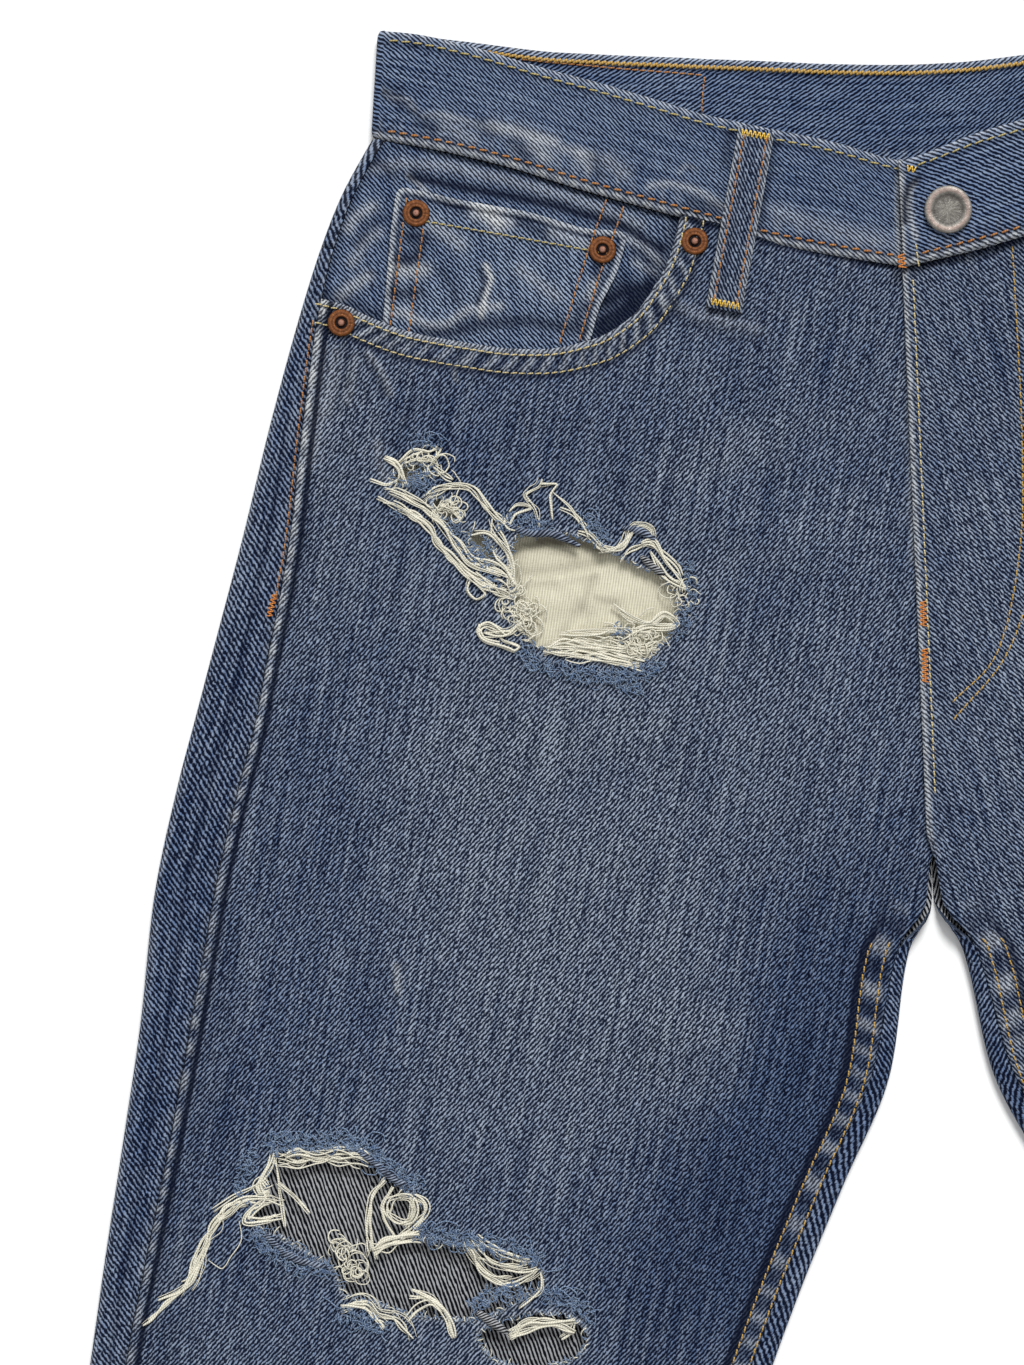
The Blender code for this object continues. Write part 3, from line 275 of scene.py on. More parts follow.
BAG_CREASES = (
    Crease(-146.0, -150.0, -92.0, -146.0, 0.35, 3.0, 3.0),
    Crease(-140.0, -138.0, -104.0, -170.0, 0.35, 2.6, -3.0),
    Crease(-124.0, -134.0, -118.0, -172.0, -0.45, 3.2, 2.0),
    Crease(-138.0, -160.0, -96.0, -158.0, -0.35, 3.0, -2.0),
    Crease(-112.0, -144.0, -92.0, -168.0, 0.30, 2.6, 2.0),
)

# Where the wash and the wear have lightened the cloth, or left it dark; some dark ones are painted shade
Fade = namedtuple("Fade", "x y long wide turn amount")
RIGHT_FADES = (
    Fade(-130.0, -250.0, 120.0, 62.0, 12.0, 0.34),
    Fade(-108.0, -306.0, 58.0, 52.0, 12.0, 0.22),
    Fade(-84.0, -306.0, 9.0, 24.0, 8.0, 0.30),
    Fade(-92.0, -324.0, 7.0, 30.0, 8.0, 0.12),
    Fade(-66.0, -102.0, 9.0, 60.0, -17.0, 0.26),
    Fade(-48.0, -134.0, 8.0, 52.0, -16.0, 0.20),
    Fade(-52.0, -170.0, 9.0, 48.0, -14.0, 0.14),
    Fade(-40.0, -200.0, 30.0, 34.0, 0.0, 0.18),
    Fade(-120.0, -200.0, 10.0, 60.0, -10.0, 0.16),
    Fade(-226.0, -250.0, 90.0, 16.0, 14.0, -0.10),
    # The next three are painted shade on the thigh, darker towards the inseam where the leg curves down to
    # it.
    Fade(-38.0, -300.0, 40.0, 22.0, 24.0, -0.30),
    Fade(-64.0, -352.0, 60.0, 20.0, 24.0, -0.34),
    Fade(-100.0, -400.0, 40.0, 40.0, 10.0, -0.18),
    Fade(-150.0, -110.0, 30.0, 50.0, 0.0, -0.16),
    Fade(-210.0, -120.0, 36.0, 14.0, 14.0, 0.14),
    Fade(-232.0, -330.0, 60.0, 30.0, 14.0, -0.14),
    Fade(-170.0, -420.0, 26.0, 60.0, 0.0, 0.10),
    # The next two are painted shade on the thigh towards the inseam.
    Fade(-50.0, -310.0, 60.0, 34.0, 20.0, -0.34),
    Fade(-100.0, -375.0, 46.0, 40.0, 0.0, -0.28),
    Fade(-203.0, -84.0, 30.0, 16.0, 10.0, 0.26),
    Fade(-167.0, -201.0, 50.0, 40.0, 0.0, 0.16),
)

# Small folds, rubbed streaks and painted shade in creases and under edges, traced over the photograph in
# its pixels. The width and the rise are in millimetres.
Mark = namedtuple("Mark", "wide rise wear deep points")
FRONT_MARKS = (
    # The first three only paint shade: along the thigh where it curves down to the inseam, and in two
    # creases.
    Mark(38.0, 0.0, 0.0, 0.20, ((900, 960), (850, 1060), (800, 1180), (765, 1320))),
    Mark(22.0, 0.0, 0.0, 0.16, ((700, 1200), (660, 1320))),
    Mark(14.0, 0.0, 0.0, 0.14, ((205, 1000), (180, 1160), (160, 1330))),
    Mark(1.4, 0.5, 0.32, 0.0, ((369, 354), (378, 366), (387, 382), (390, 394))),
    Mark(1.6, -0.5, 0.0, 0.35, ((362, 356), (371, 369), (380, 385), (383, 398))),
    Mark(1.3, -0.4, 0.0, 0.35, ((411, 400), (409, 412), (407, 426))),
    Mark(0.8, 0.3, 0.40, 0.0, ((454, 366), (456, 382))),
    Mark(3.2, 0.4, 0.22, 0.0, ((319, 352), (318, 393), (315, 430), (310, 462))),
    Mark(2.2, 0.6, 0.22, 0.0, ((336, 352), (334, 384), (328, 412))),
    Mark(2.0, -0.6, 0.0, 0.30, ((346, 350), (344, 380), (339, 410))),
    Mark(1.8, 0.5, 0.24, 0.0, ((356, 358), (352, 384), (348, 402))),
    Mark(1.2, 0.2, 0.55, 0.0, ((396, 966), (398, 992))),
    Mark(2.0, 0.2, 0.30, 0.0, ((378, 444), (382, 470), (392, 496))),
    Mark(2.5, 0.5, 0.20, 0.0, ((666, 300), (700, 316), (760, 330))),
    Mark(2.5, -0.5, 0.0, 0.22, ((662, 312), (694, 328), (740, 342))),
    Mark(1.6, 0.3, 0.35, 0.0, ((914, 290), (912, 420), (914, 560))),
)
BAND_MARKS = (
    Mark(2.2, 0.3, 0.62, 0.0, ((492, 127), (516, 132), (530, 136), (554, 143))),
    Mark(1.8, 0.2, 0.42, 0.0, ((563, 150), (574, 151), (592, 156))),
    Mark(1.2, 0.4, 0.38, 0.0, ((377, 87), (393, 98), (408, 100), (415, 111))),
    Mark(2.4, -0.4, 0.0, 0.55, ((380, 91), (397, 96))),
    Mark(1.8, -0.3, 0.0, 0.50, ((400, 105), (413, 112))),
    Mark(1.3, 0.4, 0.32, 0.0, ((422, 116), (442, 115), (467, 122), (482, 127))),
    Mark(2.6, -0.4, 0.0, 0.60, ((421, 123), (433, 130))),
    Mark(2.2, -0.3, 0.0, 0.45, ((480, 122), (492, 138))),
    Mark(2.4, -0.4, 0.0, 0.60, ((514, 144), (527, 156))),
    Mark(2.2, -0.3, 0.0, 0.40, ((594, 160), (598, 174))),
    Mark(3.6, 0.3, 0.26, 0.0, ((446, 125), (470, 140))),
    Mark(2.8, 0.3, 0.42, 0.0, ((533, 148), (548, 158))),
    Mark(2.6, 0.3, 0.42, 0.0, ((580, 158), (588, 168))),
    Mark(2.8, 0.3, 0.34, 0.0, ((606, 160), (624, 174))),
    Mark(1.4, 0.5, 0.48, 0.0, ((651, 186), (668, 184), (686, 188), (705, 195), (720, 206))),
    Mark(2.2, -0.4, 0.0, 0.60, ((690, 202), (715, 209))),
    Mark(0.8, 0.2, 0.32, 0.0, ((679, 172), (686, 165), (696, 171))),
    Mark(2.0, -0.2, 0.0, 0.55, ((729, 134), (726, 164))),
    Mark(1.6, -0.2, 0.0, 0.60, ((775, 140), (766, 184), (759, 226))),
    Mark(3.6, 0.2, 0.24, 0.0, ((776, 214), (804, 222), (842, 232), (880, 242))),
    Mark(1.2, 0.4, 0.62, 0.0, ((899, 178), (898, 226), (899, 260))),
    Mark(1.4, -0.9, 0.0, 1.00, ((917, 180), (907, 189), (904, 200), (903, 224))),
    Mark(1.1, 0.4, 0.75, 0.0, ((913, 184), (908, 192), (907, 208), (909, 224), (914, 240))),
)
COIN_MARKS = (
    Mark(2.6, 0.0, 0.0, 0.80, ((410, 237), (424, 238), (416, 258), (402, 260))),
    Mark(2.6, 0.2, 0.62, 0.0, ((396, 270), (410, 272), (424, 270))),
    Mark(2.4, -0.1, 0.0, 0.70, ((392, 293), (408, 294), (418, 292))),
    Mark(2.0, 0.2, 0.50, 0.0, ((394, 312), (408, 314))),
    Mark(3.4, 0.3, 0.62, 0.0, ((484, 206), (492, 216), (498, 226))),
    Mark(2.4, 0.2, 0.45, 0.0, ((474, 214), (510, 222))),
    Mark(2.6, 0.2, 0.42, 0.0, ((553, 232), (584, 244))),
    Mark(3.0, 0.2, 0.36, 0.0, ((432, 226), (446, 234), (460, 244))),
    Mark(2.2, -0.2, 0.0, 0.45, ((440, 200), (462, 210))),
    Mark(2.4, -0.3, 0.0, 0.55, ((520, 222), (545, 234))),
    Mark(1.2, 0.4, 0.95, 0.0, ((486, 266), (491, 279), (485, 298), (481, 316))),
    Mark(1.0, -0.5, 0.0, 0.80, ((480, 270), (484, 284), (477, 304))),
    Mark(1.8, 0.3, 0.50, 0.0, ((413, 319), (430, 325), (447, 324), (468, 310), (500, 306))),
    Mark(2.6, -0.4, 0.0, 0.70, ((420, 334), (448, 334), (480, 324), (530, 322), (580, 330))),
    Mark(2.2, -0.2, 0.0, 0.60, ((600, 262), (598, 274))),
    Mark(2.2, 0.2, 0.50, 0.0, ((594, 284), (590, 296))),
    Mark(2.4, -0.2, 0.0, 0.60, ((584, 306), (578, 318))),
    Mark(2.6, 0.1, 0.30, 0.0, ((520, 270), (540, 284), (556, 296))),
    Mark(2.0, -0.1, 0.0, 0.40, ((440, 270), (452, 288), (456, 300))),
)
FACING_MARKS = (
    Mark(1.8, -0.7, 0.0, 1.00, ((410, 176), (432, 181), (466, 188), (500, 194), (546, 203), (584, 214),
                                (621, 225), (660, 248))),
    Mark(2.4, 0.5, 0.30, 0.0, ((373, 168), (403, 163), (449, 166), (517, 182), (580, 200), (640, 224))),
    Mark(1.0, 0.4, 0.60, 0.0, ((408, 175), (418, 183), (427, 192))),
    Mark(2.2, 0.4, 0.45, 0.0, ((348, 228), (356, 216), (372, 206))),
    Mark(2.2, 0.4, 0.35, 0.0, ((352, 262), (366, 240), (378, 232))),
    Mark(1.8, -0.4, 0.0, 0.55, ((366, 160), (384, 166), (394, 176))),
    Mark(2.0, -0.4, 0.0, 0.50, ((356, 246), (370, 226), (384, 218))),
    Mark(2.4, 0.3, 0.50, 0.0, ((340, 296), (352, 286), (368, 276))),
    Mark(4.6, -0.6, 0.0, 1.00, ((606, 302), (626, 290), (645, 294), (628, 308), (604, 322))),
    Mark(2.0, 0.5, 0.45, 0.0, ((628, 238), (644, 246), (660, 262))),
    Mark(1.8, 0.4, 0.35, 0.0, ((636, 262), (654, 272))),
    Mark(2.0, -0.3, 0.0, 0.60, ((634, 252), (650, 262))),
)
BAG_MARKS = (
    Mark(1.7, -0.4, 0.0, 0.85, ((508, 553), (525, 546), (545, 541), (566, 540), (585, 544), (600, 550))),
    Mark(1.4, -0.4, 0.0, 0.95, ((540, 539), (556, 540), (574, 544))),
    Mark(2.0, -0.5, 0.0, 0.30, ((514, 575), (536, 573), (559, 571), (601, 563))),
    Mark(1.6, 0.6, 0.0, 0.0, ((514, 582), (536, 580), (561, 578), (600, 572))),
    Mark(1.6, -0.4, 0.0, 0.32, ((594, 577), (580, 609), (561, 634))),
    Mark(1.8, 0.6, 0.0, 0.0, ((600, 580), (588, 610), (570, 636))),
    Mark(1.2, -0.3, 0.0, 0.34, ((596, 598), (606, 602), (616, 603))),
    Mark(2.4, -0.2, 0.0, 0.30, ((514, 550), (516, 600))),
)

# The coin pocket's edges where they show, traced in the same way
COIN_TRACE = ((592, 335), (600, 307), (617, 272), (626, 240), (624, 234), (617, 231), (584, 228),
              (549, 218), (523, 211), (482, 204), (451, 198), (427, 192), (406, 188), (400, 189),
              (396, 194), (393, 213), (390, 238), (388, 262), (386, 286), (382, 330))

# Colours, linear: valleys and floats of new and of faded denim, and the white of bare yarn
INDIGO_DARK = (0.0010, 0.0030, 0.0140)
INDIGO_LIGHT = (0.1150, 0.1750, 0.3100)
FADED_DARK = (0.0060, 0.0110, 0.0270)
FADED_LIGHT = (0.3300, 0.3850, 0.4700)
BARE = (0.5600, 0.5800, 0.5900)
WRONG_DARK = (0.0030, 0.0035, 0.0060)
WRONG_LIGHT = (0.33, 0.34, 0.355)
CRISP_LIGHT = (0.28, 0.355, 0.48)

# The twill's repeat across and along the warp, and how far the warp leans. On the wrong side of the
# back its lines stand steeper, as the cloth is pulled there.
TWILL_ACROSS = 1.45
TWILL_ALONG = 2.15
RIGHT_GRAIN = 12.0
CROSS_GRAIN = -6.0
WRONG_STEEP = 0.5

# Each thread's colour, the shade in its grooves and its pale patches
THREAD_COLOURS = {
    "gold": ((0.52, 0.31, 0.06), (0.14, 0.07, 0.012), (0.62, 0.46, 0.20)),
    "tan": ((0.46, 0.18, 0.05), (0.11, 0.035, 0.012), (0.52, 0.32, 0.14)),
    "olive": ((0.46, 0.37, 0.13), (0.11, 0.085, 0.025), (0.60, 0.54, 0.32)),
    "straw": ((0.64, 0.51, 0.23), (0.18, 0.14, 0.045), (0.76, 0.68, 0.46)),
    "yellow": ((0.80, 0.52, 0.07), (0.28, 0.14, 0.01), (0.84, 0.64, 0.20)),
    "orange": ((0.68, 0.22, 0.04), (0.22, 0.06, 0.01), (0.70, 0.36, 0.12)),
}
WEFT = ((0.76, 0.73, 0.60), (0.26, 0.24, 0.18), (0.88, 0.86, 0.76))
FUZZ = ((0.080, 0.150, 0.295), (0.010, 0.022, 0.065), (0.60, 0.72, 0.82))
COPPER = ((0.26, 0.085, 0.018), (0.36, 0.14, 0.04), (0.07, 0.022, 0.008))
STEEL = ((0.42, 0.40, 0.36), (0.60, 0.58, 0.53), (0.10, 0.09, 0.08))
# The near black of painted shade on the metal, and the pink of its painted highlights
PAINTED_SHADE_BLACK = (0.012, 0.008, 0.010)
PAINTED_METAL_HIGHLIGHT = (0.62, 0.36, 0.30)

# The front panels' grids: where the close rows end, and the rows below. The columns crowd at the edges.
HIP_END = 96.0
THIGH_END = 462.0
LEG_ROWS = 96
EDGE_CROWDING = 0.07
RIGHT_FRONT = {"lap": 6.0, "columns": 208, "hip_step": 1.0, "leg_step": 1.6}
LEFT_FRONT = {"lap": 2.0, "columns": 100, "hip_step": 2.0, "leg_step": 3.2}
RIGHT_START_FADE = 0.42
LEFT_START_FADE = 0.44
LEFT_FADE_COUNT = 9

# The back panels' grids
YOKE_ROWS = 16
BACK_STEP = 3.8
BACK_CLOSE_END = 460.0
BACK_LEG_ROWS = 84
HEM_STEP = (HEM_DOWN - HEM_WIDTH - 0.2, HEM_DOWN - HEM_WIDTH + 0.2)
BACK_COLUMNS = 56

# The waistband's section, and its stations: shares of the way, or the angles of a fold
BAND_HEIGHT = 37.5
BAND_ROWS = 26
BandPart = namedtuple("BandPart", "place first last count")
BAND_PARTS = (
    BandPart("right", 0.0, 1.0, 150),
    BandPart("fold_right", 75.0, -75.0, 9),
    BandPart("back", 0.0, 1.0, 240),
    BandPart("fold_left", -75.0, 75.0, 9),
    BandPart("left", 0.0, 1.0, 150),
)

# The rectangle that each sheet is cut from, in metres, and the areas that are given. A front's area
# is that of its built faces, and a patch's is PATCH_SHARE of them.
FRONT_FLAT = (0.30, 1.08)
YOKE_FLAT = (0.205, 0.085)
YOKE_AREA = 0.0125
BACK_FLAT = (0.36, 1.03)
BACK_AREA = 0.29
BAND_FLAT = (0.0385, 0.81)
FACING_FLAT = (0.155, 0.105)
COIN_FLAT = (0.093, 0.069)
BAG_FLAT = (0.145, 0.108)
BACK_POCKET_FLAT = (0.150, 0.167)
FRONT_LOOP_FLAT = (0.0129, 0.0675)
BACK_LOOP_FLAT = (0.0129, 0.052)
PATCH_SHARE = 0.9

# Light and camera. The camera is turned as the photograph is.
FLOOR_REACH = 3.0
SKY_STRENGTH = 0.55
KEY_ENERGY = 3.3
KEY_SPREAD = math.radians(24.0)
KEY_TURN = (math.radians(-44.0), math.radians(14.0), 0.0)
CAMERA_AT = (-0.1475, 0.31455, 1.2055)
CAMERA_LENS = 88.6
CAMERA_NEAR = 0.05

SIDES = (("right", 1.0), ("left", -1.0))

# The photograph: pixels to a millimetre, the pixel of the garment's zero point, and its turn
PHOTO_SCALE = 2.8
PHOTO_CENTRE = (903.0, 162.0)
PHOTO_TURN = math.radians(2.463)


# Shapes of the solids, for arrays of points

def monotone(xs, ys, x):
    """Values at x of the smooth curve through the points, which never swings past them."""
    xs = np.asarray(xs, dtype=float)
    ys = np.asarray(ys, dtype=float)
    step = np.diff(xs)
    rise = np.diff(ys) / step
    same_way = rise[:-1] * rise[1:] > 0.0
    before = np.where(same_way, rise[:-1], 1.0)
    after = np.where(same_way, rise[1:], 1.0)
    first = 2.0 * step[1:] + step[:-1]
    second = step[1:] + 2.0 * step[:-1]
    mean = (first + second) / (first / before + second / after)
    slope = np.zeros_like(ys)
    slope[0] = rise[0]
    slope[-1] = rise[-1]
    slope[1:-1] = np.where(same_way, mean, 0.0)
    x = np.clip(x, xs[0], xs[-1])
    k = np.clip(np.searchsorted(xs, x) - 1, 0, len(step) - 1)
    t = (x - xs[k]) / step[k]
    start = ys[k] * (1.0 + 2.0 * t) + step[k] * slope[k] * t
    end = ys[k + 1] * (3.0 - 2.0 * t) - step[k] * slope[k + 1] * (1.0 - t)
    return start * (1.0 - t) ** 2 + end * t * t


def ease(value):
    """Smooth step from 0 to 1."""
    value = np.clip(value, 0.0, 1.0)
    return value * value * (3.0 - 2.0 * value)


def edge_at(edge, x):
    """Height of a waistband edge at x, mirrored where its table starts at the centre line."""
    key = np.abs(x) if edge[0][0] == 0.0 else x
    return monotone([point[0] for point in edge], [point[1] for point in edge], key)


def section_at(down):
    """The sections at stations along the side."""
    stations = [section.down for section in SECTIONS]
    return Section(*[monotone(stations, column, down) for column in zip(*SECTIONS)])


def side_lines():
    """The outseam and the inner edge as tables of y and x."""
    section = section_at(np.minimum(np.arange(0.0, HEM_DOWN + 1.0, 10.0), HEM_DOWN))
    across_x = section.inner_x - section.outer_x
    across_y = section.front_y - section.outer_y
    width = np.hypot(across_x, across_y)
    outseam = (section.outer_y + across_y * section.out_wrap / width,
               section.outer_x + across_x * section.out_wrap / width)
    return outseam, (section.front_y, section.inner_x)


OUTSEAM_LINE, INNER_LINE = side_lines()


def line_x(line, y):
    """x on one of the side lines at heights y."""
    return np.interp(-y, -line[0], line[1])


def ridge_height(x, y, folds):
    """How far folds or creases raise or lower the cloth."""
    height = np.zeros_like(x)
    for fold in folds:
        run_x = fold.x1 - fold.x0
        run_y = fold.y1 - fold.y0
        length = math.hypot(run_x, run_y)
        along = ((x - fold.x0) * run_x + (y - fold.y0) * run_y) / length ** 2
        beside = ((x - fold.x0) * run_y - (y - fold.y0) * run_x) / length
        if isinstance(fold, Crease):
            beside = beside - fold.bow * np.sin(math.pi * np.clip(along, 0.0, 1.0))
        fade = ease(4.0 * along) * ease(4.0 * (1.0 - along))
        height += fold.height * fade * np.exp(-(beside / fold.width) ** 2)
    return height


def front_top(x, y):
    """Height of the solid front panels' face, on either side."""
    x = -np.abs(x)
    from_outseam = x - line_x(OUTSEAM_LINE, y)
    from_inseam = np.where(y < CROTCH_Y, line_x(INNER_LINE, y) - x, 3.0 * EDGE_FALL)
    from_inseam = np.minimum(from_inseam, np.hypot(x, y - CROTCH_Y))
    crown = HIP_TOP + (LEG_TOP - HIP_TOP) * ease((CROWN_FALL[0] - y) / CROWN_FALL[1])
    rise = ease(from_outseam / EDGE_FALL) * ease(from_inseam / EDGE_FALL)
    pocket = (ease((y - POCKET_RISE_UP[0]) / POCKET_RISE_UP[1])
              * ease((POCKET_RISE_OUT[0] - x) / POCKET_RISE_OUT[1]))
    return EDGE_TOP + (crown - EDGE_TOP + ridge_height(x, y, FOLDS)) * rise + POCKET_RAISE * pocket


def back_lift(x, y):
    """How far the back is raised by the pockets and belt loops that lie under it."""
    side = -np.abs(x)
    cos = math.cos(BACK_POCKET_LEAN)
    sin = math.sin(BACK_POCKET_LEAN)
    right = (side - BACK_POCKET_AT[0]) * cos - (y - BACK_POCKET_AT[1]) * sin
    below = -(side - BACK_POCKET_AT[0]) * sin - (y - BACK_POCKET_AT[1]) * cos
    lift = (ease((LIFT_BESIDE[0] - np.abs(right)) / LIFT_BESIDE[1])
            * ease((below - LIFT_ABOVE[0]) / LIFT_ABOVE[1])
            * ease((LIFT_BELOW[0] - below) / LIFT_BELOW[1]))
    for loop_x in (-BACK_LOOP_X, 0.0, BACK_LOOP_X):
        near = ease((LIFT_LOOP[0] - np.abs(x - loop_x)) / LIFT_LOOP[1])
        above = ease((y - edge_at(BACK_BOTTOM_EDGE, x) - LIFT_LOOP_ABOVE[0]) / LIFT_LOOP_ABOVE[1])
        lift = np.maximum(lift, near * above)
    return POCKET_LIFT * lift


def band_front_top(x, lap):
    """Height of the waistband's face on the front, with its left end lapped over the right one."""
    crown = ease((BAND_CROWN[0] - np.abs(x)) / BAND_CROWN[1])
    top = BAND_SIDE_TOP + (BAND_FRONT_TOP - BAND_SIDE_TOP) * crown
    return top + lap * BAND_LAP * ease((BAND_LAP_FROM[0] - x) / BAND_LAP_FROM[1])


# Helpers for paths, noise and meshes

def noise(x, y, size, seed):
    """Smooth noise from -1 to 1, with lumps about one size across."""
    lattice = np.random.RandomState(seed).uniform(-1.0, 1.0, (128, 128))
    across = np.asarray(x, dtype=float) / size + 640.0
    up = np.asarray(y, dtype=float) / size + 640.0
    i = np.floor(across).astype(int)
    j = np.floor(up).astype(int)
    s = ease(across - i)
    t = ease(up - j)
    low = lattice[i % 128, j % 128] * (1.0 - s) + lattice[(i + 1) % 128, j % 128] * s
    high = lattice[i % 128, (j + 1) % 128] * (1.0 - s) + lattice[(i + 1) % 128, (j + 1) % 128] * s
    return low * (1.0 - t) + high * t


def smooth_path(points, step, closed=False):
    """Points about one step apart on a smooth curve through the given ones."""
    given = np.asarray(points, dtype=float)
    if closed:
        given = np.vstack([given[-1:], given, given[:2]])
    else:
        given = np.vstack([2.0 * given[:1] - given[1:2], given, 2.0 * given[-1:] - given[-2:-1]])
    found = []
    for k in range(1, len(given) - 2):
        p0, p1, p2, p3 = given[k - 1], given[k], given[k + 1], given[k + 2]
        count = max(1, int(math.ceil(np.linalg.norm(p2 - p1) / step)))
        t = (np.arange(count) / count)[:, None]
        found.append(0.5 * (2.0 * p1 + (p2 - p0) * t + (2.0 * p0 - 5.0 * p1 + 4.0 * p2 - p3) * t ** 2
                            + (3.0 * p1 - p0 - 3.0 * p2 + p3) * t ** 3))
    if not closed:
        found.append(given[-2:-1])
    return np.vstack(found)


def even_path(points, step):
    """Points exactly one step apart along a path, and its direction at each of them."""
    path = np.asarray(points, dtype=float)
    way = np.concatenate([[0.0], np.cumsum(np.linalg.norm(np.diff(path, axis=0), axis=1))])
    count = max(1, int(round(way[-1] / step)))
    at = (np.arange(count) + 0.5) * way[-1] / count
    placed = np.stack([np.interp(at, way, path[:, axis]) for axis in range(path.shape[1])], axis=1)
    ahead = np.stack([np.interp(at + 0.3, way, path[:, axis]) for axis in range(path.shape[1])], axis=1)
    behind = np.stack([np.interp(at - 0.3, way, path[:, axis]) for axis in range(path.shape[1])], axis=1)
    run = ahead - behind
    return placed, run / np.maximum(np.linalg.norm(run, axis=1, keepdims=True), 1e-9)


def beside_path(points, x, y, closed=False):
    """Distance from a path, positive on its left, and the way along it, for arrays of points."""
    path = np.asarray(points, dtype=float)
    if closed:
        path = np.vstack([path, path[:1]])
    best = np.full(x.shape, 1e9)
    along = np.zeros(x.shape)
    side = np.ones(x.shape)
    way = 0.0
    for (x0, y0), (x1, y1) in zip(path[:-1], path[1:]):
        length = math.hypot(x1 - x0, y1 - y0)
        t = np.clip(((x - x0) * (x1 - x0) + (y - y0) * (y1 - y0)) / length ** 2, 0.0, 1.0)
        far = np.hypot(x - x0 - t * (x1 - x0), y - y0 - t * (y1 - y0))
        nearer = far < best
        cross = (x1 - x0) * (y - y0) - (y1 - y0) * (x - x0)
        best = np.where(nearer, far, best)
        along = np.where(nearer, way + t * length, along)
        side = np.where(nearer, np.where(cross >= 0.0, 1.0, -1.0), side)
        way += length
    return best * side, along


def inside_distance(outline, x, y):
    """Distance from a closed outline, positive inside it, for arrays of points."""
    path = np.asarray(outline, dtype=float)
    best, _ = beside_path(path, x, y, closed=True)
    inside = np.zeros(x.shape, dtype=bool)
    for (x0, y0), (x1, y1) in zip(path, np.roll(path, -1, axis=0)):
        if y0 == y1:
            continue
        crosses = ((y0 > y) != (y1 > y)) & (x < (x1 - x0) * (y - y0) / (y1 - y0) + x0)
        inside ^= crosses
    return np.where(inside, np.abs(best), -np.abs(best))


def small_outline(hole):
    """The outline of a small worn hole."""
    angle = np.linspace(0.0, 2.0 * math.pi, 16, endpoint=False)
    along = hole.length / 2.0 * np.cos(angle)
    across = hole.width / 2.0 * np.sin(angle)
    turn = math.radians(hole.turn)
    return np.stack([hole.x + along * math.cos(turn) - across * math.sin(turn),
                     hole.y + along * math.sin(turn) + across * math.cos(turn)], axis=1)


class Cloth:
    """Points and faces of a piece of cloth, with what its material reads at each point."""

    # The last field is painted shade, darkening grooves, creases and what lies under edges; on metal, wear
    # carries a painted highlight.
    FIELDS = ("x", "y", "z", "u", "v", "fade", "wear", "deep")

    def __init__(self):
        self.rows = []
        self.faces = []
        self.kinds = []
        self.count = 0

    def add(self, values, *groups, kind=0):
        """Add points, one row of FIELDS each, and groups of faces that count from the first of them."""
        for faces in groups:
            self.join(faces, self.count, kind)
        self.rows.append(values)
        self.count += len(values)

    def join(self, faces, first=0, kind=0):
        """Add faces, with their points counted from the given one."""
        self.faces += [[int(k) + first for k in face] for face in faces]
        self.kinds += [kind] * len(faces)

    def make(self, name, finishes):
        """The mesh object."""
        values = np.vstack(self.rows)
        mesh = bpy.data.meshes.new(name)
        points = values[:, :3] * MM
        points[:, 1] -= Y_MIDDLE * MM
        mesh.from_pydata(points.tolist(), [], self.faces)
        for finish in finishes:
            mesh.materials.append(finish)
        mesh.polygons.foreach_set("material_index", self.kinds)
        mesh.polygons.foreach_set("use_smooth", [True] * len(self.faces))
        corner = np.zeros(len(mesh.loops), dtype=np.int32)
        mesh.loops.foreach_get("vertex_index", corner)
        layer = mesh.uv_layers.new(name="cloth")
        layer.data.foreach_set("uv", (values[corner, 3:5] * MM).ravel())
        for column, field in enumerate(("fade", "wear", "deep")):
            made = mesh.attributes.new(field, "FLOAT", "POINT")
            made.data.foreach_set("value", np.clip(values[:, 5 + column], 0.0, 1.0))
        mesh.update()
        made = bpy.data.objects.new(name, mesh)
        bpy.context.scene.collection.objects.link(made)
        return made


def grain(x, y, degrees, flip=1.0):
    """Cloth coordinates with the warp leaning so many degrees to the right of straight up."""
    turn = math.radians(degrees)
    return flip * (x * math.cos(turn) - y * math.sin(turn)), x * math.sin(turn) + y * math.cos(turn)


def table(x, y, z, uv, fade=0.5, wear=0.0, deep=0.0):
    """One row of Cloth.FIELDS for each point."""
    columns = np.broadcast_arrays(x, y, z, uv[0], uv[1], fade, wear, deep)
    return np.stack([np.asarray(column, dtype=float).ravel() for column in columns], axis=1)


def grid_faces(rows, columns, flip=False, first=0):
    """Quads of a grid of points."""
    k = first + np.arange((rows - 1) * columns).reshape(rows - 1, columns)[:, :-1].ravel()
    quads = np.stack([k, k + columns, k + columns + 1, k + 1], axis=1)
    return quads[:, ::-1] if flip else quads


def wrapped_faces(rows, columns, count=1):
    """Quads of tubes of so many rings, as many tubes as the count, one after another."""
    ring = np.arange(columns)
    after = np.roll(ring, -1)
    start = (np.arange(rows - 1) * columns)[:, None]
    quads = np.stack([start + ring, start + columns + ring, start + columns + after, start + after],
                     axis=2).reshape(-1, 4)
    shift = (np.arange(count) * rows * columns)[:, None, None]
    return (quads[None, :, :] + shift).reshape(-1, 4)


def tube_ends(rows, columns, count=1):
    """The end faces of such tubes."""
    ring = np.arange(columns)
    ends = np.stack([ring, (rows - 1) * columns + ring[::-1]], axis=0)
    shift = (np.arange(count) * rows * columns)[:, None, None]
    return (ends[None, :, :] + shift).reshape(-1, columns)


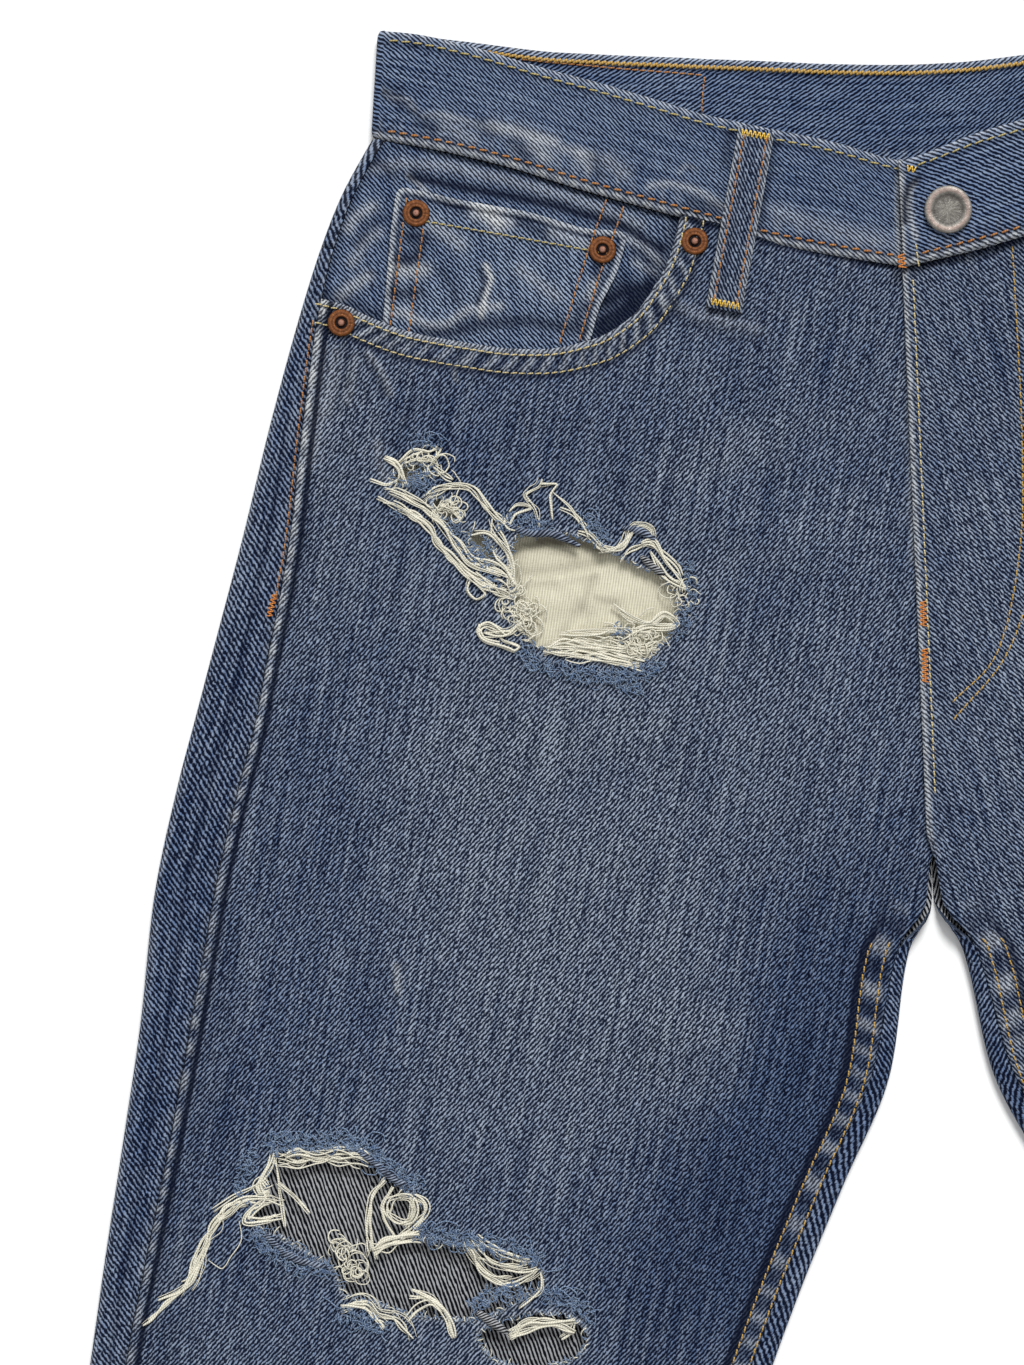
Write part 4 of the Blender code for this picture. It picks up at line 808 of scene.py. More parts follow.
def clipped_faces(values, rows, columns, field, flip=False):
    """Quads of a grid where the field is above nought, cut along its zero line."""
    quads = grid_faces(rows, columns, flip)
    field = field.ravel()
    above = field[quads] > 0.0
    whole = quads[above.all(axis=1)]
    faces = [tuple(face) for face in whole]
    mixed = quads[above.any(axis=1) & ~above.all(axis=1)]
    cuts = {}
    extra = []

    def cut_point(a, b):
        key = (min(a, b), max(a, b))
        if key not in cuts:
            share = field[key[0]] / (field[key[0]] - field[key[1]])
            cuts[key] = len(values) + len(extra)
            extra.append(values[key[0]] * (1.0 - share) + values[key[1]] * share)
        return cuts[key]

    for quad in mixed:
        face = []
        for a, b in zip(quad, np.roll(quad, -1)):
            if field[a] > 0.0:
                face.append(a)
            if (field[a] > 0.0) != (field[b] > 0.0):
                face.append(cut_point(a, b))
        if len(face) >= 3:
            faces.append(tuple(face))
    if extra:
        values = np.vstack([values, np.array(extra)])
    used = np.unique(np.concatenate([np.asarray(face) for face in faces]))
    renumber = np.zeros(len(values), dtype=int)
    renumber[used] = np.arange(len(used))
    return values[used], [tuple(renumber[list(face)]) for face in faces]


def skirt(values, faces, thickness):
    """Walls down from the open edges, which give the cut cloth its thickness."""
    seen = {}
    for face in faces:
        for a, b in zip(face, face[1:] + face[:1]):
            key = (min(a, b), max(a, b))
            seen[key] = None if key in seen else (a, b)
    rim = [edge for edge in seen.values() if edge is not None]
    low = {}
    extra = []
    walls = []
    for a, b in rim:
        for k in (a, b):
            if k not in low:
                low[k] = len(values) + len(extra)
                point = values[k].copy()
                point[2] -= thickness
                extra.append(point)
        walls.append((b, a, low[a], low[b]))
    return np.vstack([values, np.array(extra)]), faces + walls


def photo_points(pixels):
    """Garment millimetres of points that were read off in the photograph's pixels."""
    pixels = np.asarray(pixels, dtype=float)
    right = pixels[:, 0] - PHOTO_CENTRE[0]
    below = pixels[:, 1] - PHOTO_CENTRE[1]
    cos = math.cos(PHOTO_TURN)
    sin = math.sin(PHOTO_TURN)
    return np.stack([right * cos - below * sin, -right * sin - below * cos], axis=1) / PHOTO_SCALE


def traced(x, y, marks):
    """Height, wear and painted shade of marks traced over the photograph."""
    total = [np.zeros(np.shape(x)) for _ in range(3)]
    for mark in marks:
        beside, _ = beside_path(photo_points(mark.points), x, y)
        near = np.exp(-(beside / mark.wide) ** 2)
        for value, amount in zip(total, (mark.rise, mark.wear, mark.deep)):
            value += amount * near
    return total


# Materials

class Shader:
    """A material's nodes, with short calls for the ones that it uses."""

    def __init__(self, name):
        self.material = bpy.data.materials.new(name)
        self.material.use_nodes = True
        self.tree = self.material.node_tree
        self.surface = self.tree.nodes["Principled BSDF"]

    def join(self, source, socket):
        """Link an output to a socket, or set the socket's own value."""
        if isinstance(source, bpy.types.NodeSocket):
            self.tree.links.new(source, socket)
        else:
            socket.default_value = source

    def math(self, operation, first, second=0.0, clamp=False):
        node = self.tree.nodes.new("ShaderNodeMath")
        node.operation = operation
        node.use_clamp = clamp
        self.join(first, node.inputs[0])
        self.join(second, node.inputs[1])
        return node.outputs[0]

    def vector(self, operation, first, second):
        node = self.tree.nodes.new("ShaderNodeVectorMath")
        node.operation = operation
        self.join(first, node.inputs[0])
        self.join(second, node.inputs[1])
        return node.outputs[0]

    def mix(self, share, first, second):
        node = self.tree.nodes.new("ShaderNodeMix")
        node.data_type = "RGBA"
        self.join(share, node.inputs[0])
        for source, socket in ((first, node.inputs[6]), (second, node.inputs[7])):
            self.join((*source, 1.0) if isinstance(source, tuple) else source, socket)
        return node.outputs[2]

    def cloth(self):
        """Cloth coordinates in millimetres."""
        node = self.tree.nodes.new("ShaderNodeUVMap")
        node.uv_map = "cloth"
        return self.vector("MULTIPLY", node.outputs[0], (1000.0, 1000.0, 1000.0))

    def position(self):
        """The object's own coordinates in millimetres."""
        node = self.tree.nodes.new("ShaderNodeTexCoord")
        return self.vector("MULTIPLY", node.outputs["Object"], (1000.0, 1000.0, 1000.0))

    def parts(self, vector):
        node = self.tree.nodes.new("ShaderNodeSeparateXYZ")
        self.join(vector, node.inputs[0])
        return node.outputs[0], node.outputs[1], node.outputs[2]

    def field(self, name):
        node = self.tree.nodes.new("ShaderNodeAttribute")
        node.attribute_name = name
        return node.outputs["Fac"]

    def noise(self, vector, stretch, detail=2.0, roughness=0.5, low=0.3, high=0.7):
        """Noise spread over 0 to 1, with its lumps set by how the coordinates are stretched."""
        node = self.tree.nodes.new("ShaderNodeTexNoise")
        node.inputs["Scale"].default_value = 1.0
        node.inputs["Detail"].default_value = detail
        node.inputs["Roughness"].default_value = roughness
        self.join(self.vector("MULTIPLY", vector, stretch), node.inputs["Vector"])
        return self.span(node.outputs["Fac"], low, high)

    def span(self, value, low, high, to_low=0.0, to_high=1.0):
        """A value's range stretched to another, and held within it."""
        node = self.tree.nodes.new("ShaderNodeMapRange")
        self.join(value, node.inputs["Value"])
        node.inputs["From Min"].default_value = low
        node.inputs["From Max"].default_value = high
        node.inputs["To Min"].default_value = to_low
        node.inputs["To Max"].default_value = to_high
        return node.outputs[0]

    def smooth(self, value, low, high):
        """A value's range turned into 0 to 1 with soft ends."""
        made = self.span(value, low, high)
        made.node.interpolation_type = "SMOOTHSTEP"
        return made

    def wave(self, cycle):
        """A wave from 0 to 1 with one crest in each cycle."""
        node = self.tree.nodes.new("ShaderNodeMath")
        node.operation = "MULTIPLY_ADD"
        self.join(self.math("SINE", self.math("MULTIPLY", cycle, 2.0 * math.pi)), node.inputs[0])
        node.inputs[1].default_value = 0.5
        node.inputs[2].default_value = 0.5
        return node.outputs[0]

    def point(self, first, second):
        """A vector of two values."""
        node = self.tree.nodes.new("ShaderNodeCombineXYZ")
        self.join(first, node.inputs[0])
        self.join(second, node.inputs[1])
        return node.outputs[0]

    def bump(self, height, depth_mm, strength=1.0, under=None):
        node = self.tree.nodes.new("ShaderNodeBump")
        node.inputs["Strength"].default_value = strength
        node.inputs["Distance"].default_value = depth_mm * MM
        self.join(height, node.inputs["Height"])
        if under is not None:
            self.join(under, node.inputs["Normal"])
        return node.outputs[0]

    def plus(self, base, value, amount, clamp=False):
        """A base with so much of a value added."""
        return self.math("ADD", base, self.math("MULTIPLY", value, amount), clamp)

    def about(self, base, value, amount, clamp=False):
        """The same with the value counted from its middle, so that it adds and takes away."""
        return self.plus(base, self.math("SUBTRACT", value, 0.5), amount, clamp)

    def finish(self, colour, roughness, normal, **constants):
        """The material with its surface joined up, and constant values on the surface itself."""
        self.join(colour, self.surface.inputs["Base Color"])
        self.join(roughness, self.surface.inputs["Roughness"])
        if normal is not None:
            self.join(normal, self.surface.inputs["Normal"])
        for name, value in constants.items():
            self.surface.inputs[name.replace("_", " ")].default_value = value
        return self.material


def twill_material(name, dark, light, faded_dark, faded_light, bare, rows=0.48, beads=0.40,
                   floor=0.54, ceiling=0.94):
    """Denim: slanting rows of floats, yarns of uneven thickness and dye, fade, wear, painted shade and bump.
    """
    s = Shader(name)
    place = s.cloth()
    warp = s.noise(place, (2.6, 0.22, 1.0), 2.0, 0.6)
    slub = s.noise(place, (0.80, 0.020, 1.0), 3.0, 0.6, 0.32, 0.68)
    pick = s.noise(place, (0.12, 2.2, 1.0), 2.0, 0.6)
    mottle = s.noise(place, (0.16, 0.11, 1.0), 4.0, 0.6, 0.3, 0.7)
    cloud = s.noise(place, (0.022, 0.014, 1.0), 3.0, 0.5, 0.3, 0.7)
    wander = s.noise(place, (0.5, 0.3, 1.0), 2.0, 0.5, 0.2, 0.8)
    across, along, _ = s.parts(place)
    cycle = s.math("SUBTRACT", s.math("MULTIPLY", along, 1.0 / TWILL_ALONG),
                   s.math("MULTIPLY", across, 1.0 / TWILL_ACROSS))
    cycle = s.plus(cycle, wander, 0.55)
    row = s.wave(cycle)
    slant = s.math("ADD", s.math("MULTIPLY", along, 1.0 / TWILL_ALONG),
                   s.math("MULTIPLY", across, 1.0 / TWILL_ACROSS))
    bead = s.noise(s.point(cycle, slant), (1.15, 0.85, 1.0), 2.0, 0.6, 0.3, 0.7)
    level = s.math("MULTIPLY", row, rows)
    for value, amount in ((bead, beads), (warp, 0.26), (pick, 0.14), (s.field("wear"), 0.12)):
        level = s.plus(level, value, amount)
    level = s.smooth(s.about(level, slub, 0.16), floor, ceiling)
    fade = s.about(s.about(s.field("fade"), slub, 0.55), mottle, 0.34)
    fade = s.about(fade, cloud, 0.26, clamp=True)
    low = s.mix(fade, dark, faded_dark)
    high = s.mix(fade, light, faded_light)
    colour = s.mix(level, low, high)
    worn = s.math("MULTIPLY", s.field("wear"), s.span(level, 0.0, 0.7, 0.12, 1.0), clamp=True)
    colour = s.mix(worn, colour, bare)
    # Painted shade: grooves, creases and the cloth under edges are darkened to the valley colour.
    colour = s.mix(s.math("MULTIPLY", s.field("deep"), 0.9), colour, dark)
    fuzz = s.noise(place, (3.5, 3.5, 1.0), 3.0, 0.7)
    normal = s.bump(s.plus(level, fuzz, 0.30), 0.30, 0.8)
    return s.finish(colour, s.span(level, 0.0, 1.0, 0.95, 0.82), normal,
                    Sheen_Weight=0.02, Sheen_Roughness=0.5, Specular_IOR_Level=0.08)


def pocketing_material():
    """Cream twill of the pocket bag: fine upright ribs, a few yellowed patches, soft grime and painted shade.
    """
    s = Shader("pocketing")
    place = s.cloth()
    across, along, _ = s.parts(place)
    warp = s.noise(place, (3.0, 0.15, 1.0), 2.0, 0.6)
    pick = s.noise(place, (0.3, 3.0, 1.0), 2.0, 0.6)
    stain = s.noise(place, (0.05, 0.05, 1.0), 3.0, 0.6)
    speck = s.noise(place, (0.9, 0.9, 1.0), 2.0, 0.6, 0.62, 0.75)
    cycle = s.math("SUBTRACT", s.math("MULTIPLY", along, 0.20), s.math("MULTIPLY", across, 1.0))
    level = s.plus(s.math("MULTIPLY", s.wave(cycle), 0.5), warp, 0.3)
    level = s.plus(level, pick, 0.2, clamp=True)
    colour = s.mix(level, (0.33, 0.31, 0.23), (0.80, 0.77, 0.61))
    colour = s.mix(s.math("MULTIPLY", stain, 0.35), colour, (0.50, 0.46, 0.34))
    colour = s.mix(s.math("MULTIPLY", speck, 0.4), colour, (0.30, 0.27, 0.20))
    # Painted shade under the hole's edge and in the bag's wrinkles.
    colour = s.mix(s.math("MULTIPLY", s.field("deep"), 0.8), colour, (0.12, 0.11, 0.08))
    return s.finish(colour, 0.9, s.bump(level, 0.2, 0.8), Sheen_Weight=0.06,
                    Specular_IOR_Level=0.12)


def thread_material(name, colour, shade, pale, groove=0.6, spots=0.35):
    """Spun thread: twisted plies, with painted shade in the grooves and worn pale patches."""
    s = Shader(name)
    across, along, _ = s.parts(s.cloth())
    ply = s.wave(s.math("ADD", s.math("MULTIPLY", along, 1.1), across))
    spot = s.noise(s.position(), (spots, spots, spots), 3.0, 0.6)
    mixed = s.mix(s.math("MULTIPLY", spot, 0.55), colour, pale)
    # Painted shade in the grooves between the plies.
    mixed = s.mix(s.math("MULTIPLY", s.math("SUBTRACT", 1.0, ply), groove), mixed, shade)
    return s.finish(mixed, 0.75, s.bump(ply, 0.12, 0.7), Sheen_Weight=0.08,
                    Specular_IOR_Level=0.15)


def metal_material(name, colour, bright, dirt, roughness):
    """Worn metal: tarnish in soft blotches, rays of fine scratches, painted shade in grooves and under rims,
    and painted highlights.
    """
    s = Shader(name)
    place = s.position()
    blotch = s.noise(place, (0.55, 0.55, 0.55), 4.0, 0.65)
    speck = s.noise(place, (2.2, 2.2, 2.2), 3.0, 0.7)
    ray = s.noise(s.cloth(), (0.30, 0.9, 1.0), 3.0, 0.7, 0.36, 0.64)
    mixed = s.mix(s.math("MULTIPLY", blotch, 0.6), colour, bright)
    mixed = s.mix(s.math("MULTIPLY", speck, 0.45), mixed, dirt)
    mixed = s.mix(s.math("MULTIPLY", ray, 0.60), mixed, dirt)
    # Painted shade, near black, in the grooves and under the rim, where the profile asks for it.
    mixed = s.mix(s.field("deep"), mixed, PAINTED_SHADE_BLACK)
    # Painted highlight on the high points of the rivets and the button, from the profile's last column in the
    # wear field.
    mixed = s.mix(s.math("MULTIPLY", s.field("wear"), 0.8), mixed, PAINTED_METAL_HIGHLIGHT)
    rough = s.span(s.math("ADD", s.math("MULTIPLY", speck, 0.5), s.math("MULTIPLY", ray, 0.5)),
                   0.0, 1.0, roughness, roughness + 0.3)
    normal = s.bump(s.math("ADD", speck, ray), 0.10, 0.8)
    return s.finish(mixed, rough, normal, Metallic=0.75)


def floor_material():
    """Matt white paper."""
    s = Shader("paper")
    grainy = s.noise(s.position(), (0.02, 0.02, 0.02), 3.0, 0.5)
    return s.finish(s.mix(grainy, (0.90, 0.90, 0.90), (0.92, 0.92, 0.92)), 0.95, None,
                    Specular_IOR_Level=0.0)


# Heights of the cloth that shows

def fade_at(x, y, fades, start):
    """Sum of the fades over a starting value."""
    total = np.full(x.shape, start)
    for fade in fades:
        turn = math.radians(fade.turn)
        dx = x - fade.x
        dy = y - fade.y
        along = dx * math.sin(turn) + dy * math.cos(turn)
        across = dx * math.cos(turn) - dy * math.sin(turn)
        total += fade.amount * np.exp(-(along / fade.long) ** 2 - (across / fade.wide) ** 2)
    return total


SCOOP_PATH = smooth_path(SCOOP, 2.0)
SCOOP_CLOSING = ((-77.0, 40.0), (-240.0, 60.0), (-240.0, -38.5))


def roping(way, pitch, seed):
    """Uneven waves along a seam, from -1 to 1."""
    way = np.asarray(way, dtype=float)
    shifted = way + 0.9 * pitch * noise(way, 0.0 * way, 4.0 * pitch, seed)
    waves = np.sin(2.0 * math.pi * shifted / pitch)
    return waves * (0.7 + 0.3 * noise(way, 0.0 * way, 2.3 * pitch, seed + 1))


def window(value, low, high, soft):
    """1 between two values, falling softly to 0 outside them."""
    return ease((value - low) / soft + 1.0) * ease((high - value) / soft + 1.0)


def lap_raise(x, y, side):
    """How far a front panel's edge lies above or below the other one's at the fly."""
    fade = ease((y - (CROTCH_Y - LAP_FADE[0])) / LAP_FADE[1])
    return (-FLY_LAP if side > 0.0 else FLY_LAP) * ease((x * side - LAP_RISE[0]) / LAP_RISE[1]) * fade


def outseam_relief(x, y):
    """Height, wear and painted shade of the outseam's ridge, which is puckered along its sewing."""
    away = x - line_x(OUTSEAM_LINE, y)
    rope = roping(-y, 9.5, 11)
    hip = ease((y + 240.0) / 120.0)
    height = 0.85 * window(away, 0.2, 2.2, 1.4) * (0.80 + 0.30 * rope)
    height -= 0.65 * window(away, 3.6, 4.6, 1.2)
    height += 0.30 * rope * window(away, 6.0, 16.0, 8.0)
    wear = 0.72 * window(away, 0.3, 2.2, 0.9) * np.clip(0.30 + 0.50 * rope + 0.45 * hip, 0.0, 1.0)
    # Painted shade in the groove beside the ridge and at the panel's very edge.
    deep = 1.00 * window(away, 3.5, 4.7, 0.8) + 0.7 * window(away, -0.6, 0.0, 0.6)
    return height, wear, deep


def inseam_relief(x, y):
    """The same of the felled inseam: two rows of sewing with puckers between them."""
    below = ease((CROTCH_Y + 6.0 - y) / 20.0)
    away = (line_x(INNER_LINE, y) - 7.0 - x) * 0.92
    rope = roping(-y + 0.5 * away, 11.0, 21)
    height = below * 0.55 * window(away, 0.5, 7.2, 1.8) * (0.55 + 0.55 * rope)
    height -= below * 0.35 * window(away, 8.8, 10.2, 1.6)
    wear = below * 0.60 * window(away, 1.0, 7.0, 1.4) * np.clip(rope, 0.0, 1.0)
    # Painted shade in the groove past the second row and in the valleys between the puckers.
    deep = below * 0.85 * window(away, 8.4, 10.0, 1.4)
    deep += below * 0.60 * window(away, 0.0, 7.5, 1.5) * np.clip(0.1 - rope, 0.0, 1.0)
    return height, wear, deep


def scoop_relief(x, y):
    """The same of the pocket opening's hem: a rolled rim, then slanting puckers between two rows."""
    beside, way = beside_path(SCOOP_PATH, x, y)
    away = -beside
    rope = roping(way + 0.8 * away, 6.3, 31)
    between = window(away, 3.2, 7.6, 1.0)
    height = 0.55 * window(away, 0.0, 1.8, 1.0) + 0.30 * window(away, 0.0, 7.6, 1.2)
    height += 0.45 * rope * between + 0.22 * rope * window(away, 9.5, 15.0, 5.0)
    height -= 0.40 * window(away, 8.9, 9.8, 1.3)
    wear = 0.50 * window(away, 0.0, 1.6, 0.8) * np.clip(0.85 + 0.25 * rope, 0.0, 1.0)
    wear += 0.55 * between * np.clip(1.3 * rope, 0.0, 1.0)
    # Painted shade in the valleys between the puckers and in the groove past the second row.
    deep = 0.85 * between * np.clip(0.1 - rope, 0.0, 1.0)
    deep += 0.75 * window(away, 9.2, 10.2, 1.2)
    return height, wear, deep


def waist_relief(x, y):
    """The same where the panel runs in under the waistband: a hollow in the band's shade."""
    away = edge_at(FRONT_BOTTOM_EDGE, x) - y
    rope = roping(x, 6.0, 33)
    height = 0.25 * rope * window(away, 1.0, 6.0, 5.0)
    return height, 0.0 * away, 0.8 * window(away, -1.0, 1.1, 1.0)


def seam_relief(x, y):
    """Height, wear and painted shade that the seams give a front panel, for x on the right side."""
    parts = [outseam_relief(x, y), inseam_relief(x, y), scoop_relief(x, y), waist_relief(x, y)]
    return [sum(column) for column in zip(*parts)]


def front_height(x, y, side, relief=None):
    """Height of a front panel's face where it shows, for x on that side."""
    mirrored_x = -np.abs(x)
    if relief is None:
        relief = seam_relief(mirrored_x, y)[0]
    creases = RIGHT_CREASES if side > 0.0 else LEFT_CREASES
    soft = ease((mirrored_x - line_x(OUTSEAM_LINE, y)) / 12.0)
    top = front_top(x, y) + lap_raise(x, y, side)
    top = top + soft * ridge_height(x, y, creases)
    top = top + soft * (0.16 * noise(x, y, 26.0, 3) + 0.10 * noise(x, y, 11.0, 4))
    return top + relief


# Pieces

def front_grid(lap, columns, hip_step, leg_step):
    """x and y of a right front panel's points, and how much the fly's edge shows at each of them."""
    hip = np.arange(0.0, HIP_END, hip_step)
    thigh = np.arange(HIP_END, THIGH_END, leg_step)
    leg = np.linspace(THIGH_END, HEM_DOWN, LEG_ROWS)
    down = np.concatenate([hip, thigh, leg])[:, None]
    share = np.linspace(0.0, 1.0, columns)[None, :]
    share = share - EDGE_CROWDING * np.sin(2.0 * math.pi * share)
    section = section_at(down)
    across_x = section.inner_x - section.outer_x
    across_y = section.front_y - section.outer_y
    width = np.hypot(across_x, across_y)
    above_crotch = ease((CROTCH_DOWN - CROTCH_FADE[0] - down) / CROTCH_FADE[1])
    start = section.out_wrap + SEAM
    end = width - (section.in_wrap + SEAM) * (1.0 - above_crotch) + lap * above_crotch
    way = (start + (end - start) * share) / width
    x = section.outer_x + across_x * way
    y = section.outer_y + across_y * way
    y[0] = edge_at(FRONT_BOTTOM_EDGE, x[0]) - SEAM
    return x, y, above_crotch * window((end - start) * (1.0 - share), 0.0, 1.2, 1.2)


def add_wear(x, y, z, fade, wear, deep, field):
    """Add the right front's traced marks and worn holes, and return the field that they are cut by."""
    rise, rubbed, traced_shade = traced(x, y, FRONT_MARKS)
    z += rise
    wear += rubbed
    # Painted shade of the traced creases and edges.
    deep += traced_shade
    for outline in hole_outlines():
        reach = inside_distance(outline, x, y)
        ragged = 1.1 * noise(x, y, 3.4, 7) + 0.7 * noise(x, y, 1.7, 8)
        field = np.maximum(field, reach + ragged * window(reach, -3.0, 3.0, 2.0))
        wear += 0.55 * ease((reach + 1.6) / 1.6)
        fade += 0.18 * ease((reach + 8.0) / 8.0)
        z += 0.60 * ease((reach + 5.0) / 5.0) * (0.4 + 1.0 * noise(x, y, 6.0, 9))
    return field


def front_panel(name, side, size, finishes):
    """A front panel from the outseam to the fly or inseam, cut at the scoop and at its holes."""
    x, y, fly = front_grid(**size)
    height, wear, deep = seam_relief(x, y)
    z = front_height(x * side, y, side, height)
    field = inside_distance(np.vstack([SCOOP_PATH, SCOOP_CLOSING]), x, y)
    if side > 0.0:
        fade = fade_at(x, y, RIGHT_FADES, RIGHT_START_FADE)
        field = add_wear(x, y, z, fade, wear, deep, field)
    else:
        fade = fade_at(x, y, RIGHT_FADES[:LEFT_FADE_COUNT], LEFT_START_FADE)
        wear += 0.8 * fly * (0.75 + 0.25 * roping(-y, 6.0, 41))
    values = table(x * side, y, z, grain(x, y, RIGHT_GRAIN), fade, wear, deep)
    values, faces = clipped_faces(values, *x.shape, -field, flip=side < 0.0)
    cloth = Cloth()
    cloth.add(*skirt(values, faces, DENIM))
    for roll in ROLLS if side > 0.0 else ():
        add_roll(cloth, roll)
    return cloth.make(name, finishes)


# Edges of the holes that have rolled over. Kind 1 shows the cloth's wrong side.
Roll = namedtuple("Roll", "radius lift kind points")
ROLLS = (
    Roll(1.5, 0.3, 0, ((503, 523), (528, 533), (552, 534), (580, 546))),
    Roll(1.4, 0.6, 1, ((640, 556), (652, 566), (664, 576))),
    Roll(1.5, 0.2, 0, ((622, 528), (640, 531), (655, 540))),
    Roll(1.7, 0.4, 1, ((477, 1312), (492, 1322), (508, 1333))),
    Roll(1.5, 0.2, 0, ((262, 1232), (284, 1252), (306, 1262), (330, 1267))),
    Roll(1.5, 0.2, 0, ((354, 1148), (374, 1162), (396, 1180), (420, 1190))),
)


def add_roll(cloth, roll):
    """A hole's edge that is rolled over, as a bent strip of cloth."""
    path = smooth_path(photo_points(roll.points), 1.0)
    run = np.gradient(path, axis=0)
    run = run / np.linalg.norm(run, axis=1, keepdims=True)
    angle = np.linspace(-0.7 * math.pi, 1.1 * math.pi, 15)[None, :]
    share = np.linspace(0.0, 1.0, len(path))[:, None]
    radius = roll.radius * (0.35 + 0.65 * np.sin(math.pi * share) ** 0.5)
    radius = radius * (1.0 + 0.2 * noise(path[:, :1], path[:, 1:], 5.0, 17))
    x = path[:, :1] - run[:, 1:] * radius * np.cos(angle)
    y = path[:, 1:] + run[:, :1] * radius * np.cos(angle)
    ground = front_height(path[:, 0], path[:, 1], 1.0)[:, None]
    z = ground + roll.lift - radius + radius * (1.0 + np.sin(angle))
    u, v = grain(path[:, :1] + radius * angle, path[:, 1:] + 0.0 * angle, RIGHT_GRAIN)
    # Painted shade on the underside of the roll.
    deep = 0.7 * (np.sin(angle) < -0.2) + 0.0 * x
    values = table(x, y, z, (u, v), 0.45, 0.15, deep)
    cloth.add(values, grid_faces(len(path), angle.size), kind=roll.kind)


def hole_outlines():
    """The outlines of the worn holes."""
    outlines = [smooth_path(HOLE_UPPER, 2.0, True), smooth_path(HOLE_LOWER, 2.0, True),
                smooth_path(HOLE_LOW_RIGHT, 2.0, True)]
    return outlines + [small_outline(hole) for hole in SMALL_HOLES]


def outer_fold(section, cloth, steps=14):
    """A back panel's wrap and fold at the outer edge, outside and inside, as ways in and heights."""
    half = EDGE_TOP / 2.0
    angle = np.radians(np.linspace(90.0, -90.0, steps))[None, :]
    share = np.linspace(0.0, 1.0, 10)[None, :-1]
    flat = section.out_wrap + (FOLD_REACH - section.out_wrap) * share
    outside = (np.hstack([flat, FOLD_REACH * (1.0 - np.cos(angle)) + 0.0 * section.out_wrap]),
               np.hstack([EDGE_TOP + 0.0 * flat, half + half * np.sin(angle) + 0.0 * section.out_wrap]))
    inside = (np.hstack([flat, FOLD_REACH - (FOLD_REACH - cloth) * np.cos(angle)]),
              np.hstack([EDGE_TOP - cloth + 0.0 * flat, half + (half - cloth) * np.sin(angle)]))
    return outside, inside


def inner_fold(section, width, down, cloth):
    """The fold at the leg's inner edge, which opens out flat at the crotch."""
    bend = np.clip((down - CROTCH_DOWN) / (FOLDED_DOWN - CROTCH_DOWN), 0.0, 1.0)
    radius = EDGE_TOP / 2.0
    arc = math.pi * radius
    wrap = np.maximum(section.in_wrap - radius, 0.6)
    way = np.concatenate([np.linspace(0.0, 1.0, 10), np.linspace(1.0, 2.0, 6)[1:]])[None, :]
    past = wrap * np.clip(way - 1.0, 0.0, 1.0)
    round_way = arc * np.clip(way, 0.0, 1.0)
    angle = bend * round_way / radius
    safe = np.maximum(bend, 1e-6)
    across = np.where(bend > 0.0, radius / safe * np.sin(angle) + past * np.cos(angle), round_way + past)
    up = np.where(bend > 0.0, radius / safe * (1.0 - np.cos(angle)) + past * np.sin(angle), 0.0)
    inside = (across - cloth * np.sin(angle), up + cloth * np.cos(angle))
    shift = width - across.max(axis=1, keepdims=True)
    return (across + shift, up), (inside[0] + shift, inside[1])


def back_faces(section, width, down, cloth):
    """A back panel's face and wrong side, each as its ways in and its heights."""
    outside, inside = outer_fold(section, cloth)
    fold_out, fold_in = inner_fold(section, width - SEAM / 2.0, down, cloth)
    share = np.linspace(0.0, 1.0, BACK_COLUMNS)[None, 1:-1]
    flat = outside[0][:, -1:] + (fold_out[0][:, :1] - outside[0][:, -1:]) * share
    face = (np.hstack([outside[0], flat, fold_out[0]]),
            np.hstack([outside[1], 0.0 * flat, fold_out[1]]))
    wrong = (np.hstack([inside[0], flat, fold_in[0]]),
             np.hstack([inside[1], cloth + 0.0 * flat, fold_in[1]]))
    return face, wrong


def wrap_relief(section, x, y, way, up, unrolled):
    """Height, wear and painted shade where a back panel comes round the leg's outer edge to the outseam."""
    edge = ease(1.0 - unrolled / 3.0)
    rope = roping(-y, 9.5, 11)
    crown = window(up, 4.0, 9.0, 1.0)
    near = way < 40.0
    wide = ease((section.out_wrap - 9.0) / 6.0)
    bump = crown * (0.25 * edge * rope + 0.12 * noise(x, y, 14.0, 5))
    groove = crown * window(way, section.out_wrap * 0.52, section.out_wrap * 0.56, 1.4)
    height = np.where(near, bump - 0.30 * groove * wide, 0.0)
    wear = 0.35 * edge * crown * near * np.clip(rope, 0.0, 1.0)
    wear += 0.25 * window(way, 0.0, 1.2, 1.6) * (0.6 + 0.4 * noise(x, y, 9.0, 6))
    # Painted shade in the groove along the wrap.
    return height, wear, 0.5 * groove * wide


def grid_rim(rows, columns):
    """The points round a grid's edge, in order."""
    rim = list(range(columns))
    rim += [i * columns + columns - 1 for i in range(1, rows)]
    rim += [(rows - 1) * columns + j for j in range(columns - 2, -1, -1)]
    rim += [i * columns for i in range(rows - 2, 0, -1)]
    return rim


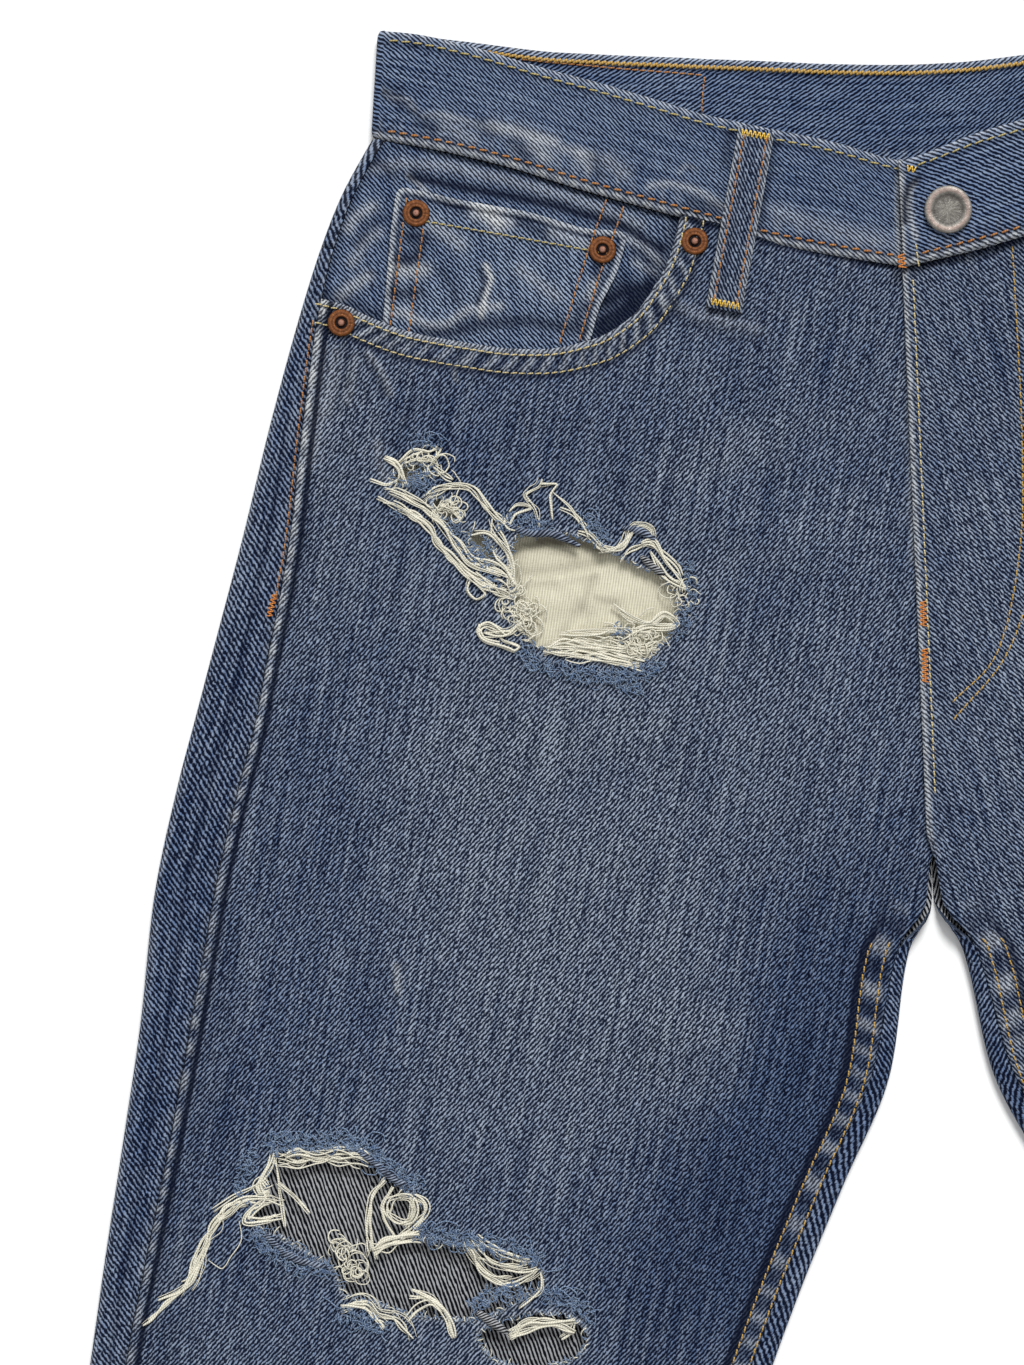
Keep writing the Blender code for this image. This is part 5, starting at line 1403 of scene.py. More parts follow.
def back_piece(name, side, downs, finishes, top_edge=None):
    """A yoke or a back panel, from its edge at the outseam, under the garment, to the inseam."""
    down = np.asarray(downs, dtype=float)[:, None]
    section = section_at(down)
    cloth = np.where(down > HEM_DOWN - HEM_WIDTH, HEM, DENIM)
    across_x = section.inner_x - section.outer_x
    front_run = section.front_y - section.outer_y
    back_run = section.back_y - section.outer_y
    width = np.hypot(across_x, front_run)
    grids = []
    lift = None
    for way, up in back_faces(section, width, down, cloth):
        x = section.outer_x + across_x * way / width
        turn = ease((way - 20.0) / 40.0)
        y = section.outer_y + (front_run + (back_run - front_run) * turn) * way / width
        if top_edge is not None:
            y[0] = edge_at(top_edge, x[0] * side) - SEAM
        fade = 0.28 + 0.12 * noise(x, y, 60.0, 2)
        if lift is None:
            lift = np.where(up < 1.0, back_lift(x * side, y), 0.0)
            step = np.hypot(np.diff(way, axis=1), np.diff(up, axis=1))
            unrolled = np.hstack([np.zeros((len(down), 1)), np.cumsum(step, axis=1)])
            height, wear, deep = wrap_relief(section, x, y, way, up, unrolled)
            uv = grain(section.outer_x + unrolled, y, RIGHT_GRAIN)
        else:
            height, wear, deep = 0.0, 0.0, 0.0
            u, v = grain(x, y, 0.0, -1.0)
            uv = (u, v * WRONG_STEEP)
        grids.append(table(x * side, y, up + lift + height, uv, fade, wear, deep))
    rows, columns = x.shape
    made = Cloth()
    made.add(grids[0], grid_faces(rows, columns, side > 0.0))
    made.add(grids[1], grid_faces(rows, columns, side < 0.0), kind=1)
    rim = grid_rim(rows, columns)
    first = rows * columns
    made.join([(a, first + a, first + b, b) for a, b in zip(rim, rim[1:] + rim[:1])])
    return made.make(name, finishes)


def band_profile(thick, count):
    """Points round the waistband's section: how far down its height, and how far out of the cloth."""
    face = np.linspace(0.0, 1.0, count)
    soft = 0.9 * np.exp(-(np.minimum(face, 1.0 - face) * 37.0 / 1.1) ** 2)
    share = np.concatenate([face, face[::-1]])
    out = np.concatenate([-soft, -thick + soft[::-1]])
    return share, out


def band_fold(side, degrees, share, out):
    """Points of the waistband where it turns round one side, at an angle of the fold."""
    half = BAND_SIDE_TOP / 2.0
    turn = math.radians(degrees)
    front = degrees > 0.0
    edge_x = SIDE_TOP_X + (SIDE_BOTTOM_X - SIDE_TOP_X) * share
    top_y = edge_at(FRONT_TOP_EDGE if front else BACK_TOP_EDGE, side * edge_x)
    low_y = edge_at(FRONT_BOTTOM_EDGE if front else BACK_BOTTOM_EDGE, side * edge_x)
    reach = half + np.maximum(out, -half + 0.12)
    x = side * (edge_x + half - reach * math.cos(turn))
    return x, top_y * (1.0 - share) + low_y * share, half + reach * math.sin(turn)


def band_run(place, t, share, out):
    """Points of the waistband at a share of the way along its right part, its back or its left part."""
    fold = np.array([SIDE_TOP_X, SIDE_BOTTOM_X]) + BAND_SIDE_TOP / 2.0
    first, last = {"right": (BAND_RIGHT_END, fold), "back": (fold, -fold),
                   "left": (-fold, -BAND_LEFT_END)}[place]
    x_top, x_low = first + (last - first) * t
    x = x_top + (x_low - x_top) * share
    if place == "back":
        y = edge_at(BACK_TOP_EDGE, x) * (1.0 - share) + edge_at(BACK_BOTTOM_EDGE, x) * share
        return x, y, back_lift(x, y) - out
    y = edge_at(FRONT_TOP_EDGE, x) * (1.0 - share) + edge_at(FRONT_BOTTOM_EDGE, x) * share
    return x, y, band_front_top(x, 1.0 if place == "left" else 0.0) + out


def band_relief(metre, down):
    """Height, wear, painted shade and fade of the waistband's roped seams, at one station along it."""
    rope_low = roping(np.full(down.shape, metre), 5.8, 51)
    rope_top = roping(np.full(down.shape, metre), 6.6, 61)
    low_hem = window(down, 30.5, 37.0, 1.6)
    top_hem = window(down, 1.0, 4.2, 1.4)
    height = 0.16 * low_hem * rope_low + 0.14 * top_hem * rope_top
    height -= 0.22 * window(down, 3.0, 3.6, 0.9) + 0.26 * window(down, 34.2, 35.2, 1.0)
    height += 0.20 * noise(metre, down, 13.0, 14) + 0.12 * noise(metre, down, 5.0, 15)
    wear = 0.62 * window(down, 0.0, 1.0, 1.0) * (0.65 + 0.35 * rope_top)
    wear += 0.75 * window(down, 35.6, 37.5, 0.8) * (0.75 + 0.25 * rope_low)
    wear += 0.20 * low_hem * np.clip(rope_low, 0.0, 1.0)
    # Painted shade in the grooves beside the two rows of sewing.
    deep = 0.60 * window(down, 33.6, 34.6, 0.7) + 0.45 * window(down, 4.4, 4.9, 0.6)
    return height, wear, deep, 0.38 + 0.22 * noise(metre, down, 34.0, 12)


def waistband(finishes):
    """One strip from its right end, round the back, to its left end over the right one."""
    share, out = band_profile(BAND, BAND_ROWS)
    is_face = np.arange(len(share)) < BAND_ROWS
    down = share * BAND_HEIGHT
    rows = []
    metre = 0.0
    previous = None
    for place, t in [(part.place, t) for part in BAND_PARTS
                     for t in np.linspace(part.first, part.last, part.count)]:
        folded = place.startswith("fold")
        if folded:
            x, y, z = band_fold(1.0 if place == "fold_right" else -1.0, t, share, out)
        else:
            x, y, z = band_run(place, t, share, out)
        middle = (float(x.mean()), float(y.mean()), float(z.mean()))
        metre += math.dist(previous or middle, middle)
        previous = middle
        height, wear, deep, fade = band_relief(metre, down)
        sign = -1.0 if place == "back" else 1.0
        height = sign * height * (0.3 if folded else 1.0)
        z = z + np.where(is_face, height, -0.6 * height)
        if place == "back":
            fade = np.where(is_face, fade, 0.24)
        else:
            wear = wear + (0.7 * ease(1.0 - (1.0 - t) * 190.0 / 2.0) if place == "left" else 0.0)
        if place in ("right", "left"):
            rise, rubbed, traced_shade = traced(x, y, BAND_MARKS)
            z = z + np.where(is_face, rise, 0.0)
            wear = wear + rubbed
            # Painted shade of the traced creases, gaps and the loop's shadow.
            deep = deep + traced_shade
        rows.append(table(x, y, z, (-down, metre), fade, wear, deep))
    faces = np.roll(wrapped_faces(len(rows), len(share))[:, ::-1], 1, axis=1)
    cloth = Cloth()
    cloth.add(np.vstack(rows), faces, tube_ends(len(rows), len(share))[:, ::-1])
    return cloth.make("waistband_cloth", finishes)


def patch(name, outline, height, thick, finish, step, degrees, relief=None, flip=1.0):
    """A flat patch with the given outline: a grid clipped to it, with its edges turned down."""
    outline = np.asarray(outline, dtype=float)
    low = outline.min(axis=0) - step
    high = outline.max(axis=0) + step
    xs = np.arange(low[0], high[0] + step, step)
    ys = np.arange(low[1], high[1] + step, step)
    x, y = np.meshgrid(xs, ys)
    inside = inside_distance(outline, x, y)
    z = np.full(x.shape, height)
    fade = np.full(x.shape, 0.5)
    wear = np.zeros_like(x)
    deep = np.zeros_like(x)
    if relief is not None:
        rise, fade, wear, deep = relief(x, y, inside)
        z = z + rise
    values = table(x, y, z, grain(x, y, degrees, flip), fade, wear, deep)
    values, faces = clipped_faces(values, len(ys), len(xs), inside, flip=True)
    values, faces = skirt(values, faces, thick)
    cloth = Cloth()
    cloth.add(values, faces)
    return cloth.make(name, [finish])


def coin_outline():
    """The coin pocket's outline: as traced where it shows, and straight under the front panel."""
    return np.vstack([smooth_path(photo_points(COIN_TRACE), 1.5), COIN_POCKET[3:], COIN_POCKET[2:3]])


def coin_relief(x, y, inside):
    """Wear of the coin pocket: a thick pale rim with a painted shade line inside it, folds and rubbed spots.
    """
    rise, wear, deep = traced(x, y, COIN_MARKS)
    rope = roping(x * 0.9 - y * 0.4, 6.0, 71)
    rise += 0.45 * window(inside, 0.3, 1.8, 0.8) + 0.15 * noise(x, y, 9.0, 73)
    rise -= 0.30 * window(inside, 2.6, 3.2, 0.8)
    wear += 0.68 * window(inside, 0.0, 1.6, 0.7) * (0.85 + 0.15 * rope)
    # Painted shade in the groove inside the rim.
    deep += 0.60 * window(inside, 2.5, 3.0, 0.6)
    fade = 0.58 + 0.22 * noise(x, y, 14.0, 72)
    return rise, fade, wear, deep


def facing_relief(x, y, inside):
    """The facing's creases and hollows, with painted shade under the scoop's hem and along its edge."""
    rise, wear, deep = traced(x, y, FACING_MARKS)
    fade = 0.44 + 0.22 * noise(x, y, 16.0, 75)
    rise += 0.25 * noise(x, y, 14.0, 76) - 0.2
    beside, _ = beside_path(SCOOP_PATH, x, y)
    # Painted shade under the scoop's hem and along the facing's edge.
    deep += 0.55 * ease(1.0 - (beside - 1.0) / 6.0)
    deep += 0.45 * window(inside, 0.0, 1.0, 1.0)
    return rise, fade, wear, deep


def facing_outline(side):
    """The facing's outline, from the outseam and the waist seam to under the front panel."""
    down = np.arange(0.0, FACING_DOWN + 1.0, 6.0)
    section = section_at(down)
    across_x = section.inner_x - section.outer_x
    across_y = section.front_y - section.outer_y
    width = np.hypot(across_x, across_y)
    start_x = section.outer_x + across_x * (section.out_wrap + SEAM) / width
    start_y = section.outer_y + across_y * (section.out_wrap + SEAM) / width
    end_y = section.outer_y + across_y * (FACING_RIGHT_X - section.outer_x) / across_x
    top_x = np.linspace(start_x[0], FACING_RIGHT_X, 14)
    top_y = edge_at(FRONT_BOTTOM_EDGE, top_x) - SEAM
    left = np.stack([start_x[1:], start_y[1:]], axis=1)
    top = np.stack([top_x, top_y], axis=1)
    right = np.stack([np.full(len(down) - 1, FACING_RIGHT_X), end_y[1:]], axis=1)
    outline = np.vstack([top, right, left[::-1]])
    outline[:, 0] *= side
    return outline if side > 0.0 else outline[::-1]


def pocket_bag(finish):
    """The lower part of the pocket bag, wrinkled softly where it shows through the hole."""
    down = np.linspace(BAG_DOWN[0], BAG_DOWN[1], BAG_GRID[0])[:, None]
    section = section_at(down)
    slope = (section.front_y - section.outer_y) / (section.inner_x - section.outer_x)
    share = np.linspace(0.0, 1.0, BAG_GRID[1])[None, :]
    x = BAG_OUTER_X + (BAG_INNER_X - BAG_OUTER_X) * share + 0.0 * down
    y = section.outer_y + slope * (x - section.outer_x)
    z = back_lift(x, y) + DENIM + BAG_CLEARANCE + POCKETING
    # The traced marks paint shade under the hole's edge and in the wrinkles.
    rise, _, deep = traced(x, y, BAG_MARKS)
    z = z + ridge_height(x, y, BAG_CREASES) + 0.12 * noise(x, y, 8.0, 81) + rise
    made = Cloth()
    values = table(x, y, z, (x, y), 0.5, 0.0, deep)
    faces = [tuple(face) for face in grid_faces(*BAG_GRID)]
    made.add(*skirt(values, faces, POCKETING))
    return made.make("pocket_bag_cloth", [finish])


def loop_strip(name, centres, beside, thick, finish):
    """A belt loop: a folded strip with a crowned face and rounded edges along its centre line."""
    half = LOOP_WIDTH / 2.0
    edge = np.linspace(-1.0, 1.0, LOOP_COLUMNS)
    both = np.concatenate([edge, edge[::-1]])
    under = np.zeros(LOOP_COLUMNS)
    way = np.concatenate([[0.0], np.cumsum(np.linalg.norm(np.diff(centres, axis=0), axis=1))])
    rows = []
    for centre, metre in zip(centres, way):
        rope = roping(np.array([metre]), 5.5, 91)[0]
        rounding = -0.75 * np.abs(edge) ** 8
        ridge = 0.30 * window(np.abs(edge), 0.52, 0.74, 0.16) * (0.7 + 0.3 * rope)
        middle = -0.30 * window(edge, -0.30, -0.24, 0.1) - 0.15 * window(edge, 0.26, 0.30, 0.1)
        wear_edge = 0.80 * window(np.abs(edge), 0.90, 1.0, 0.08) * (0.8 + 0.2 * rope)
        wear_ridge = 0.35 * window(np.abs(edge), 0.55, 0.72, 0.1) * np.clip(rope, 0.0, 1.0)
        z = np.concatenate([centre[2] + rounding + ridge + middle, under + centre[2] - thick])
        wear = np.concatenate([wear_edge + wear_ridge, under])
        # Painted shade in the groove down the loop's face.
        deep = np.concatenate([0.5 * window(edge, -0.32, -0.22, 0.06), under])
        across = np.concatenate([edge * half, edge[::-1] * half + 40.0])
        rows.append(table(centre[0] + beside[0] * half * both, centre[1] + beside[1] * half * both, z,
                          (across, metre), 0.55, wear, deep))
    cloth = Cloth()
    cloth.add(np.vstack(rows), wrapped_faces(len(rows), len(both)), tube_ends(len(rows), len(both)))
    return cloth.make(name, [finish])


def front_loop_line(side, lap):
    """Centre line of a front belt loop's face, and the unit vector across it."""
    run = np.array([FRONT_LOOP_BOTTOM[0] - FRONT_LOOP_TOP[0], FRONT_LOOP_BOTTOM[1] - FRONT_LOOP_TOP[1]])
    length = float(np.hypot(*run))
    beside = np.array([-run[1] / length, run[0] / length])
    share = np.linspace(0.0, 1.0, 60)
    x = FRONT_LOOP_TOP[0] + run[0] * share
    y = FRONT_LOOP_TOP[1] + run[1] * share
    key_share = np.array(FRONT_LOOP_SHARE)
    key_x = FRONT_LOOP_TOP[0] + run[0] * key_share
    key_y = FRONT_LOOP_TOP[1] + run[1] * key_share
    on_band = key_y > edge_at(FRONT_BOTTOM_EDGE, key_x) - 6.0
    seats = []
    for edge in (-0.5, 0.0, 0.5):
        seat_x = (key_x + beside[0] * LOOP_WIDTH * edge) * side
        seat_y = key_y + beside[1] * LOOP_WIDTH * edge
        seats.append(np.where(on_band, band_front_top(seat_x, lap), front_top(seat_x, seat_y)))
    low = np.max(seats, axis=0) + SEAM + 0.05 + np.array(FRONT_LOOP_ARCH)
    z = monotone(key_share, low + LOOP_CLOTH, share)
    return np.stack([x * side, y, z], axis=1), np.array([beside[0] * side, beside[1]])


def turned_piece(name, profile, steps, x, y, z, finish):
    """A turned piece standing at a point. The profile gives radius, height, painted shade and painted
    highlight.
    """
    profile = np.asarray(profile, dtype=float)
    angle = np.linspace(0.0, 2.0 * math.pi, steps, endpoint=False)[None, :]
    radius = profile[:, 0:1]
    count = len(profile)
    values = table(x + radius * np.cos(angle), y + radius * np.sin(angle), z + profile[:, 1:2],
                   (radius + 0.0 * angle, angle * 3.0 + 0.0 * radius), 0.5, profile[:, 3:4],
                   profile[:, 2:3])
    cloth = Cloth()
    cloth.add(values, wrapped_faces(count, steps)[:, ::-1], tube_ends(count, steps)[:, ::-1])
    return cloth.make(name, [finish])


# Rows of radius, height, painted shade and painted highlight
RIVET_SHAPE = (
    (0.05, 1.55, 0.0, 0.6), (0.6, 1.52, 0.0, 0.6), (1.0, 1.38, 0.1, 0.3), (1.25, 1.05, 0.6, 0.0),
    (1.38, 0.60, 1.0, 0.0), (1.65, 0.32, 1.0, 0.0), (2.0, 0.42, 1.0, 0.0), (2.2, 0.78, 0.7, 0.0),
    (2.4, 0.98, 0.0, 0.0), (2.8, 1.08, 0.0, 0.1), (3.1, 0.96, 0.3, 0.0), (3.5, 0.94, 0.3, 0.0),
    (3.8, 1.04, 0.0, 0.1), (4.2, 0.98, 0.0, 0.0), (4.6, 0.78, 0.1, 0.0), (4.82, 0.48, 0.5, 0.0),
    (4.9, 0.20, 0.9, 0.0), (4.85, 0.02, 1.0, 0.0),
    (0.05, 0.0, 1.0, 0.0),
)
BUTTON_SHAPE = (
    (0.05, 4.62, 0.2, 0.0), (2.0, 4.6, 0.3, 0.0), (4.2, 4.5, 0.5, 0.0), (5.2, 4.55, 0.7, 0.0),
    (5.6, 4.75, 0.3, 0.0), (6.0, 5.15, 0.0, 0.0), (6.6, 5.42, 0.0, 0.3), (7.4, 5.5, 0.0, 0.3),
    (8.0, 5.3, 0.0, 0.0), (8.4, 4.9, 0.1, 0.0), (8.5, 4.5, 0.3, 0.0), (8.3, 4.1, 0.6, 0.0),
    (7.6, 3.8, 0.8, 0.0), (2.6, 3.6, 0.9, 0.0), (2.4, 0.1, 1.0, 0.0), (0.05, 0.0, 1.0, 0.0),
)


# Sewing

STITCH_RINGS = ((-0.50, -0.6, 0.45), (-0.40, 0.30, 0.92), (0.0, 0.75, 1.0), (0.40, 0.30, 0.92),
                (0.50, -0.6, 0.45))
STITCH_SIDES = 5
Stitch = namedtuple("Stitch", "pitch length radius slant")
FINE = Stitch(2.9, 2.35, 0.30, 0.12)
BAND_TOP = Stitch(4.3, 3.3, 0.33, 0.10)
BAND_LOW = Stitch(4.2, 2.6, 0.40, 0.14)
CHAIN = Stitch(2.3, 3.0, 0.50, 0.42)
BAR_RADIUS = 0.28


def add_stitches(cloth, path, face, stitch=FINE):
    """A row of stitches along a path, each an arched piece of thread on the cloth's face."""
    length = stitch.length
    radius = stitch.radius
    sides = STITCH_SIDES
    placed, heading = even_path(path, stitch.pitch)
    heading = heading + stitch.slant * np.stack([-heading[:, 1], heading[:, 0]], axis=1)
    rings = np.array(STITCH_RINGS)
    angle = np.linspace(0.0, 2.0 * math.pi, sides, endpoint=False)
    count = len(placed)
    x = placed[:, 0:1] + heading[:, 0:1] * rings[None, :, 0] * length
    y = placed[:, 1:2] + heading[:, 1:2] * rings[None, :, 0] * length
    z = face(x, y) + rings[None, :, 1] * radius
    size = rings[None, :, 2] * radius * np.ones((count, 1))
    ring_x = x[:, :, None] - heading[:, 1:2, None] * size[:, :, None] * np.cos(angle)
    ring_y = y[:, :, None] + heading[:, 0:1, None] * size[:, :, None] * np.cos(angle)
    ring_z = z[:, :, None] + size[:, :, None] * np.sin(angle)
    u = np.broadcast_to(angle / (2.0 * math.pi), ring_x.shape)
    v = np.broadcast_to((rings[:, 0] * length)[None, :, None], ring_x.shape)
    cloth.add(table(ring_x, ring_y, ring_z, (u, v)), wrapped_faces(len(rings), sides, count),
              tube_ends(len(rings), sides, count))


def offset_path(path, distance):
    """A path moved sideways, to its left where the distance is positive."""
    path = np.asarray(path, dtype=float)
    run = np.gradient(path, axis=0)
    run = run / np.maximum(np.linalg.norm(run, axis=1, keepdims=True), 1e-9)
    return path + distance * np.stack([-run[:, 1], run[:, 0]], axis=1)


def add_bartack(cloth, start, end, width, face):
    """A bar of close stitches across a line."""
    start = np.asarray(start, dtype=float)
    end = np.asarray(end, dtype=float)
    run = end - start
    length = float(np.hypot(*run))
    run = run / length
    beside = np.array([-run[1], run[0]])
    count = max(4, int(length / 0.75))
    bar = Stitch(width * 2.0, width, BAR_RADIUS, 0.0)
    for k in range(count):
        middle = start + run * length * (k + 0.5) / count
        lean = 0.35 if k % 2 else -0.35
        reach = width / 2.0
        ends = np.array([middle - beside * reach - run * lean, middle + beside * reach + run * lean])
        add_stitches(cloth, ends, face, bar)


# Loose threads

def add_tube(cloth, path, radius, sides, tip=0.55):
    """A thread through close points."""
    run = np.gradient(path, axis=0)
    run = run / np.maximum(np.linalg.norm(run, axis=1, keepdims=True), 1e-9)
    beside = np.stack([-run[:, 1], run[:, 0], 0.0 * run[:, 0]], axis=1)
    beside = beside / np.maximum(np.linalg.norm(beside, axis=1, keepdims=True), 1e-6)
    up = np.cross(run, beside)
    share = np.linspace(0.0, 1.0, len(path))
    size = radius * (1.0 + (tip - 1.0) * (2.0 * share - 1.0) ** 6)[:, None, None]
    angle = np.linspace(0.0, 2.0 * math.pi, sides, endpoint=False)[None, :, None]
    ring = path[:, None, :] + size * (np.cos(angle) * beside[:, None, :] + np.sin(angle) * up[:, None, :])
    way = np.concatenate([[0.0], np.cumsum(np.linalg.norm(np.diff(path, axis=0), axis=1))])
    values = table(ring[:, :, 0], ring[:, :, 1], ring[:, :, 2], (angle[:, :, 0] / (2.0 * math.pi),
                                                                 way[:, None]))
    cloth.add(values, wrapped_faces(len(path), sides)[:, ::-1], tube_ends(len(path), sides)[:, ::-1])


def thread_ground(x, y):
    """Height where loose threads lie: on the front panel, and sagging a little over its holes."""
    sag = np.zeros_like(x)
    for outline in hole_outlines()[:3]:
        sag = np.maximum(sag, ease(inside_distance(outline, x, y) / 7.0))
    return front_height(x, y, 1.0) - 1.3 * sag


class Threads:
    """Loose threads, gathered first and laid on the cloth together."""

    def __init__(self, seed):
        self.random = np.random.RandomState(seed)
        self.paths = []
        self.sizes = []

    def add(self, points, lift, radius, sides=5):
        """A thread through points, at so much above the cloth."""
        lift = np.broadcast_to(lift, (len(points),))
        self.paths.append(smooth_path(np.column_stack([points, lift]), 0.8))
        self.sizes.append((radius, sides))

    def bundle(self, pixels, count, spread, lift=0.9, radius=0.27):
        """Threads that run together along a path, each straying from it and ending in its own place."""
        path = smooth_path(photo_points(pixels), 3.0)
        run = np.gradient(path, axis=0)
        run = run / np.maximum(np.linalg.norm(run, axis=1, keepdims=True), 1e-9)
        across = np.stack([-run[:, 1], run[:, 0]], axis=1)
        way = 3.0 * np.arange(len(path))
        for _ in range(count):
            phase = self.random.uniform(0.0, 400.0)
            stray = self.random.uniform(-0.7, 0.7) + noise(way, phase + 0.0 * way, 8.0, 3)
            height = lift * (0.75 + 0.7 * noise(way, phase + 9.0 + 0.0 * way, 9.0, 5))
            first = self.random.randint(0, max(1, len(path) // 6))
            last = len(path) - self.random.randint(0, max(1, len(path) // 6))
            moved = (path + spread * stray[:, None] * across)[first:last]
            self.add(moved, height[first:last], radius * self.random.choice((0.55, 0.8, 1.0, 1.5)))

    def curls(self, pixels, wide, per_mm, lift, radius, size):
        """Curly ends all along a path."""
        placed, run = even_path(smooth_path(photo_points(pixels), 2.0), 1.0 / per_mm)
        across = np.stack([-run[:, 1], run[:, 0]], axis=1)
        for point, beside in zip(placed, across):
            steps = self.random.randint(6, 13)
            start = point + beside * wide * self.random.uniform(-0.5, 0.5)
            bend = self.random.choice((-1.0, 1.0)) * self.random.uniform(0.25, 0.85)
            angle = (self.random.uniform(0.0, 2.0 * math.pi)
                     + np.cumsum(bend + self.random.uniform(-0.5, 0.5, steps)))
            walk = np.stack([np.cos(angle), np.sin(angle)], axis=1) * size * self.random.uniform(0.6, 1.1)
            height = lift * self.random.uniform(0.2, 1.0) * (0.6 + 0.5 * np.sin(np.arange(steps)))
            self.add(start + np.cumsum(walk, axis=0), height, radius * self.random.uniform(0.8, 1.2), 4)

    def hairs(self, pixels, wide, per_mm, radius=0.2):
        """Short combed ends that stand out on both sides of a path."""
        placed, run = even_path(smooth_path(photo_points(pixels), 2.0), 1.0 / per_mm)
        rising = 0.3 + 1.1 * np.sin(np.linspace(0.2, 2.6, 7))
        for point, along in zip(placed, run):
            across = np.array([-along[1], along[0]]) * self.random.choice((-1.0, 1.0))
            start = point + across * wide * self.random.uniform(-0.4, 0.5)
            angle = (math.atan2(across[1], across[0]) + self.random.uniform(-0.9, 0.9)
                     + np.cumsum(self.random.uniform(-0.3, 0.3) + self.random.uniform(-0.3, 0.3, 7)))
            length = wide * self.random.uniform(0.6, 1.5)
            walk = np.stack([np.cos(angle), np.sin(angle)], axis=1) * length / 7.0
            self.add(start + np.cumsum(walk, axis=0), rising * self.random.uniform(0.5, 1.0),
                     radius * self.random.uniform(0.6, 1.3), 4)

    def fringe(self, outline, spacing, reach, radius, outward):
        """Short ends out of a worn edge, most of them pointing into the hole."""
        placed, run = even_path(np.vstack([outline, outline[:1]]), spacing)
        for point, along in zip(placed, run):
            into = np.array([along[1], -along[0]])
            if self.random.uniform() < outward:
                into = -into
            length = reach * self.random.uniform(0.4, 1.2)
            angle = (math.atan2(into[1], into[0]) + self.random.uniform(-0.6, 0.6)
                     + self.random.uniform(-0.45, 0.45) * np.arange(6))
            walk = np.stack([np.cos(angle), np.sin(angle)], axis=1) * length / 6.0
            points = np.vstack([point - into, point - into + np.cumsum(walk, axis=0)])
            height = np.array([-0.2, 0.25, 0.4, 0.4, 0.3, 0.1, -0.1]) + self.random.uniform(0.0, 0.4)
            self.add(points, height, radius * self.random.uniform(0.75, 1.2), 4)

    def make(self, name, finish):
        """The mesh object of all the threads."""
        ends = np.cumsum([len(path) for path in self.paths])[:-1]
        points = np.vstack(self.paths)
        points[:, 2] += thread_ground(points[:, 0], points[:, 1])
        cloth = Cloth()
        for path, (radius, sides) in zip(np.split(points, ends), self.sizes):
            add_tube(cloth, path, radius, sides)
        return cloth.make(name, [finish])


# Assembly

def ride_cloth(piece, slot, *nodes, flat=None, area=None, rests_on=()):
    """Fix a piece to the garment, and hide the nodes that it stands for. The slot, flat, area and rests_on
    are not used.
    """
    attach(piece, "root")
    if nodes:
        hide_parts(*nodes)


def surface_area(piece):
    """Area of a piece's faces, in square metres."""
    return sum(polygon.area for polygon in piece.data.polygons)


Finishes = namedtuple("Finishes", "denim wrong crisp cream sewn white blue copper steel")


def materials():
    """All the finishes."""
    return Finishes(
        denim=twill_material("denim", INDIGO_DARK, INDIGO_LIGHT, FADED_DARK, FADED_LIGHT, BARE),
        wrong=twill_material("denim_wrong_side", WRONG_DARK, WRONG_LIGHT, WRONG_DARK, WRONG_LIGHT, BARE,
                             rows=0.90, beads=0.14, floor=0.60, ceiling=1.02),
        crisp=twill_material("denim_crisp", INDIGO_DARK, INDIGO_LIGHT, FADED_DARK, CRISP_LIGHT, BARE,
                             rows=0.70, beads=0.30, floor=0.56, ceiling=0.98),
        cream=pocketing_material(),
        sewn={name: thread_material("thread_" + name, *colours)
              for name, colours in THREAD_COLOURS.items()},
        white=thread_material("thread_white", *WEFT, groove=0.5),
        blue=thread_material("thread_blue", *FUZZ, groove=0.7, spots=0.8),
        copper=metal_material("copper", *COPPER, 0.5),
        steel=metal_material("steel", *STEEL, 0.45),
    )


def add_fronts(denim, wrong):
    """The two front panels."""
    right = front_panel("front_right_cloth", 1.0, RIGHT_FRONT, [denim, wrong])
    left = front_panel("front_left_cloth", -1.0, LEFT_FRONT, [denim])
    ride_cloth(right, "denim", "front_right", flat=FRONT_FLAT, area=surface_area(right),
               rests_on=["back_right_cloth", "pocket_bag_cloth", "pocket_facing_right_cloth"])
    ride_cloth(left, "denim", "front_left", flat=FRONT_FLAT, area=surface_area(left),
               rests_on=["back_left_cloth", "pocket_facing_left_cloth"])


def add_backs(finishes):
    """The yokes and the back panels."""
    yoke_downs = np.linspace(0.0, YOKE_DOWN - SEAM / 2.0, YOKE_ROWS)
    downs = np.concatenate([np.arange(YOKE_DOWN + SEAM / 2.0, BACK_CLOSE_END, BACK_STEP),
                            np.linspace(BACK_CLOSE_END, HEM_STEP[0], BACK_LEG_ROWS),
                            (HEM_STEP[1], HEM_DOWN - 6.0, HEM_DOWN)])
    for name, side in SIDES:
        yoke = back_piece("yoke_%s_cloth" % name, side, yoke_downs, finishes, BACK_BOTTOM_EDGE)
        ride_cloth(yoke, "denim", "yoke_" + name, flat=YOKE_FLAT, area=YOKE_AREA,
                   rests_on=["waistband_cloth"])
        back = back_piece("back_%s_cloth" % name, side, downs, finishes)
        ride_cloth(back, "denim", "back_" + name, flat=BACK_FLAT, area=BACK_AREA,
                   rests_on=["yoke_%s_cloth" % name])


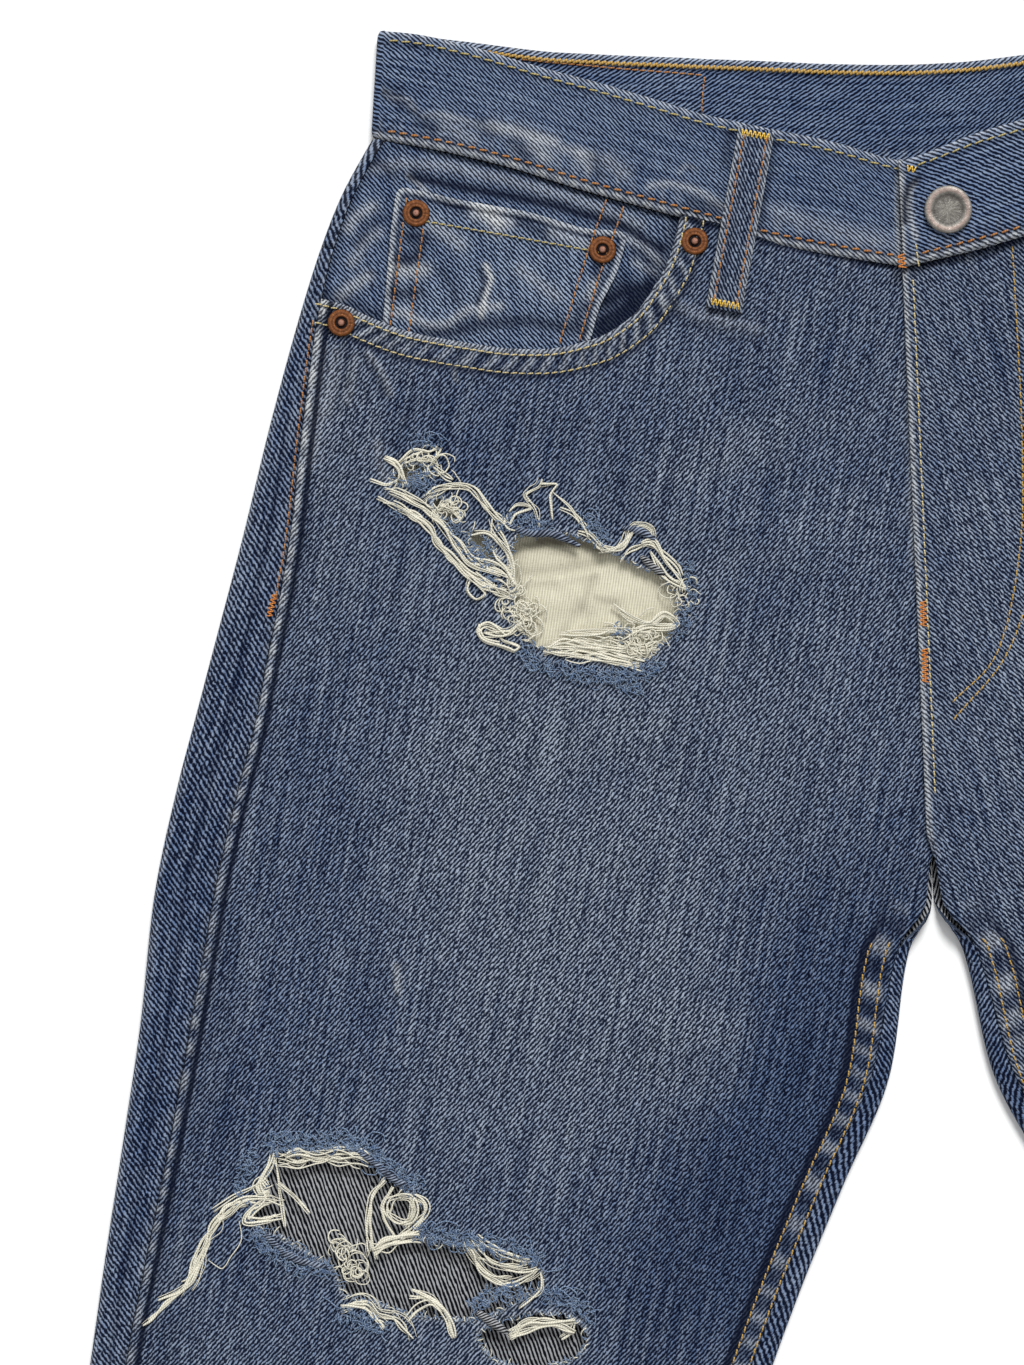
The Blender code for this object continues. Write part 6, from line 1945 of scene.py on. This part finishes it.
def add_front_pockets(crisp, cream):
    """The pocket facings, the coin pocket and the pocket bag."""
    for name, side in SIDES:
        facing = patch("pocket_facing_%s_cloth" % name, facing_outline(side), FACING_TOP, DENIM, crisp,
                       1.2, CROSS_GRAIN, facing_relief if side > 0.0 else None, -1.0)
        ride_cloth(facing, "denim_dark", "pocket_facing_" + name, flat=FACING_FLAT,
                   area=surface_area(facing) * PATCH_SHARE, rests_on=["waistband_cloth"])
    coin = patch("coin_pocket_cloth", coin_outline(), COIN_TOP, COIN_CLOTH, crisp, 0.8, CROSS_GRAIN,
                 coin_relief, -1.0)
    ride_cloth(coin, "denim", "coin_pocket", flat=COIN_FLAT, area=surface_area(coin) * PATCH_SHARE,
               rests_on=["pocket_facing_right_cloth"])
    ride_cloth(pocket_bag(cream), "pocketing", "pocket_bag_right", flat=BAG_FLAT,
               rests_on=["back_right_cloth"])


def add_back_pocket(name, side, finish):
    """A patch pocket on the seat, under the back panel."""
    cos = math.cos(BACK_POCKET_LEAN)
    sin = math.sin(BACK_POCKET_LEAN)
    outline = np.array([((BACK_POCKET_AT[0] + right * cos - below * sin) * side,
                         BACK_POCKET_AT[1] - right * sin - below * cos)
                        for right, below in BACK_POCKET_OUTLINE])
    pocket = patch("back_pocket_%s_cloth" % name, outline, BACK_POCKET, BACK_POCKET, finish, 2.4,
                   RIGHT_GRAIN)
    ride_cloth(pocket, "denim", "back_pocket_" + name, flat=BACK_POCKET_FLAT,
               area=surface_area(pocket) * PATCH_SHARE, rests_on=["back_%s_cloth" % name])


def add_front_loop(name, side, finish):
    """A belt loop on the front of the waistband."""
    line, beside = front_loop_line(side, 0.0 if side > 0.0 else 1.0)
    loop = loop_strip("belt_loop_front_%s_cloth" % name, line, beside, LOOP_CLOTH, finish)
    ride_cloth(loop, "denim", "belt_loop_front_" + name, flat=FRONT_LOOP_FLAT,
               rests_on=["waistband_cloth"])


def add_back_loops(finish):
    """The three belt loops under the back of the waistband."""
    for name, x in (("belt_loop_back_right", -BACK_LOOP_X), ("belt_loop_back", 0.0),
                    ("belt_loop_back_left", BACK_LOOP_X)):
        top = float(edge_at(BACK_TOP_EDGE, np.array([x]))[0]) - 1.5
        low = float(edge_at(BACK_BOTTOM_EDGE, np.array([x]))[0]) - BACK_LOOP_BELOW
        y = np.linspace(top, low, 40)
        line = np.stack([0.0 * y + x, y, 0.0 * y + BACK_LOOP_THICK], axis=1)
        loop = loop_strip(name + "_cloth", line, (1.0, 0.0), BACK_LOOP_THICK, finish)
        ride_cloth(loop, "denim", name, flat=BACK_LOOP_FLAT, rests_on=["waistband_cloth"])


def add_rivets(finish):
    """The copper rivets of the pockets."""
    angle = np.radians(np.arange(0.0, 360.0, 45.0))
    for rivet in RIVETS:
        base = COIN_TOP
        if not rivet.name.startswith("rivet_coin"):
            xs = np.concatenate([[rivet.x], rivet.x + RIVET_RADIUS * np.cos(angle)])
            ys = np.concatenate([[rivet.y], rivet.y + RIVET_RADIUS * np.sin(angle)])
            base = float(front_top(xs, ys).max()) + 0.05
        made = turned_piece(rivet.name + "_cap", RIVET_SHAPE, 40, rivet.x, rivet.y, base + SEAM, finish)
        ride_cloth(made, "copper", rivet.name)


def add_button(finish):
    """The shank button over the waistband's ends."""
    under = float(band_front_top(np.array([BUTTON_X]), 0.0)[0]) + SEAM
    made = turned_piece("button_cap", BUTTON_SHAPE, 64, BUTTON_X, BUTTON_Y, under, finish)
    ride_cloth(made, "steel", "button")


def build():
    """The whole garment."""
    finishes = materials()
    add_fronts(finishes.denim, finishes.wrong)
    add_backs([finishes.denim, finishes.wrong])
    ride_cloth(waistband([finishes.crisp]), "denim", "waistband", flat=BAND_FLAT,
               rests_on=["yoke_right_cloth"])
    add_front_pockets(finishes.crisp, finishes.cream)
    for name, side in SIDES:
        add_back_pocket(name, side, finishes.denim)
        add_front_loop(name, side, finishes.denim)
    add_back_loops(finishes.denim)
    add_rivets(finishes.copper)
    add_button(finishes.steel)
    sewing(finishes.sewn)
    loose_threads(finishes.white, finishes.blue)


# Rows that show on the inside of the back waistband, traced over the photograph
INNER_TRACES = (
    ((520, 58), (560, 62), (620, 68), (703, 74)),
    ((705, 75), (703, 94), (702, 112)),
)

TOP_ROW = 0.085
LOW_ROW = 0.915
SCOOP_ROWS = ((2.2, 2), (8.6, 3))
INSEAM_ROWS = (9.0, 15.4)
FLY_BARS = (((0.2, -157.0), (0.0, -166.0)), ((0.0, -174.0), (-0.2, -186.0)))
FLY_GAUGE = 6.4
COIN_ROWS = (
    ((-177.6, -4.9), (-185.1, -48.7), (-187.0, -60.0)),
    ((-172.1, -16.2), (-178.4, -50.6), (-180.0, -60.0)),
    ((-106.3, -8.7), (-114.2, -28.3), (-125.5, -59.9)),
    ((-100.2, -11.4), (-108.6, -32.1), (-118.5, -59.2)),
)
COIN_TOP_ROW = ((-178.0, -12.5), (-138.6, -21.1), (-108.0, -28.0))


def band_face(lap):
    """Height of the waistband's face where stitches lie on it."""
    return lambda x, y: band_front_top(x, lap) - 0.05


def right_face(x, y):
    """Height of the right front panel's face."""
    return front_height(x, y, 1.0)


def left_face(x, y):
    """Height of the left front panel's face."""
    return front_height(x, y, -1.0)


def inner_face(x, y):
    """Height of the back waistband's inside, which faces up."""
    return back_lift(x, y) + BAND + 0.05


def side_face(x, y):
    """Height of the back panel where it comes round to the outseam."""
    return np.full(np.shape(x), EDGE_TOP + 0.3)


def coin_face(x, y):
    """Height of the coin pocket where stitches lie on it."""
    return np.full(np.shape(x), COIN_TOP + 0.32)


def band_line(down, x0, x1):
    """A line along the front of the waistband at a share of its height."""
    x = np.linspace(x0, x1, 120)
    y = edge_at(FRONT_TOP_EDGE, x) * (1.0 - down) + edge_at(FRONT_BOTTOM_EDGE, x) * down
    return np.stack([x, y], axis=1)


def sew_front(rows, side):
    """The rows on one side of the front: on the waistband, the pocket opening and the inseam."""
    face, lap, x_end = (right_face, 0.0, 0.0) if side > 0.0 else (left_face, 1.0, 4.0)
    for colour, down, start, stitch in (("olive", TOP_ROW, 182.0, BAND_TOP),
                                        ("tan", LOW_ROW, 184.0, BAND_LOW)):
        add_stitches(rows[colour], band_line(down, -start * side, -x_end * side), band_face(lap), stitch)
    scoop = SCOOP_PATH * np.array([side, 1.0])
    for inset, first in SCOOP_ROWS:
        add_stitches(rows["straw"], offset_path(scoop, -inset * side)[first:-1], face)
    y = np.linspace(CROTCH_Y - 14.0, SECTIONS[-1].front_y + 8.0, 500)
    for inset in INSEAM_ROWS:
        inner = line_x(INNER_LINE, y) - inset
        add_stitches(rows["gold"], np.stack([inner * side, y], axis=1), face)


def sew_back_band(rows):
    """The chain along the back waistband's top edge, and the plain rows that show below it."""
    x = np.linspace(-182.0, 182.0, 200)
    line = np.stack([x, edge_at(BACK_TOP_EDGE, x) - 3.2], axis=1)
    add_stitches(rows["gold"], line, inner_face, CHAIN)
    for trace in INNER_TRACES:
        add_stitches(rows["tan"], smooth_path(photo_points(trace), 3.0), inner_face)


def sew_outseam(rows):
    """The short row beside the top of the right outseam, and the bar at its end."""
    y = np.linspace(-47.0, -146.0, 60)
    add_stitches(rows["tan"], np.stack([line_x(OUTSEAM_LINE, y) - 1.3, y], axis=1), side_face)
    add_bartack(rows["orange"], (-233.2, -152.5), (-230.8, -144.5), 2.2, side_face)


def sew_fly(rows):
    """The fly's edge and bars, the waistband's end above it, and the curved rows past it."""
    y = np.linspace(-42.0, -226.0, 60)
    add_stitches(rows["straw"], np.stack([0.0 * y + 1.6, y], axis=1), left_face)
    for start, end in FLY_BARS:
        add_bartack(rows["orange"], start, end, 2.6, left_face)
    add_bartack(rows["orange"], *photo_points(((899, 256), (901, 270))), 3.0, band_face(1.0))
    add_bartack(rows["yellow"], *photo_points(((905, 170), (914, 172))), 2.6, band_face(1.0))
    add_stitches(rows["straw"], photo_points(((913, 236), (917, 269))), band_face(1.0))
    for shift in (0.0, FLY_GAUGE):
        bend = smooth_path(((44.0 - shift, -31.5), (44.5 - shift, -100.0), (42.0 - shift, -140.0),
                            (30.0 - shift * 0.6, -176.0), (9.0, -200.0 + shift)), 3.0)
        add_stitches(rows["gold"], bend, left_face)


def sew_front_loop(rows, side):
    """A front belt loop's two rows, and the bars at its ends."""
    line, beside = front_loop_line(side, 0.0 if side > 0.0 else 1.0)

    def loop_face(x, y):
        return np.interp(-y, -line[:, 1], line[:, 2]) + 0.28

    for shift in (-4.1, 4.1):
        add_stitches(rows["tan"], line[2:-2, :2] + beside * shift, loop_face)
    for row in (2, -3):
        reach = beside * 5.2
        add_bartack(rows["yellow"], line[row, :2] - reach, line[row, :2] + reach, 2.6, loop_face)


def sewing(finishes):
    """All the rows of stitches, one piece for each colour of thread."""
    rows = {name: Cloth() for name in finishes}
    for _, side in SIDES:
        sew_front(rows, side)
    sew_back_band(rows)
    sew_outseam(rows)
    sew_fly(rows)
    for _, side in SIDES:
        sew_front_loop(rows, side)
    for points in COIN_ROWS:
        add_stitches(rows["tan"], smooth_path(points, 3.0), coin_face)
    add_stitches(rows["olive"], smooth_path(COIN_TOP_ROW, 3.0), coin_face)
    for name, finish in finishes.items():
        ride_cloth(rows[name].make("stitches_" + name, [finish]), "thread")


# Loose threads, traced over the photograph in its pixels
Bundle = namedtuple("Bundle", "count spread points")
Curls = namedtuple("Curls", "wide per_mm points")
UPPER_BUNDLES = (
    Bundle(8, 1.2, ((378, 497), (423, 523), (439, 544), (460, 567), (484, 586), (513, 596))),
    Bundle(7, 1.2, ((385, 489), (402, 495), (433, 514), (471, 560), (509, 577))),
    Bundle(5, 1.0, ((423, 499), (439, 491), (454, 487), (469, 489), (479, 499), (492, 514), (509, 529))),
    Bundle(3, 0.8, ((467, 533), (488, 533), (505, 548), (511, 560), (509, 577))),
    Bundle(3, 0.9, ((471, 560), (496, 567), (515, 586))),
    Bundle(3, 0.8, ((475, 573), (500, 590), (515, 594))),
    Bundle(2, 0.6, ((471, 579), (469, 590), (477, 598), (484, 594), (475, 584))),
    Bundle(3, 0.7, ((507, 636), (488, 624), (478, 630), (484, 640), (500, 643))),
    Bundle(3, 0.7, ((538, 527), (536, 510), (525, 495), (538, 486), (541, 479))),
    Bundle(3, 0.6, ((540, 485), (557, 485), (550, 495), (552, 520))),
    Bundle(2, 0.5, ((553, 493), (570, 508), (580, 525))),
    Bundle(2, 0.5, ((509, 512), (517, 506), (530, 508), (515, 514), (507, 527))),
    Bundle(5, 1.0, ((599, 548), (622, 548), (635, 527), (650, 529), (652, 539))),
    Bundle(4, 0.8, ((641, 544), (654, 541), (665, 560), (679, 577), (688, 590))),
    Bundle(3, 0.8, ((650, 552), (665, 577), (686, 590))),
    Bundle(5, 1.0, ((614, 603), (629, 617), (650, 624), (665, 615), (677, 624), (665, 626), (644, 628),
                    (622, 642))),
    Bundle(6, 1.3, ((543, 651), (580, 649), (612, 657), (644, 664))),
    Bundle(4, 1.0, ((559, 632), (580, 632), (618, 630), (660, 631))),
    Bundle(2, 0.6, ((370, 481), (385, 484), (399, 480))),
    Bundle(3, 0.9, ((385, 457), (399, 470), (402, 480))),
    Bundle(3, 0.9, ((399, 464), (414, 451), (429, 453), (439, 449))),
    Bundle(3, 0.9, ((433, 468), (443, 476), (452, 482))),
    Bundle(2, 0.7, ((440, 505), (452, 511), (459, 520), (452, 524))),
    Bundle(4, 1.0, ((493, 519), (495, 532), (504, 546), (510, 559), (513, 572), (510, 586))),
    Bundle(3, 0.9, ((502, 517), (508, 528), (520, 530))),
    Bundle(3, 0.9, ((493, 550), (497, 559), (506, 568), (512, 580))),
    Bundle(3, 0.8, ((406, 486), (402, 472), (396, 462), (385, 457))),
    Bundle(2, 0.7, ((404, 462), (417, 459), (433, 460), (442, 448))),
    Bundle(3, 0.8, ((480, 624), (479, 634), (487, 642), (503, 648), (515, 652), (519, 647),
                    (505, 641), (501, 636))),
    Bundle(4, 1.0, ((484, 632), (497, 634), (510, 632), (519, 624))),
    Bundle(7, 1.5, ((546, 645), (572, 643), (603, 650), (626, 654), (650, 661))),
    Bundle(6, 1.4, ((559, 652), (581, 656), (608, 659), (640, 665))),
    Bundle(5, 1.3, ((588, 640), (612, 644), (640, 648), (658, 644))),
    Bundle(3, 0.8, ((597, 546), (610, 550), (623, 541), (632, 530), (645, 528), (653, 536))),
    Bundle(3, 0.8, ((621, 561), (630, 550), (648, 546), (663, 555), (677, 569), (683, 584))),
    Bundle(3, 0.7, ((578, 530), (588, 534), (598, 544), (604, 552))),
    Bundle(2, 0.6, ((560, 508), (572, 514), (584, 526), (590, 538))),
)
UPPER_TUFTS = (
    Curls(4.0, 3.0, ((505, 592), (516, 600))),
    Curls(4.5, 4.0, ((519, 604), (526, 616), (522, 630))),
    Curls(3.0, 2.0, ((412, 460), (424, 460), (436, 464))),
    Curls(2.5, 2.5, ((436, 506), (456, 514))),
    Curls(2.5, 1.6, ((672, 592), (692, 602))),
    Curls(3.0, 2.4, ((612, 640), (636, 643), (656, 640))),
)
LOWER_BUNDLES = (
    Bundle(9, 2.6, ((278, 1159), (300, 1158), (323, 1157), (346, 1157), (369, 1160))),
    Bundle(9, 1.9, ((284, 1203), (261, 1200), (240, 1203), (219, 1221), (207, 1242), (198, 1263),
                    (190, 1281), (178, 1294))),
    Bundle(4, 0.7, ((200, 1260), (190, 1281), (172, 1299), (142, 1325))),
    Bundle(3, 0.5, ((192, 1280), (178, 1291), (158, 1300))),
    Bundle(4, 1.0, ((282, 1216), (264, 1219), (246, 1221), (252, 1209), (272, 1197))),
    Bundle(1, 0.3, ((238, 1214), (242, 1239), (231, 1257), (222, 1269), (208, 1261))),
    Bundle(2, 0.6, ((213, 1210), (234, 1195), (255, 1186), (267, 1179))),
    Bundle(3, 0.9, ((273, 1153), (270, 1166), (260, 1184), (264, 1197), (254, 1208))),
    Bundle(2, 0.6, ((276, 1156), (279, 1180), (282, 1197), (286, 1227))),
    Bundle(2, 0.7, ((278, 1182), (295, 1200), (308, 1215))),
    Bundle(3, 0.7, ((268, 1186), (262, 1180), (256, 1186), (260, 1194), (270, 1192))),
    Bundle(4, 1.1, ((385, 1180), (373, 1197), (368, 1218), (369, 1239), (371, 1258))),
    Bundle(3, 0.9, ((392, 1186), (381, 1206), (386, 1224), (395, 1239))),
    Bundle(4, 0.9, ((400, 1196), (390, 1202), (389, 1214), (398, 1222), (410, 1220), (415, 1209), (410, 1198),
                    (398, 1197))),
    Bundle(4, 1.0, ((412, 1196), (424, 1202), (425, 1213), (415, 1226), (400, 1239))),
    Bundle(3, 0.8, ((413, 1197), (411, 1212), (406, 1228))),
    Bundle(8, 1.9, ((372, 1250), (388, 1244), (404, 1240), (420, 1237))),
    Bundle(3, 0.8, ((400, 1239), (377, 1251), (376, 1260))),
)
LOWER_TUFTS = (
    Curls(2.4, 2.2, ((336, 1242), (344, 1252), (352, 1266), (356, 1278))),
)
MIDDLE_BUNDLES = (
    Bundle(5, 1.1, ((467, 1241), (470, 1251), (484, 1273), (508, 1284), (532, 1275), (541, 1267))),
    Bundle(4, 1.1, ((470, 1240), (480, 1254), (496, 1265), (520, 1270), (536, 1265))),
    Bundle(4, 1.1, ((475, 1238), (486, 1247), (502, 1253), (529, 1261))),
    Bundle(3, 0.9, ((470, 1246), (478, 1263), (494, 1276), (512, 1278))),
    Bundle(2, 0.6, ((541, 1272), (542, 1288), (530, 1300), (519, 1308))),
    Bundle(5, 1.4, ((341, 1299), (368, 1299), (380, 1311), (395, 1314), (406, 1325), (414, 1338))),
    Bundle(4, 1.3, ((341, 1308), (362, 1307), (378, 1318), (386, 1327))),
    Bundle(4, 1.1, ((410, 1295), (430, 1301), (446, 1318), (453, 1338))),
    Bundle(3, 0.9, ((406, 1320), (416, 1310), (431, 1304), (442, 1312))),
    Bundle(5, 1.4, ((507, 1335), (529, 1323), (550, 1322), (575, 1319))),
    Bundle(5, 1.3, ((510, 1337), (534, 1329), (556, 1326), (574, 1334))),
    Bundle(3, 1.0, ((575, 1320), (571, 1330), (560, 1338))),
)
BLUE_FUZZ = (
    Curls(2.4, 1.5, ((522, 646), (532, 660), (552, 668), (580, 674), (612, 676), (640, 674), (660, 664))),
    Curls(2.4, 1.2, ((616, 678), (628, 686), (640, 686))),
    Curls(2.4, 1.2, ((580, 516), (594, 528), (606, 542))),
    Curls(2.0, 0.9, ((412, 438), (426, 441), (442, 446))),
    Curls(3.0, 1.8, ((410, 474), (422, 480), (431, 488))),
    Curls(1.8, 0.7, ((394, 507), (402, 516))),
    Curls(2.4, 1.4, ((500, 524), (524, 524), (548, 530))),
    Curls(2.0, 0.8, ((684, 560), (692, 584), (688, 612), (674, 638))),
    Curls(1.8, 2.4, ((618, 630), (628, 634))),
    Curls(2.0, 0.9, ((490, 540), (486, 566), (494, 590))),
    Curls(2.2, 0.9, ((449, 520), (464, 544), (480, 560))),
    Curls(2.8, 1.7, ((268, 1143), (300, 1144), (354, 1141), (373, 1154), (394, 1173), (421, 1185))),
    Curls(2.6, 1.6, ((418, 1230), (464, 1240), (501, 1244), (542, 1260))),
    Curls(2.8, 1.6, ((252, 1230), (272, 1250), (298, 1265), (330, 1270))),
    Curls(2.4, 1.5, ((469, 1308), (496, 1294), (526, 1292))),
    Curls(2.4, 1.5, ((542, 1292), (566, 1301), (590, 1314))),
    Curls(2.6, 1.5, ((337, 1311), (360, 1320), (384, 1330))),
    Curls(2.2, 1.1, ((254, 1150), (243, 1176), (242, 1204))),
)

# How thickly they are laid: bundles, white tufts, and blue fuzz of curls and combed hairs
BUNDLE_SPREAD = 1.35
TUFT_CURL = {"lift": 1.8, "radius": 0.24, "size": 1.5}
FUZZ_CURL = {"lift": 1.6, "radius": 0.23, "size": 1.25}
FUZZ_CURL_SHARE = 0.30
FUZZ_HAIR_SHARE = 3.4
FUZZ_HAIR_WIDER = 0.4

# The short ends out of a hole's edge: their spacing and reach, and how many point away from it
Fringe = namedtuple("Fringe", "spacing reach radius outward")
LARGE_WHITE = Fringe(3.6, 3.6, 0.2, 0.0)
LARGE_BLUE = Fringe(1.1, 3.0, 0.17, 0.35)
SMALL_WHITE = Fringe(2.2, 4.0, 0.2, 0.0)
SMALL_BLUE = Fringe(0.8, 2.6, 0.16, 0.35)


def loose_threads(white, blue):
    """The frayed edges of the holes and the long threads that hang over them."""
    outlines = hole_outlines()
    upper = Threads(1)
    lower = Threads(2)
    middle = Threads(3)
    fuzz = Threads(4)
    for threads, bundles, tufts in ((upper, UPPER_BUNDLES, UPPER_TUFTS),
                                    (lower, LOWER_BUNDLES, LOWER_TUFTS),
                                    (middle, MIDDLE_BUNDLES, ())):
        for bundle in bundles:
            threads.bundle(bundle.points, bundle.count + bundle.count // 2,
                           bundle.spread * BUNDLE_SPREAD)
        for tuft in tufts:
            threads.curls(tuft.points, tuft.wide, tuft.per_mm, **TUFT_CURL)
    for curls in BLUE_FUZZ:
        fuzz.curls(curls.points, curls.wide, curls.per_mm * FUZZ_CURL_SHARE, **FUZZ_CURL)
        fuzz.hairs(curls.points, curls.wide + FUZZ_HAIR_WIDER, curls.per_mm * FUZZ_HAIR_SHARE)
    for outline, threads in zip(outlines, (upper, lower, middle)):
        threads.fringe(outline, *LARGE_WHITE)
        fuzz.fringe(outline, *LARGE_BLUE)
    for outline in outlines[3:]:
        upper.fringe(outline, *SMALL_WHITE)
        fuzz.fringe(outline, *SMALL_BLUE)
    ride_cloth(upper.make("threads_upper", white), "thread", "fray_upper")
    ride_cloth(lower.make("threads_lower", white), "thread", "fray_lower")
    ride_cloth(middle.make("threads_low_middle", white), "thread", "fray_low_middle")
    ride_cloth(fuzz.make("threads_blue", blue), "thread")


# Light, floor and camera

def studio():
    """White paper, soft light from above the waist, and a camera that looks straight down."""
    scene = bpy.context.scene
    mesh = bpy.data.meshes.new("paper")
    mesh.from_pydata([(x * FLOOR_REACH, y * FLOOR_REACH, 0.0)
                      for x, y in ((-1.0, -1.0), (1.0, -1.0), (1.0, 1.0), (-1.0, 1.0))], [],
                     [(0, 1, 2, 3)])
    mesh.materials.append(floor_material())
    floor = bpy.data.objects.new("paper", mesh)
    scene.collection.objects.link(floor)
    world = bpy.data.worlds.new("studio")
    scene.world = world
    world.use_nodes = True
    world.node_tree.nodes["Background"].inputs["Color"].default_value = (1.0, 1.0, 1.0, 1.0)
    world.node_tree.nodes["Background"].inputs["Strength"].default_value = SKY_STRENGTH
    key = bpy.data.lights.new("key", "SUN")
    key.energy = KEY_ENERGY
    key.angle = KEY_SPREAD
    light = bpy.data.objects.new("key", key)
    light.rotation_euler = KEY_TURN
    scene.collection.objects.link(light)
    camera = bpy.data.cameras.new("camera")
    camera.lens = CAMERA_LENS
    camera.clip_start = CAMERA_NEAR
    view = bpy.data.objects.new("camera", camera)
    view.location = CAMERA_AT
    view.rotation_euler = (0.0, 0.0, -PHOTO_TURN)
    scene.collection.objects.link(view)
    scene.camera = view
    scene.view_settings.view_transform = "Standard"


build()
studio()
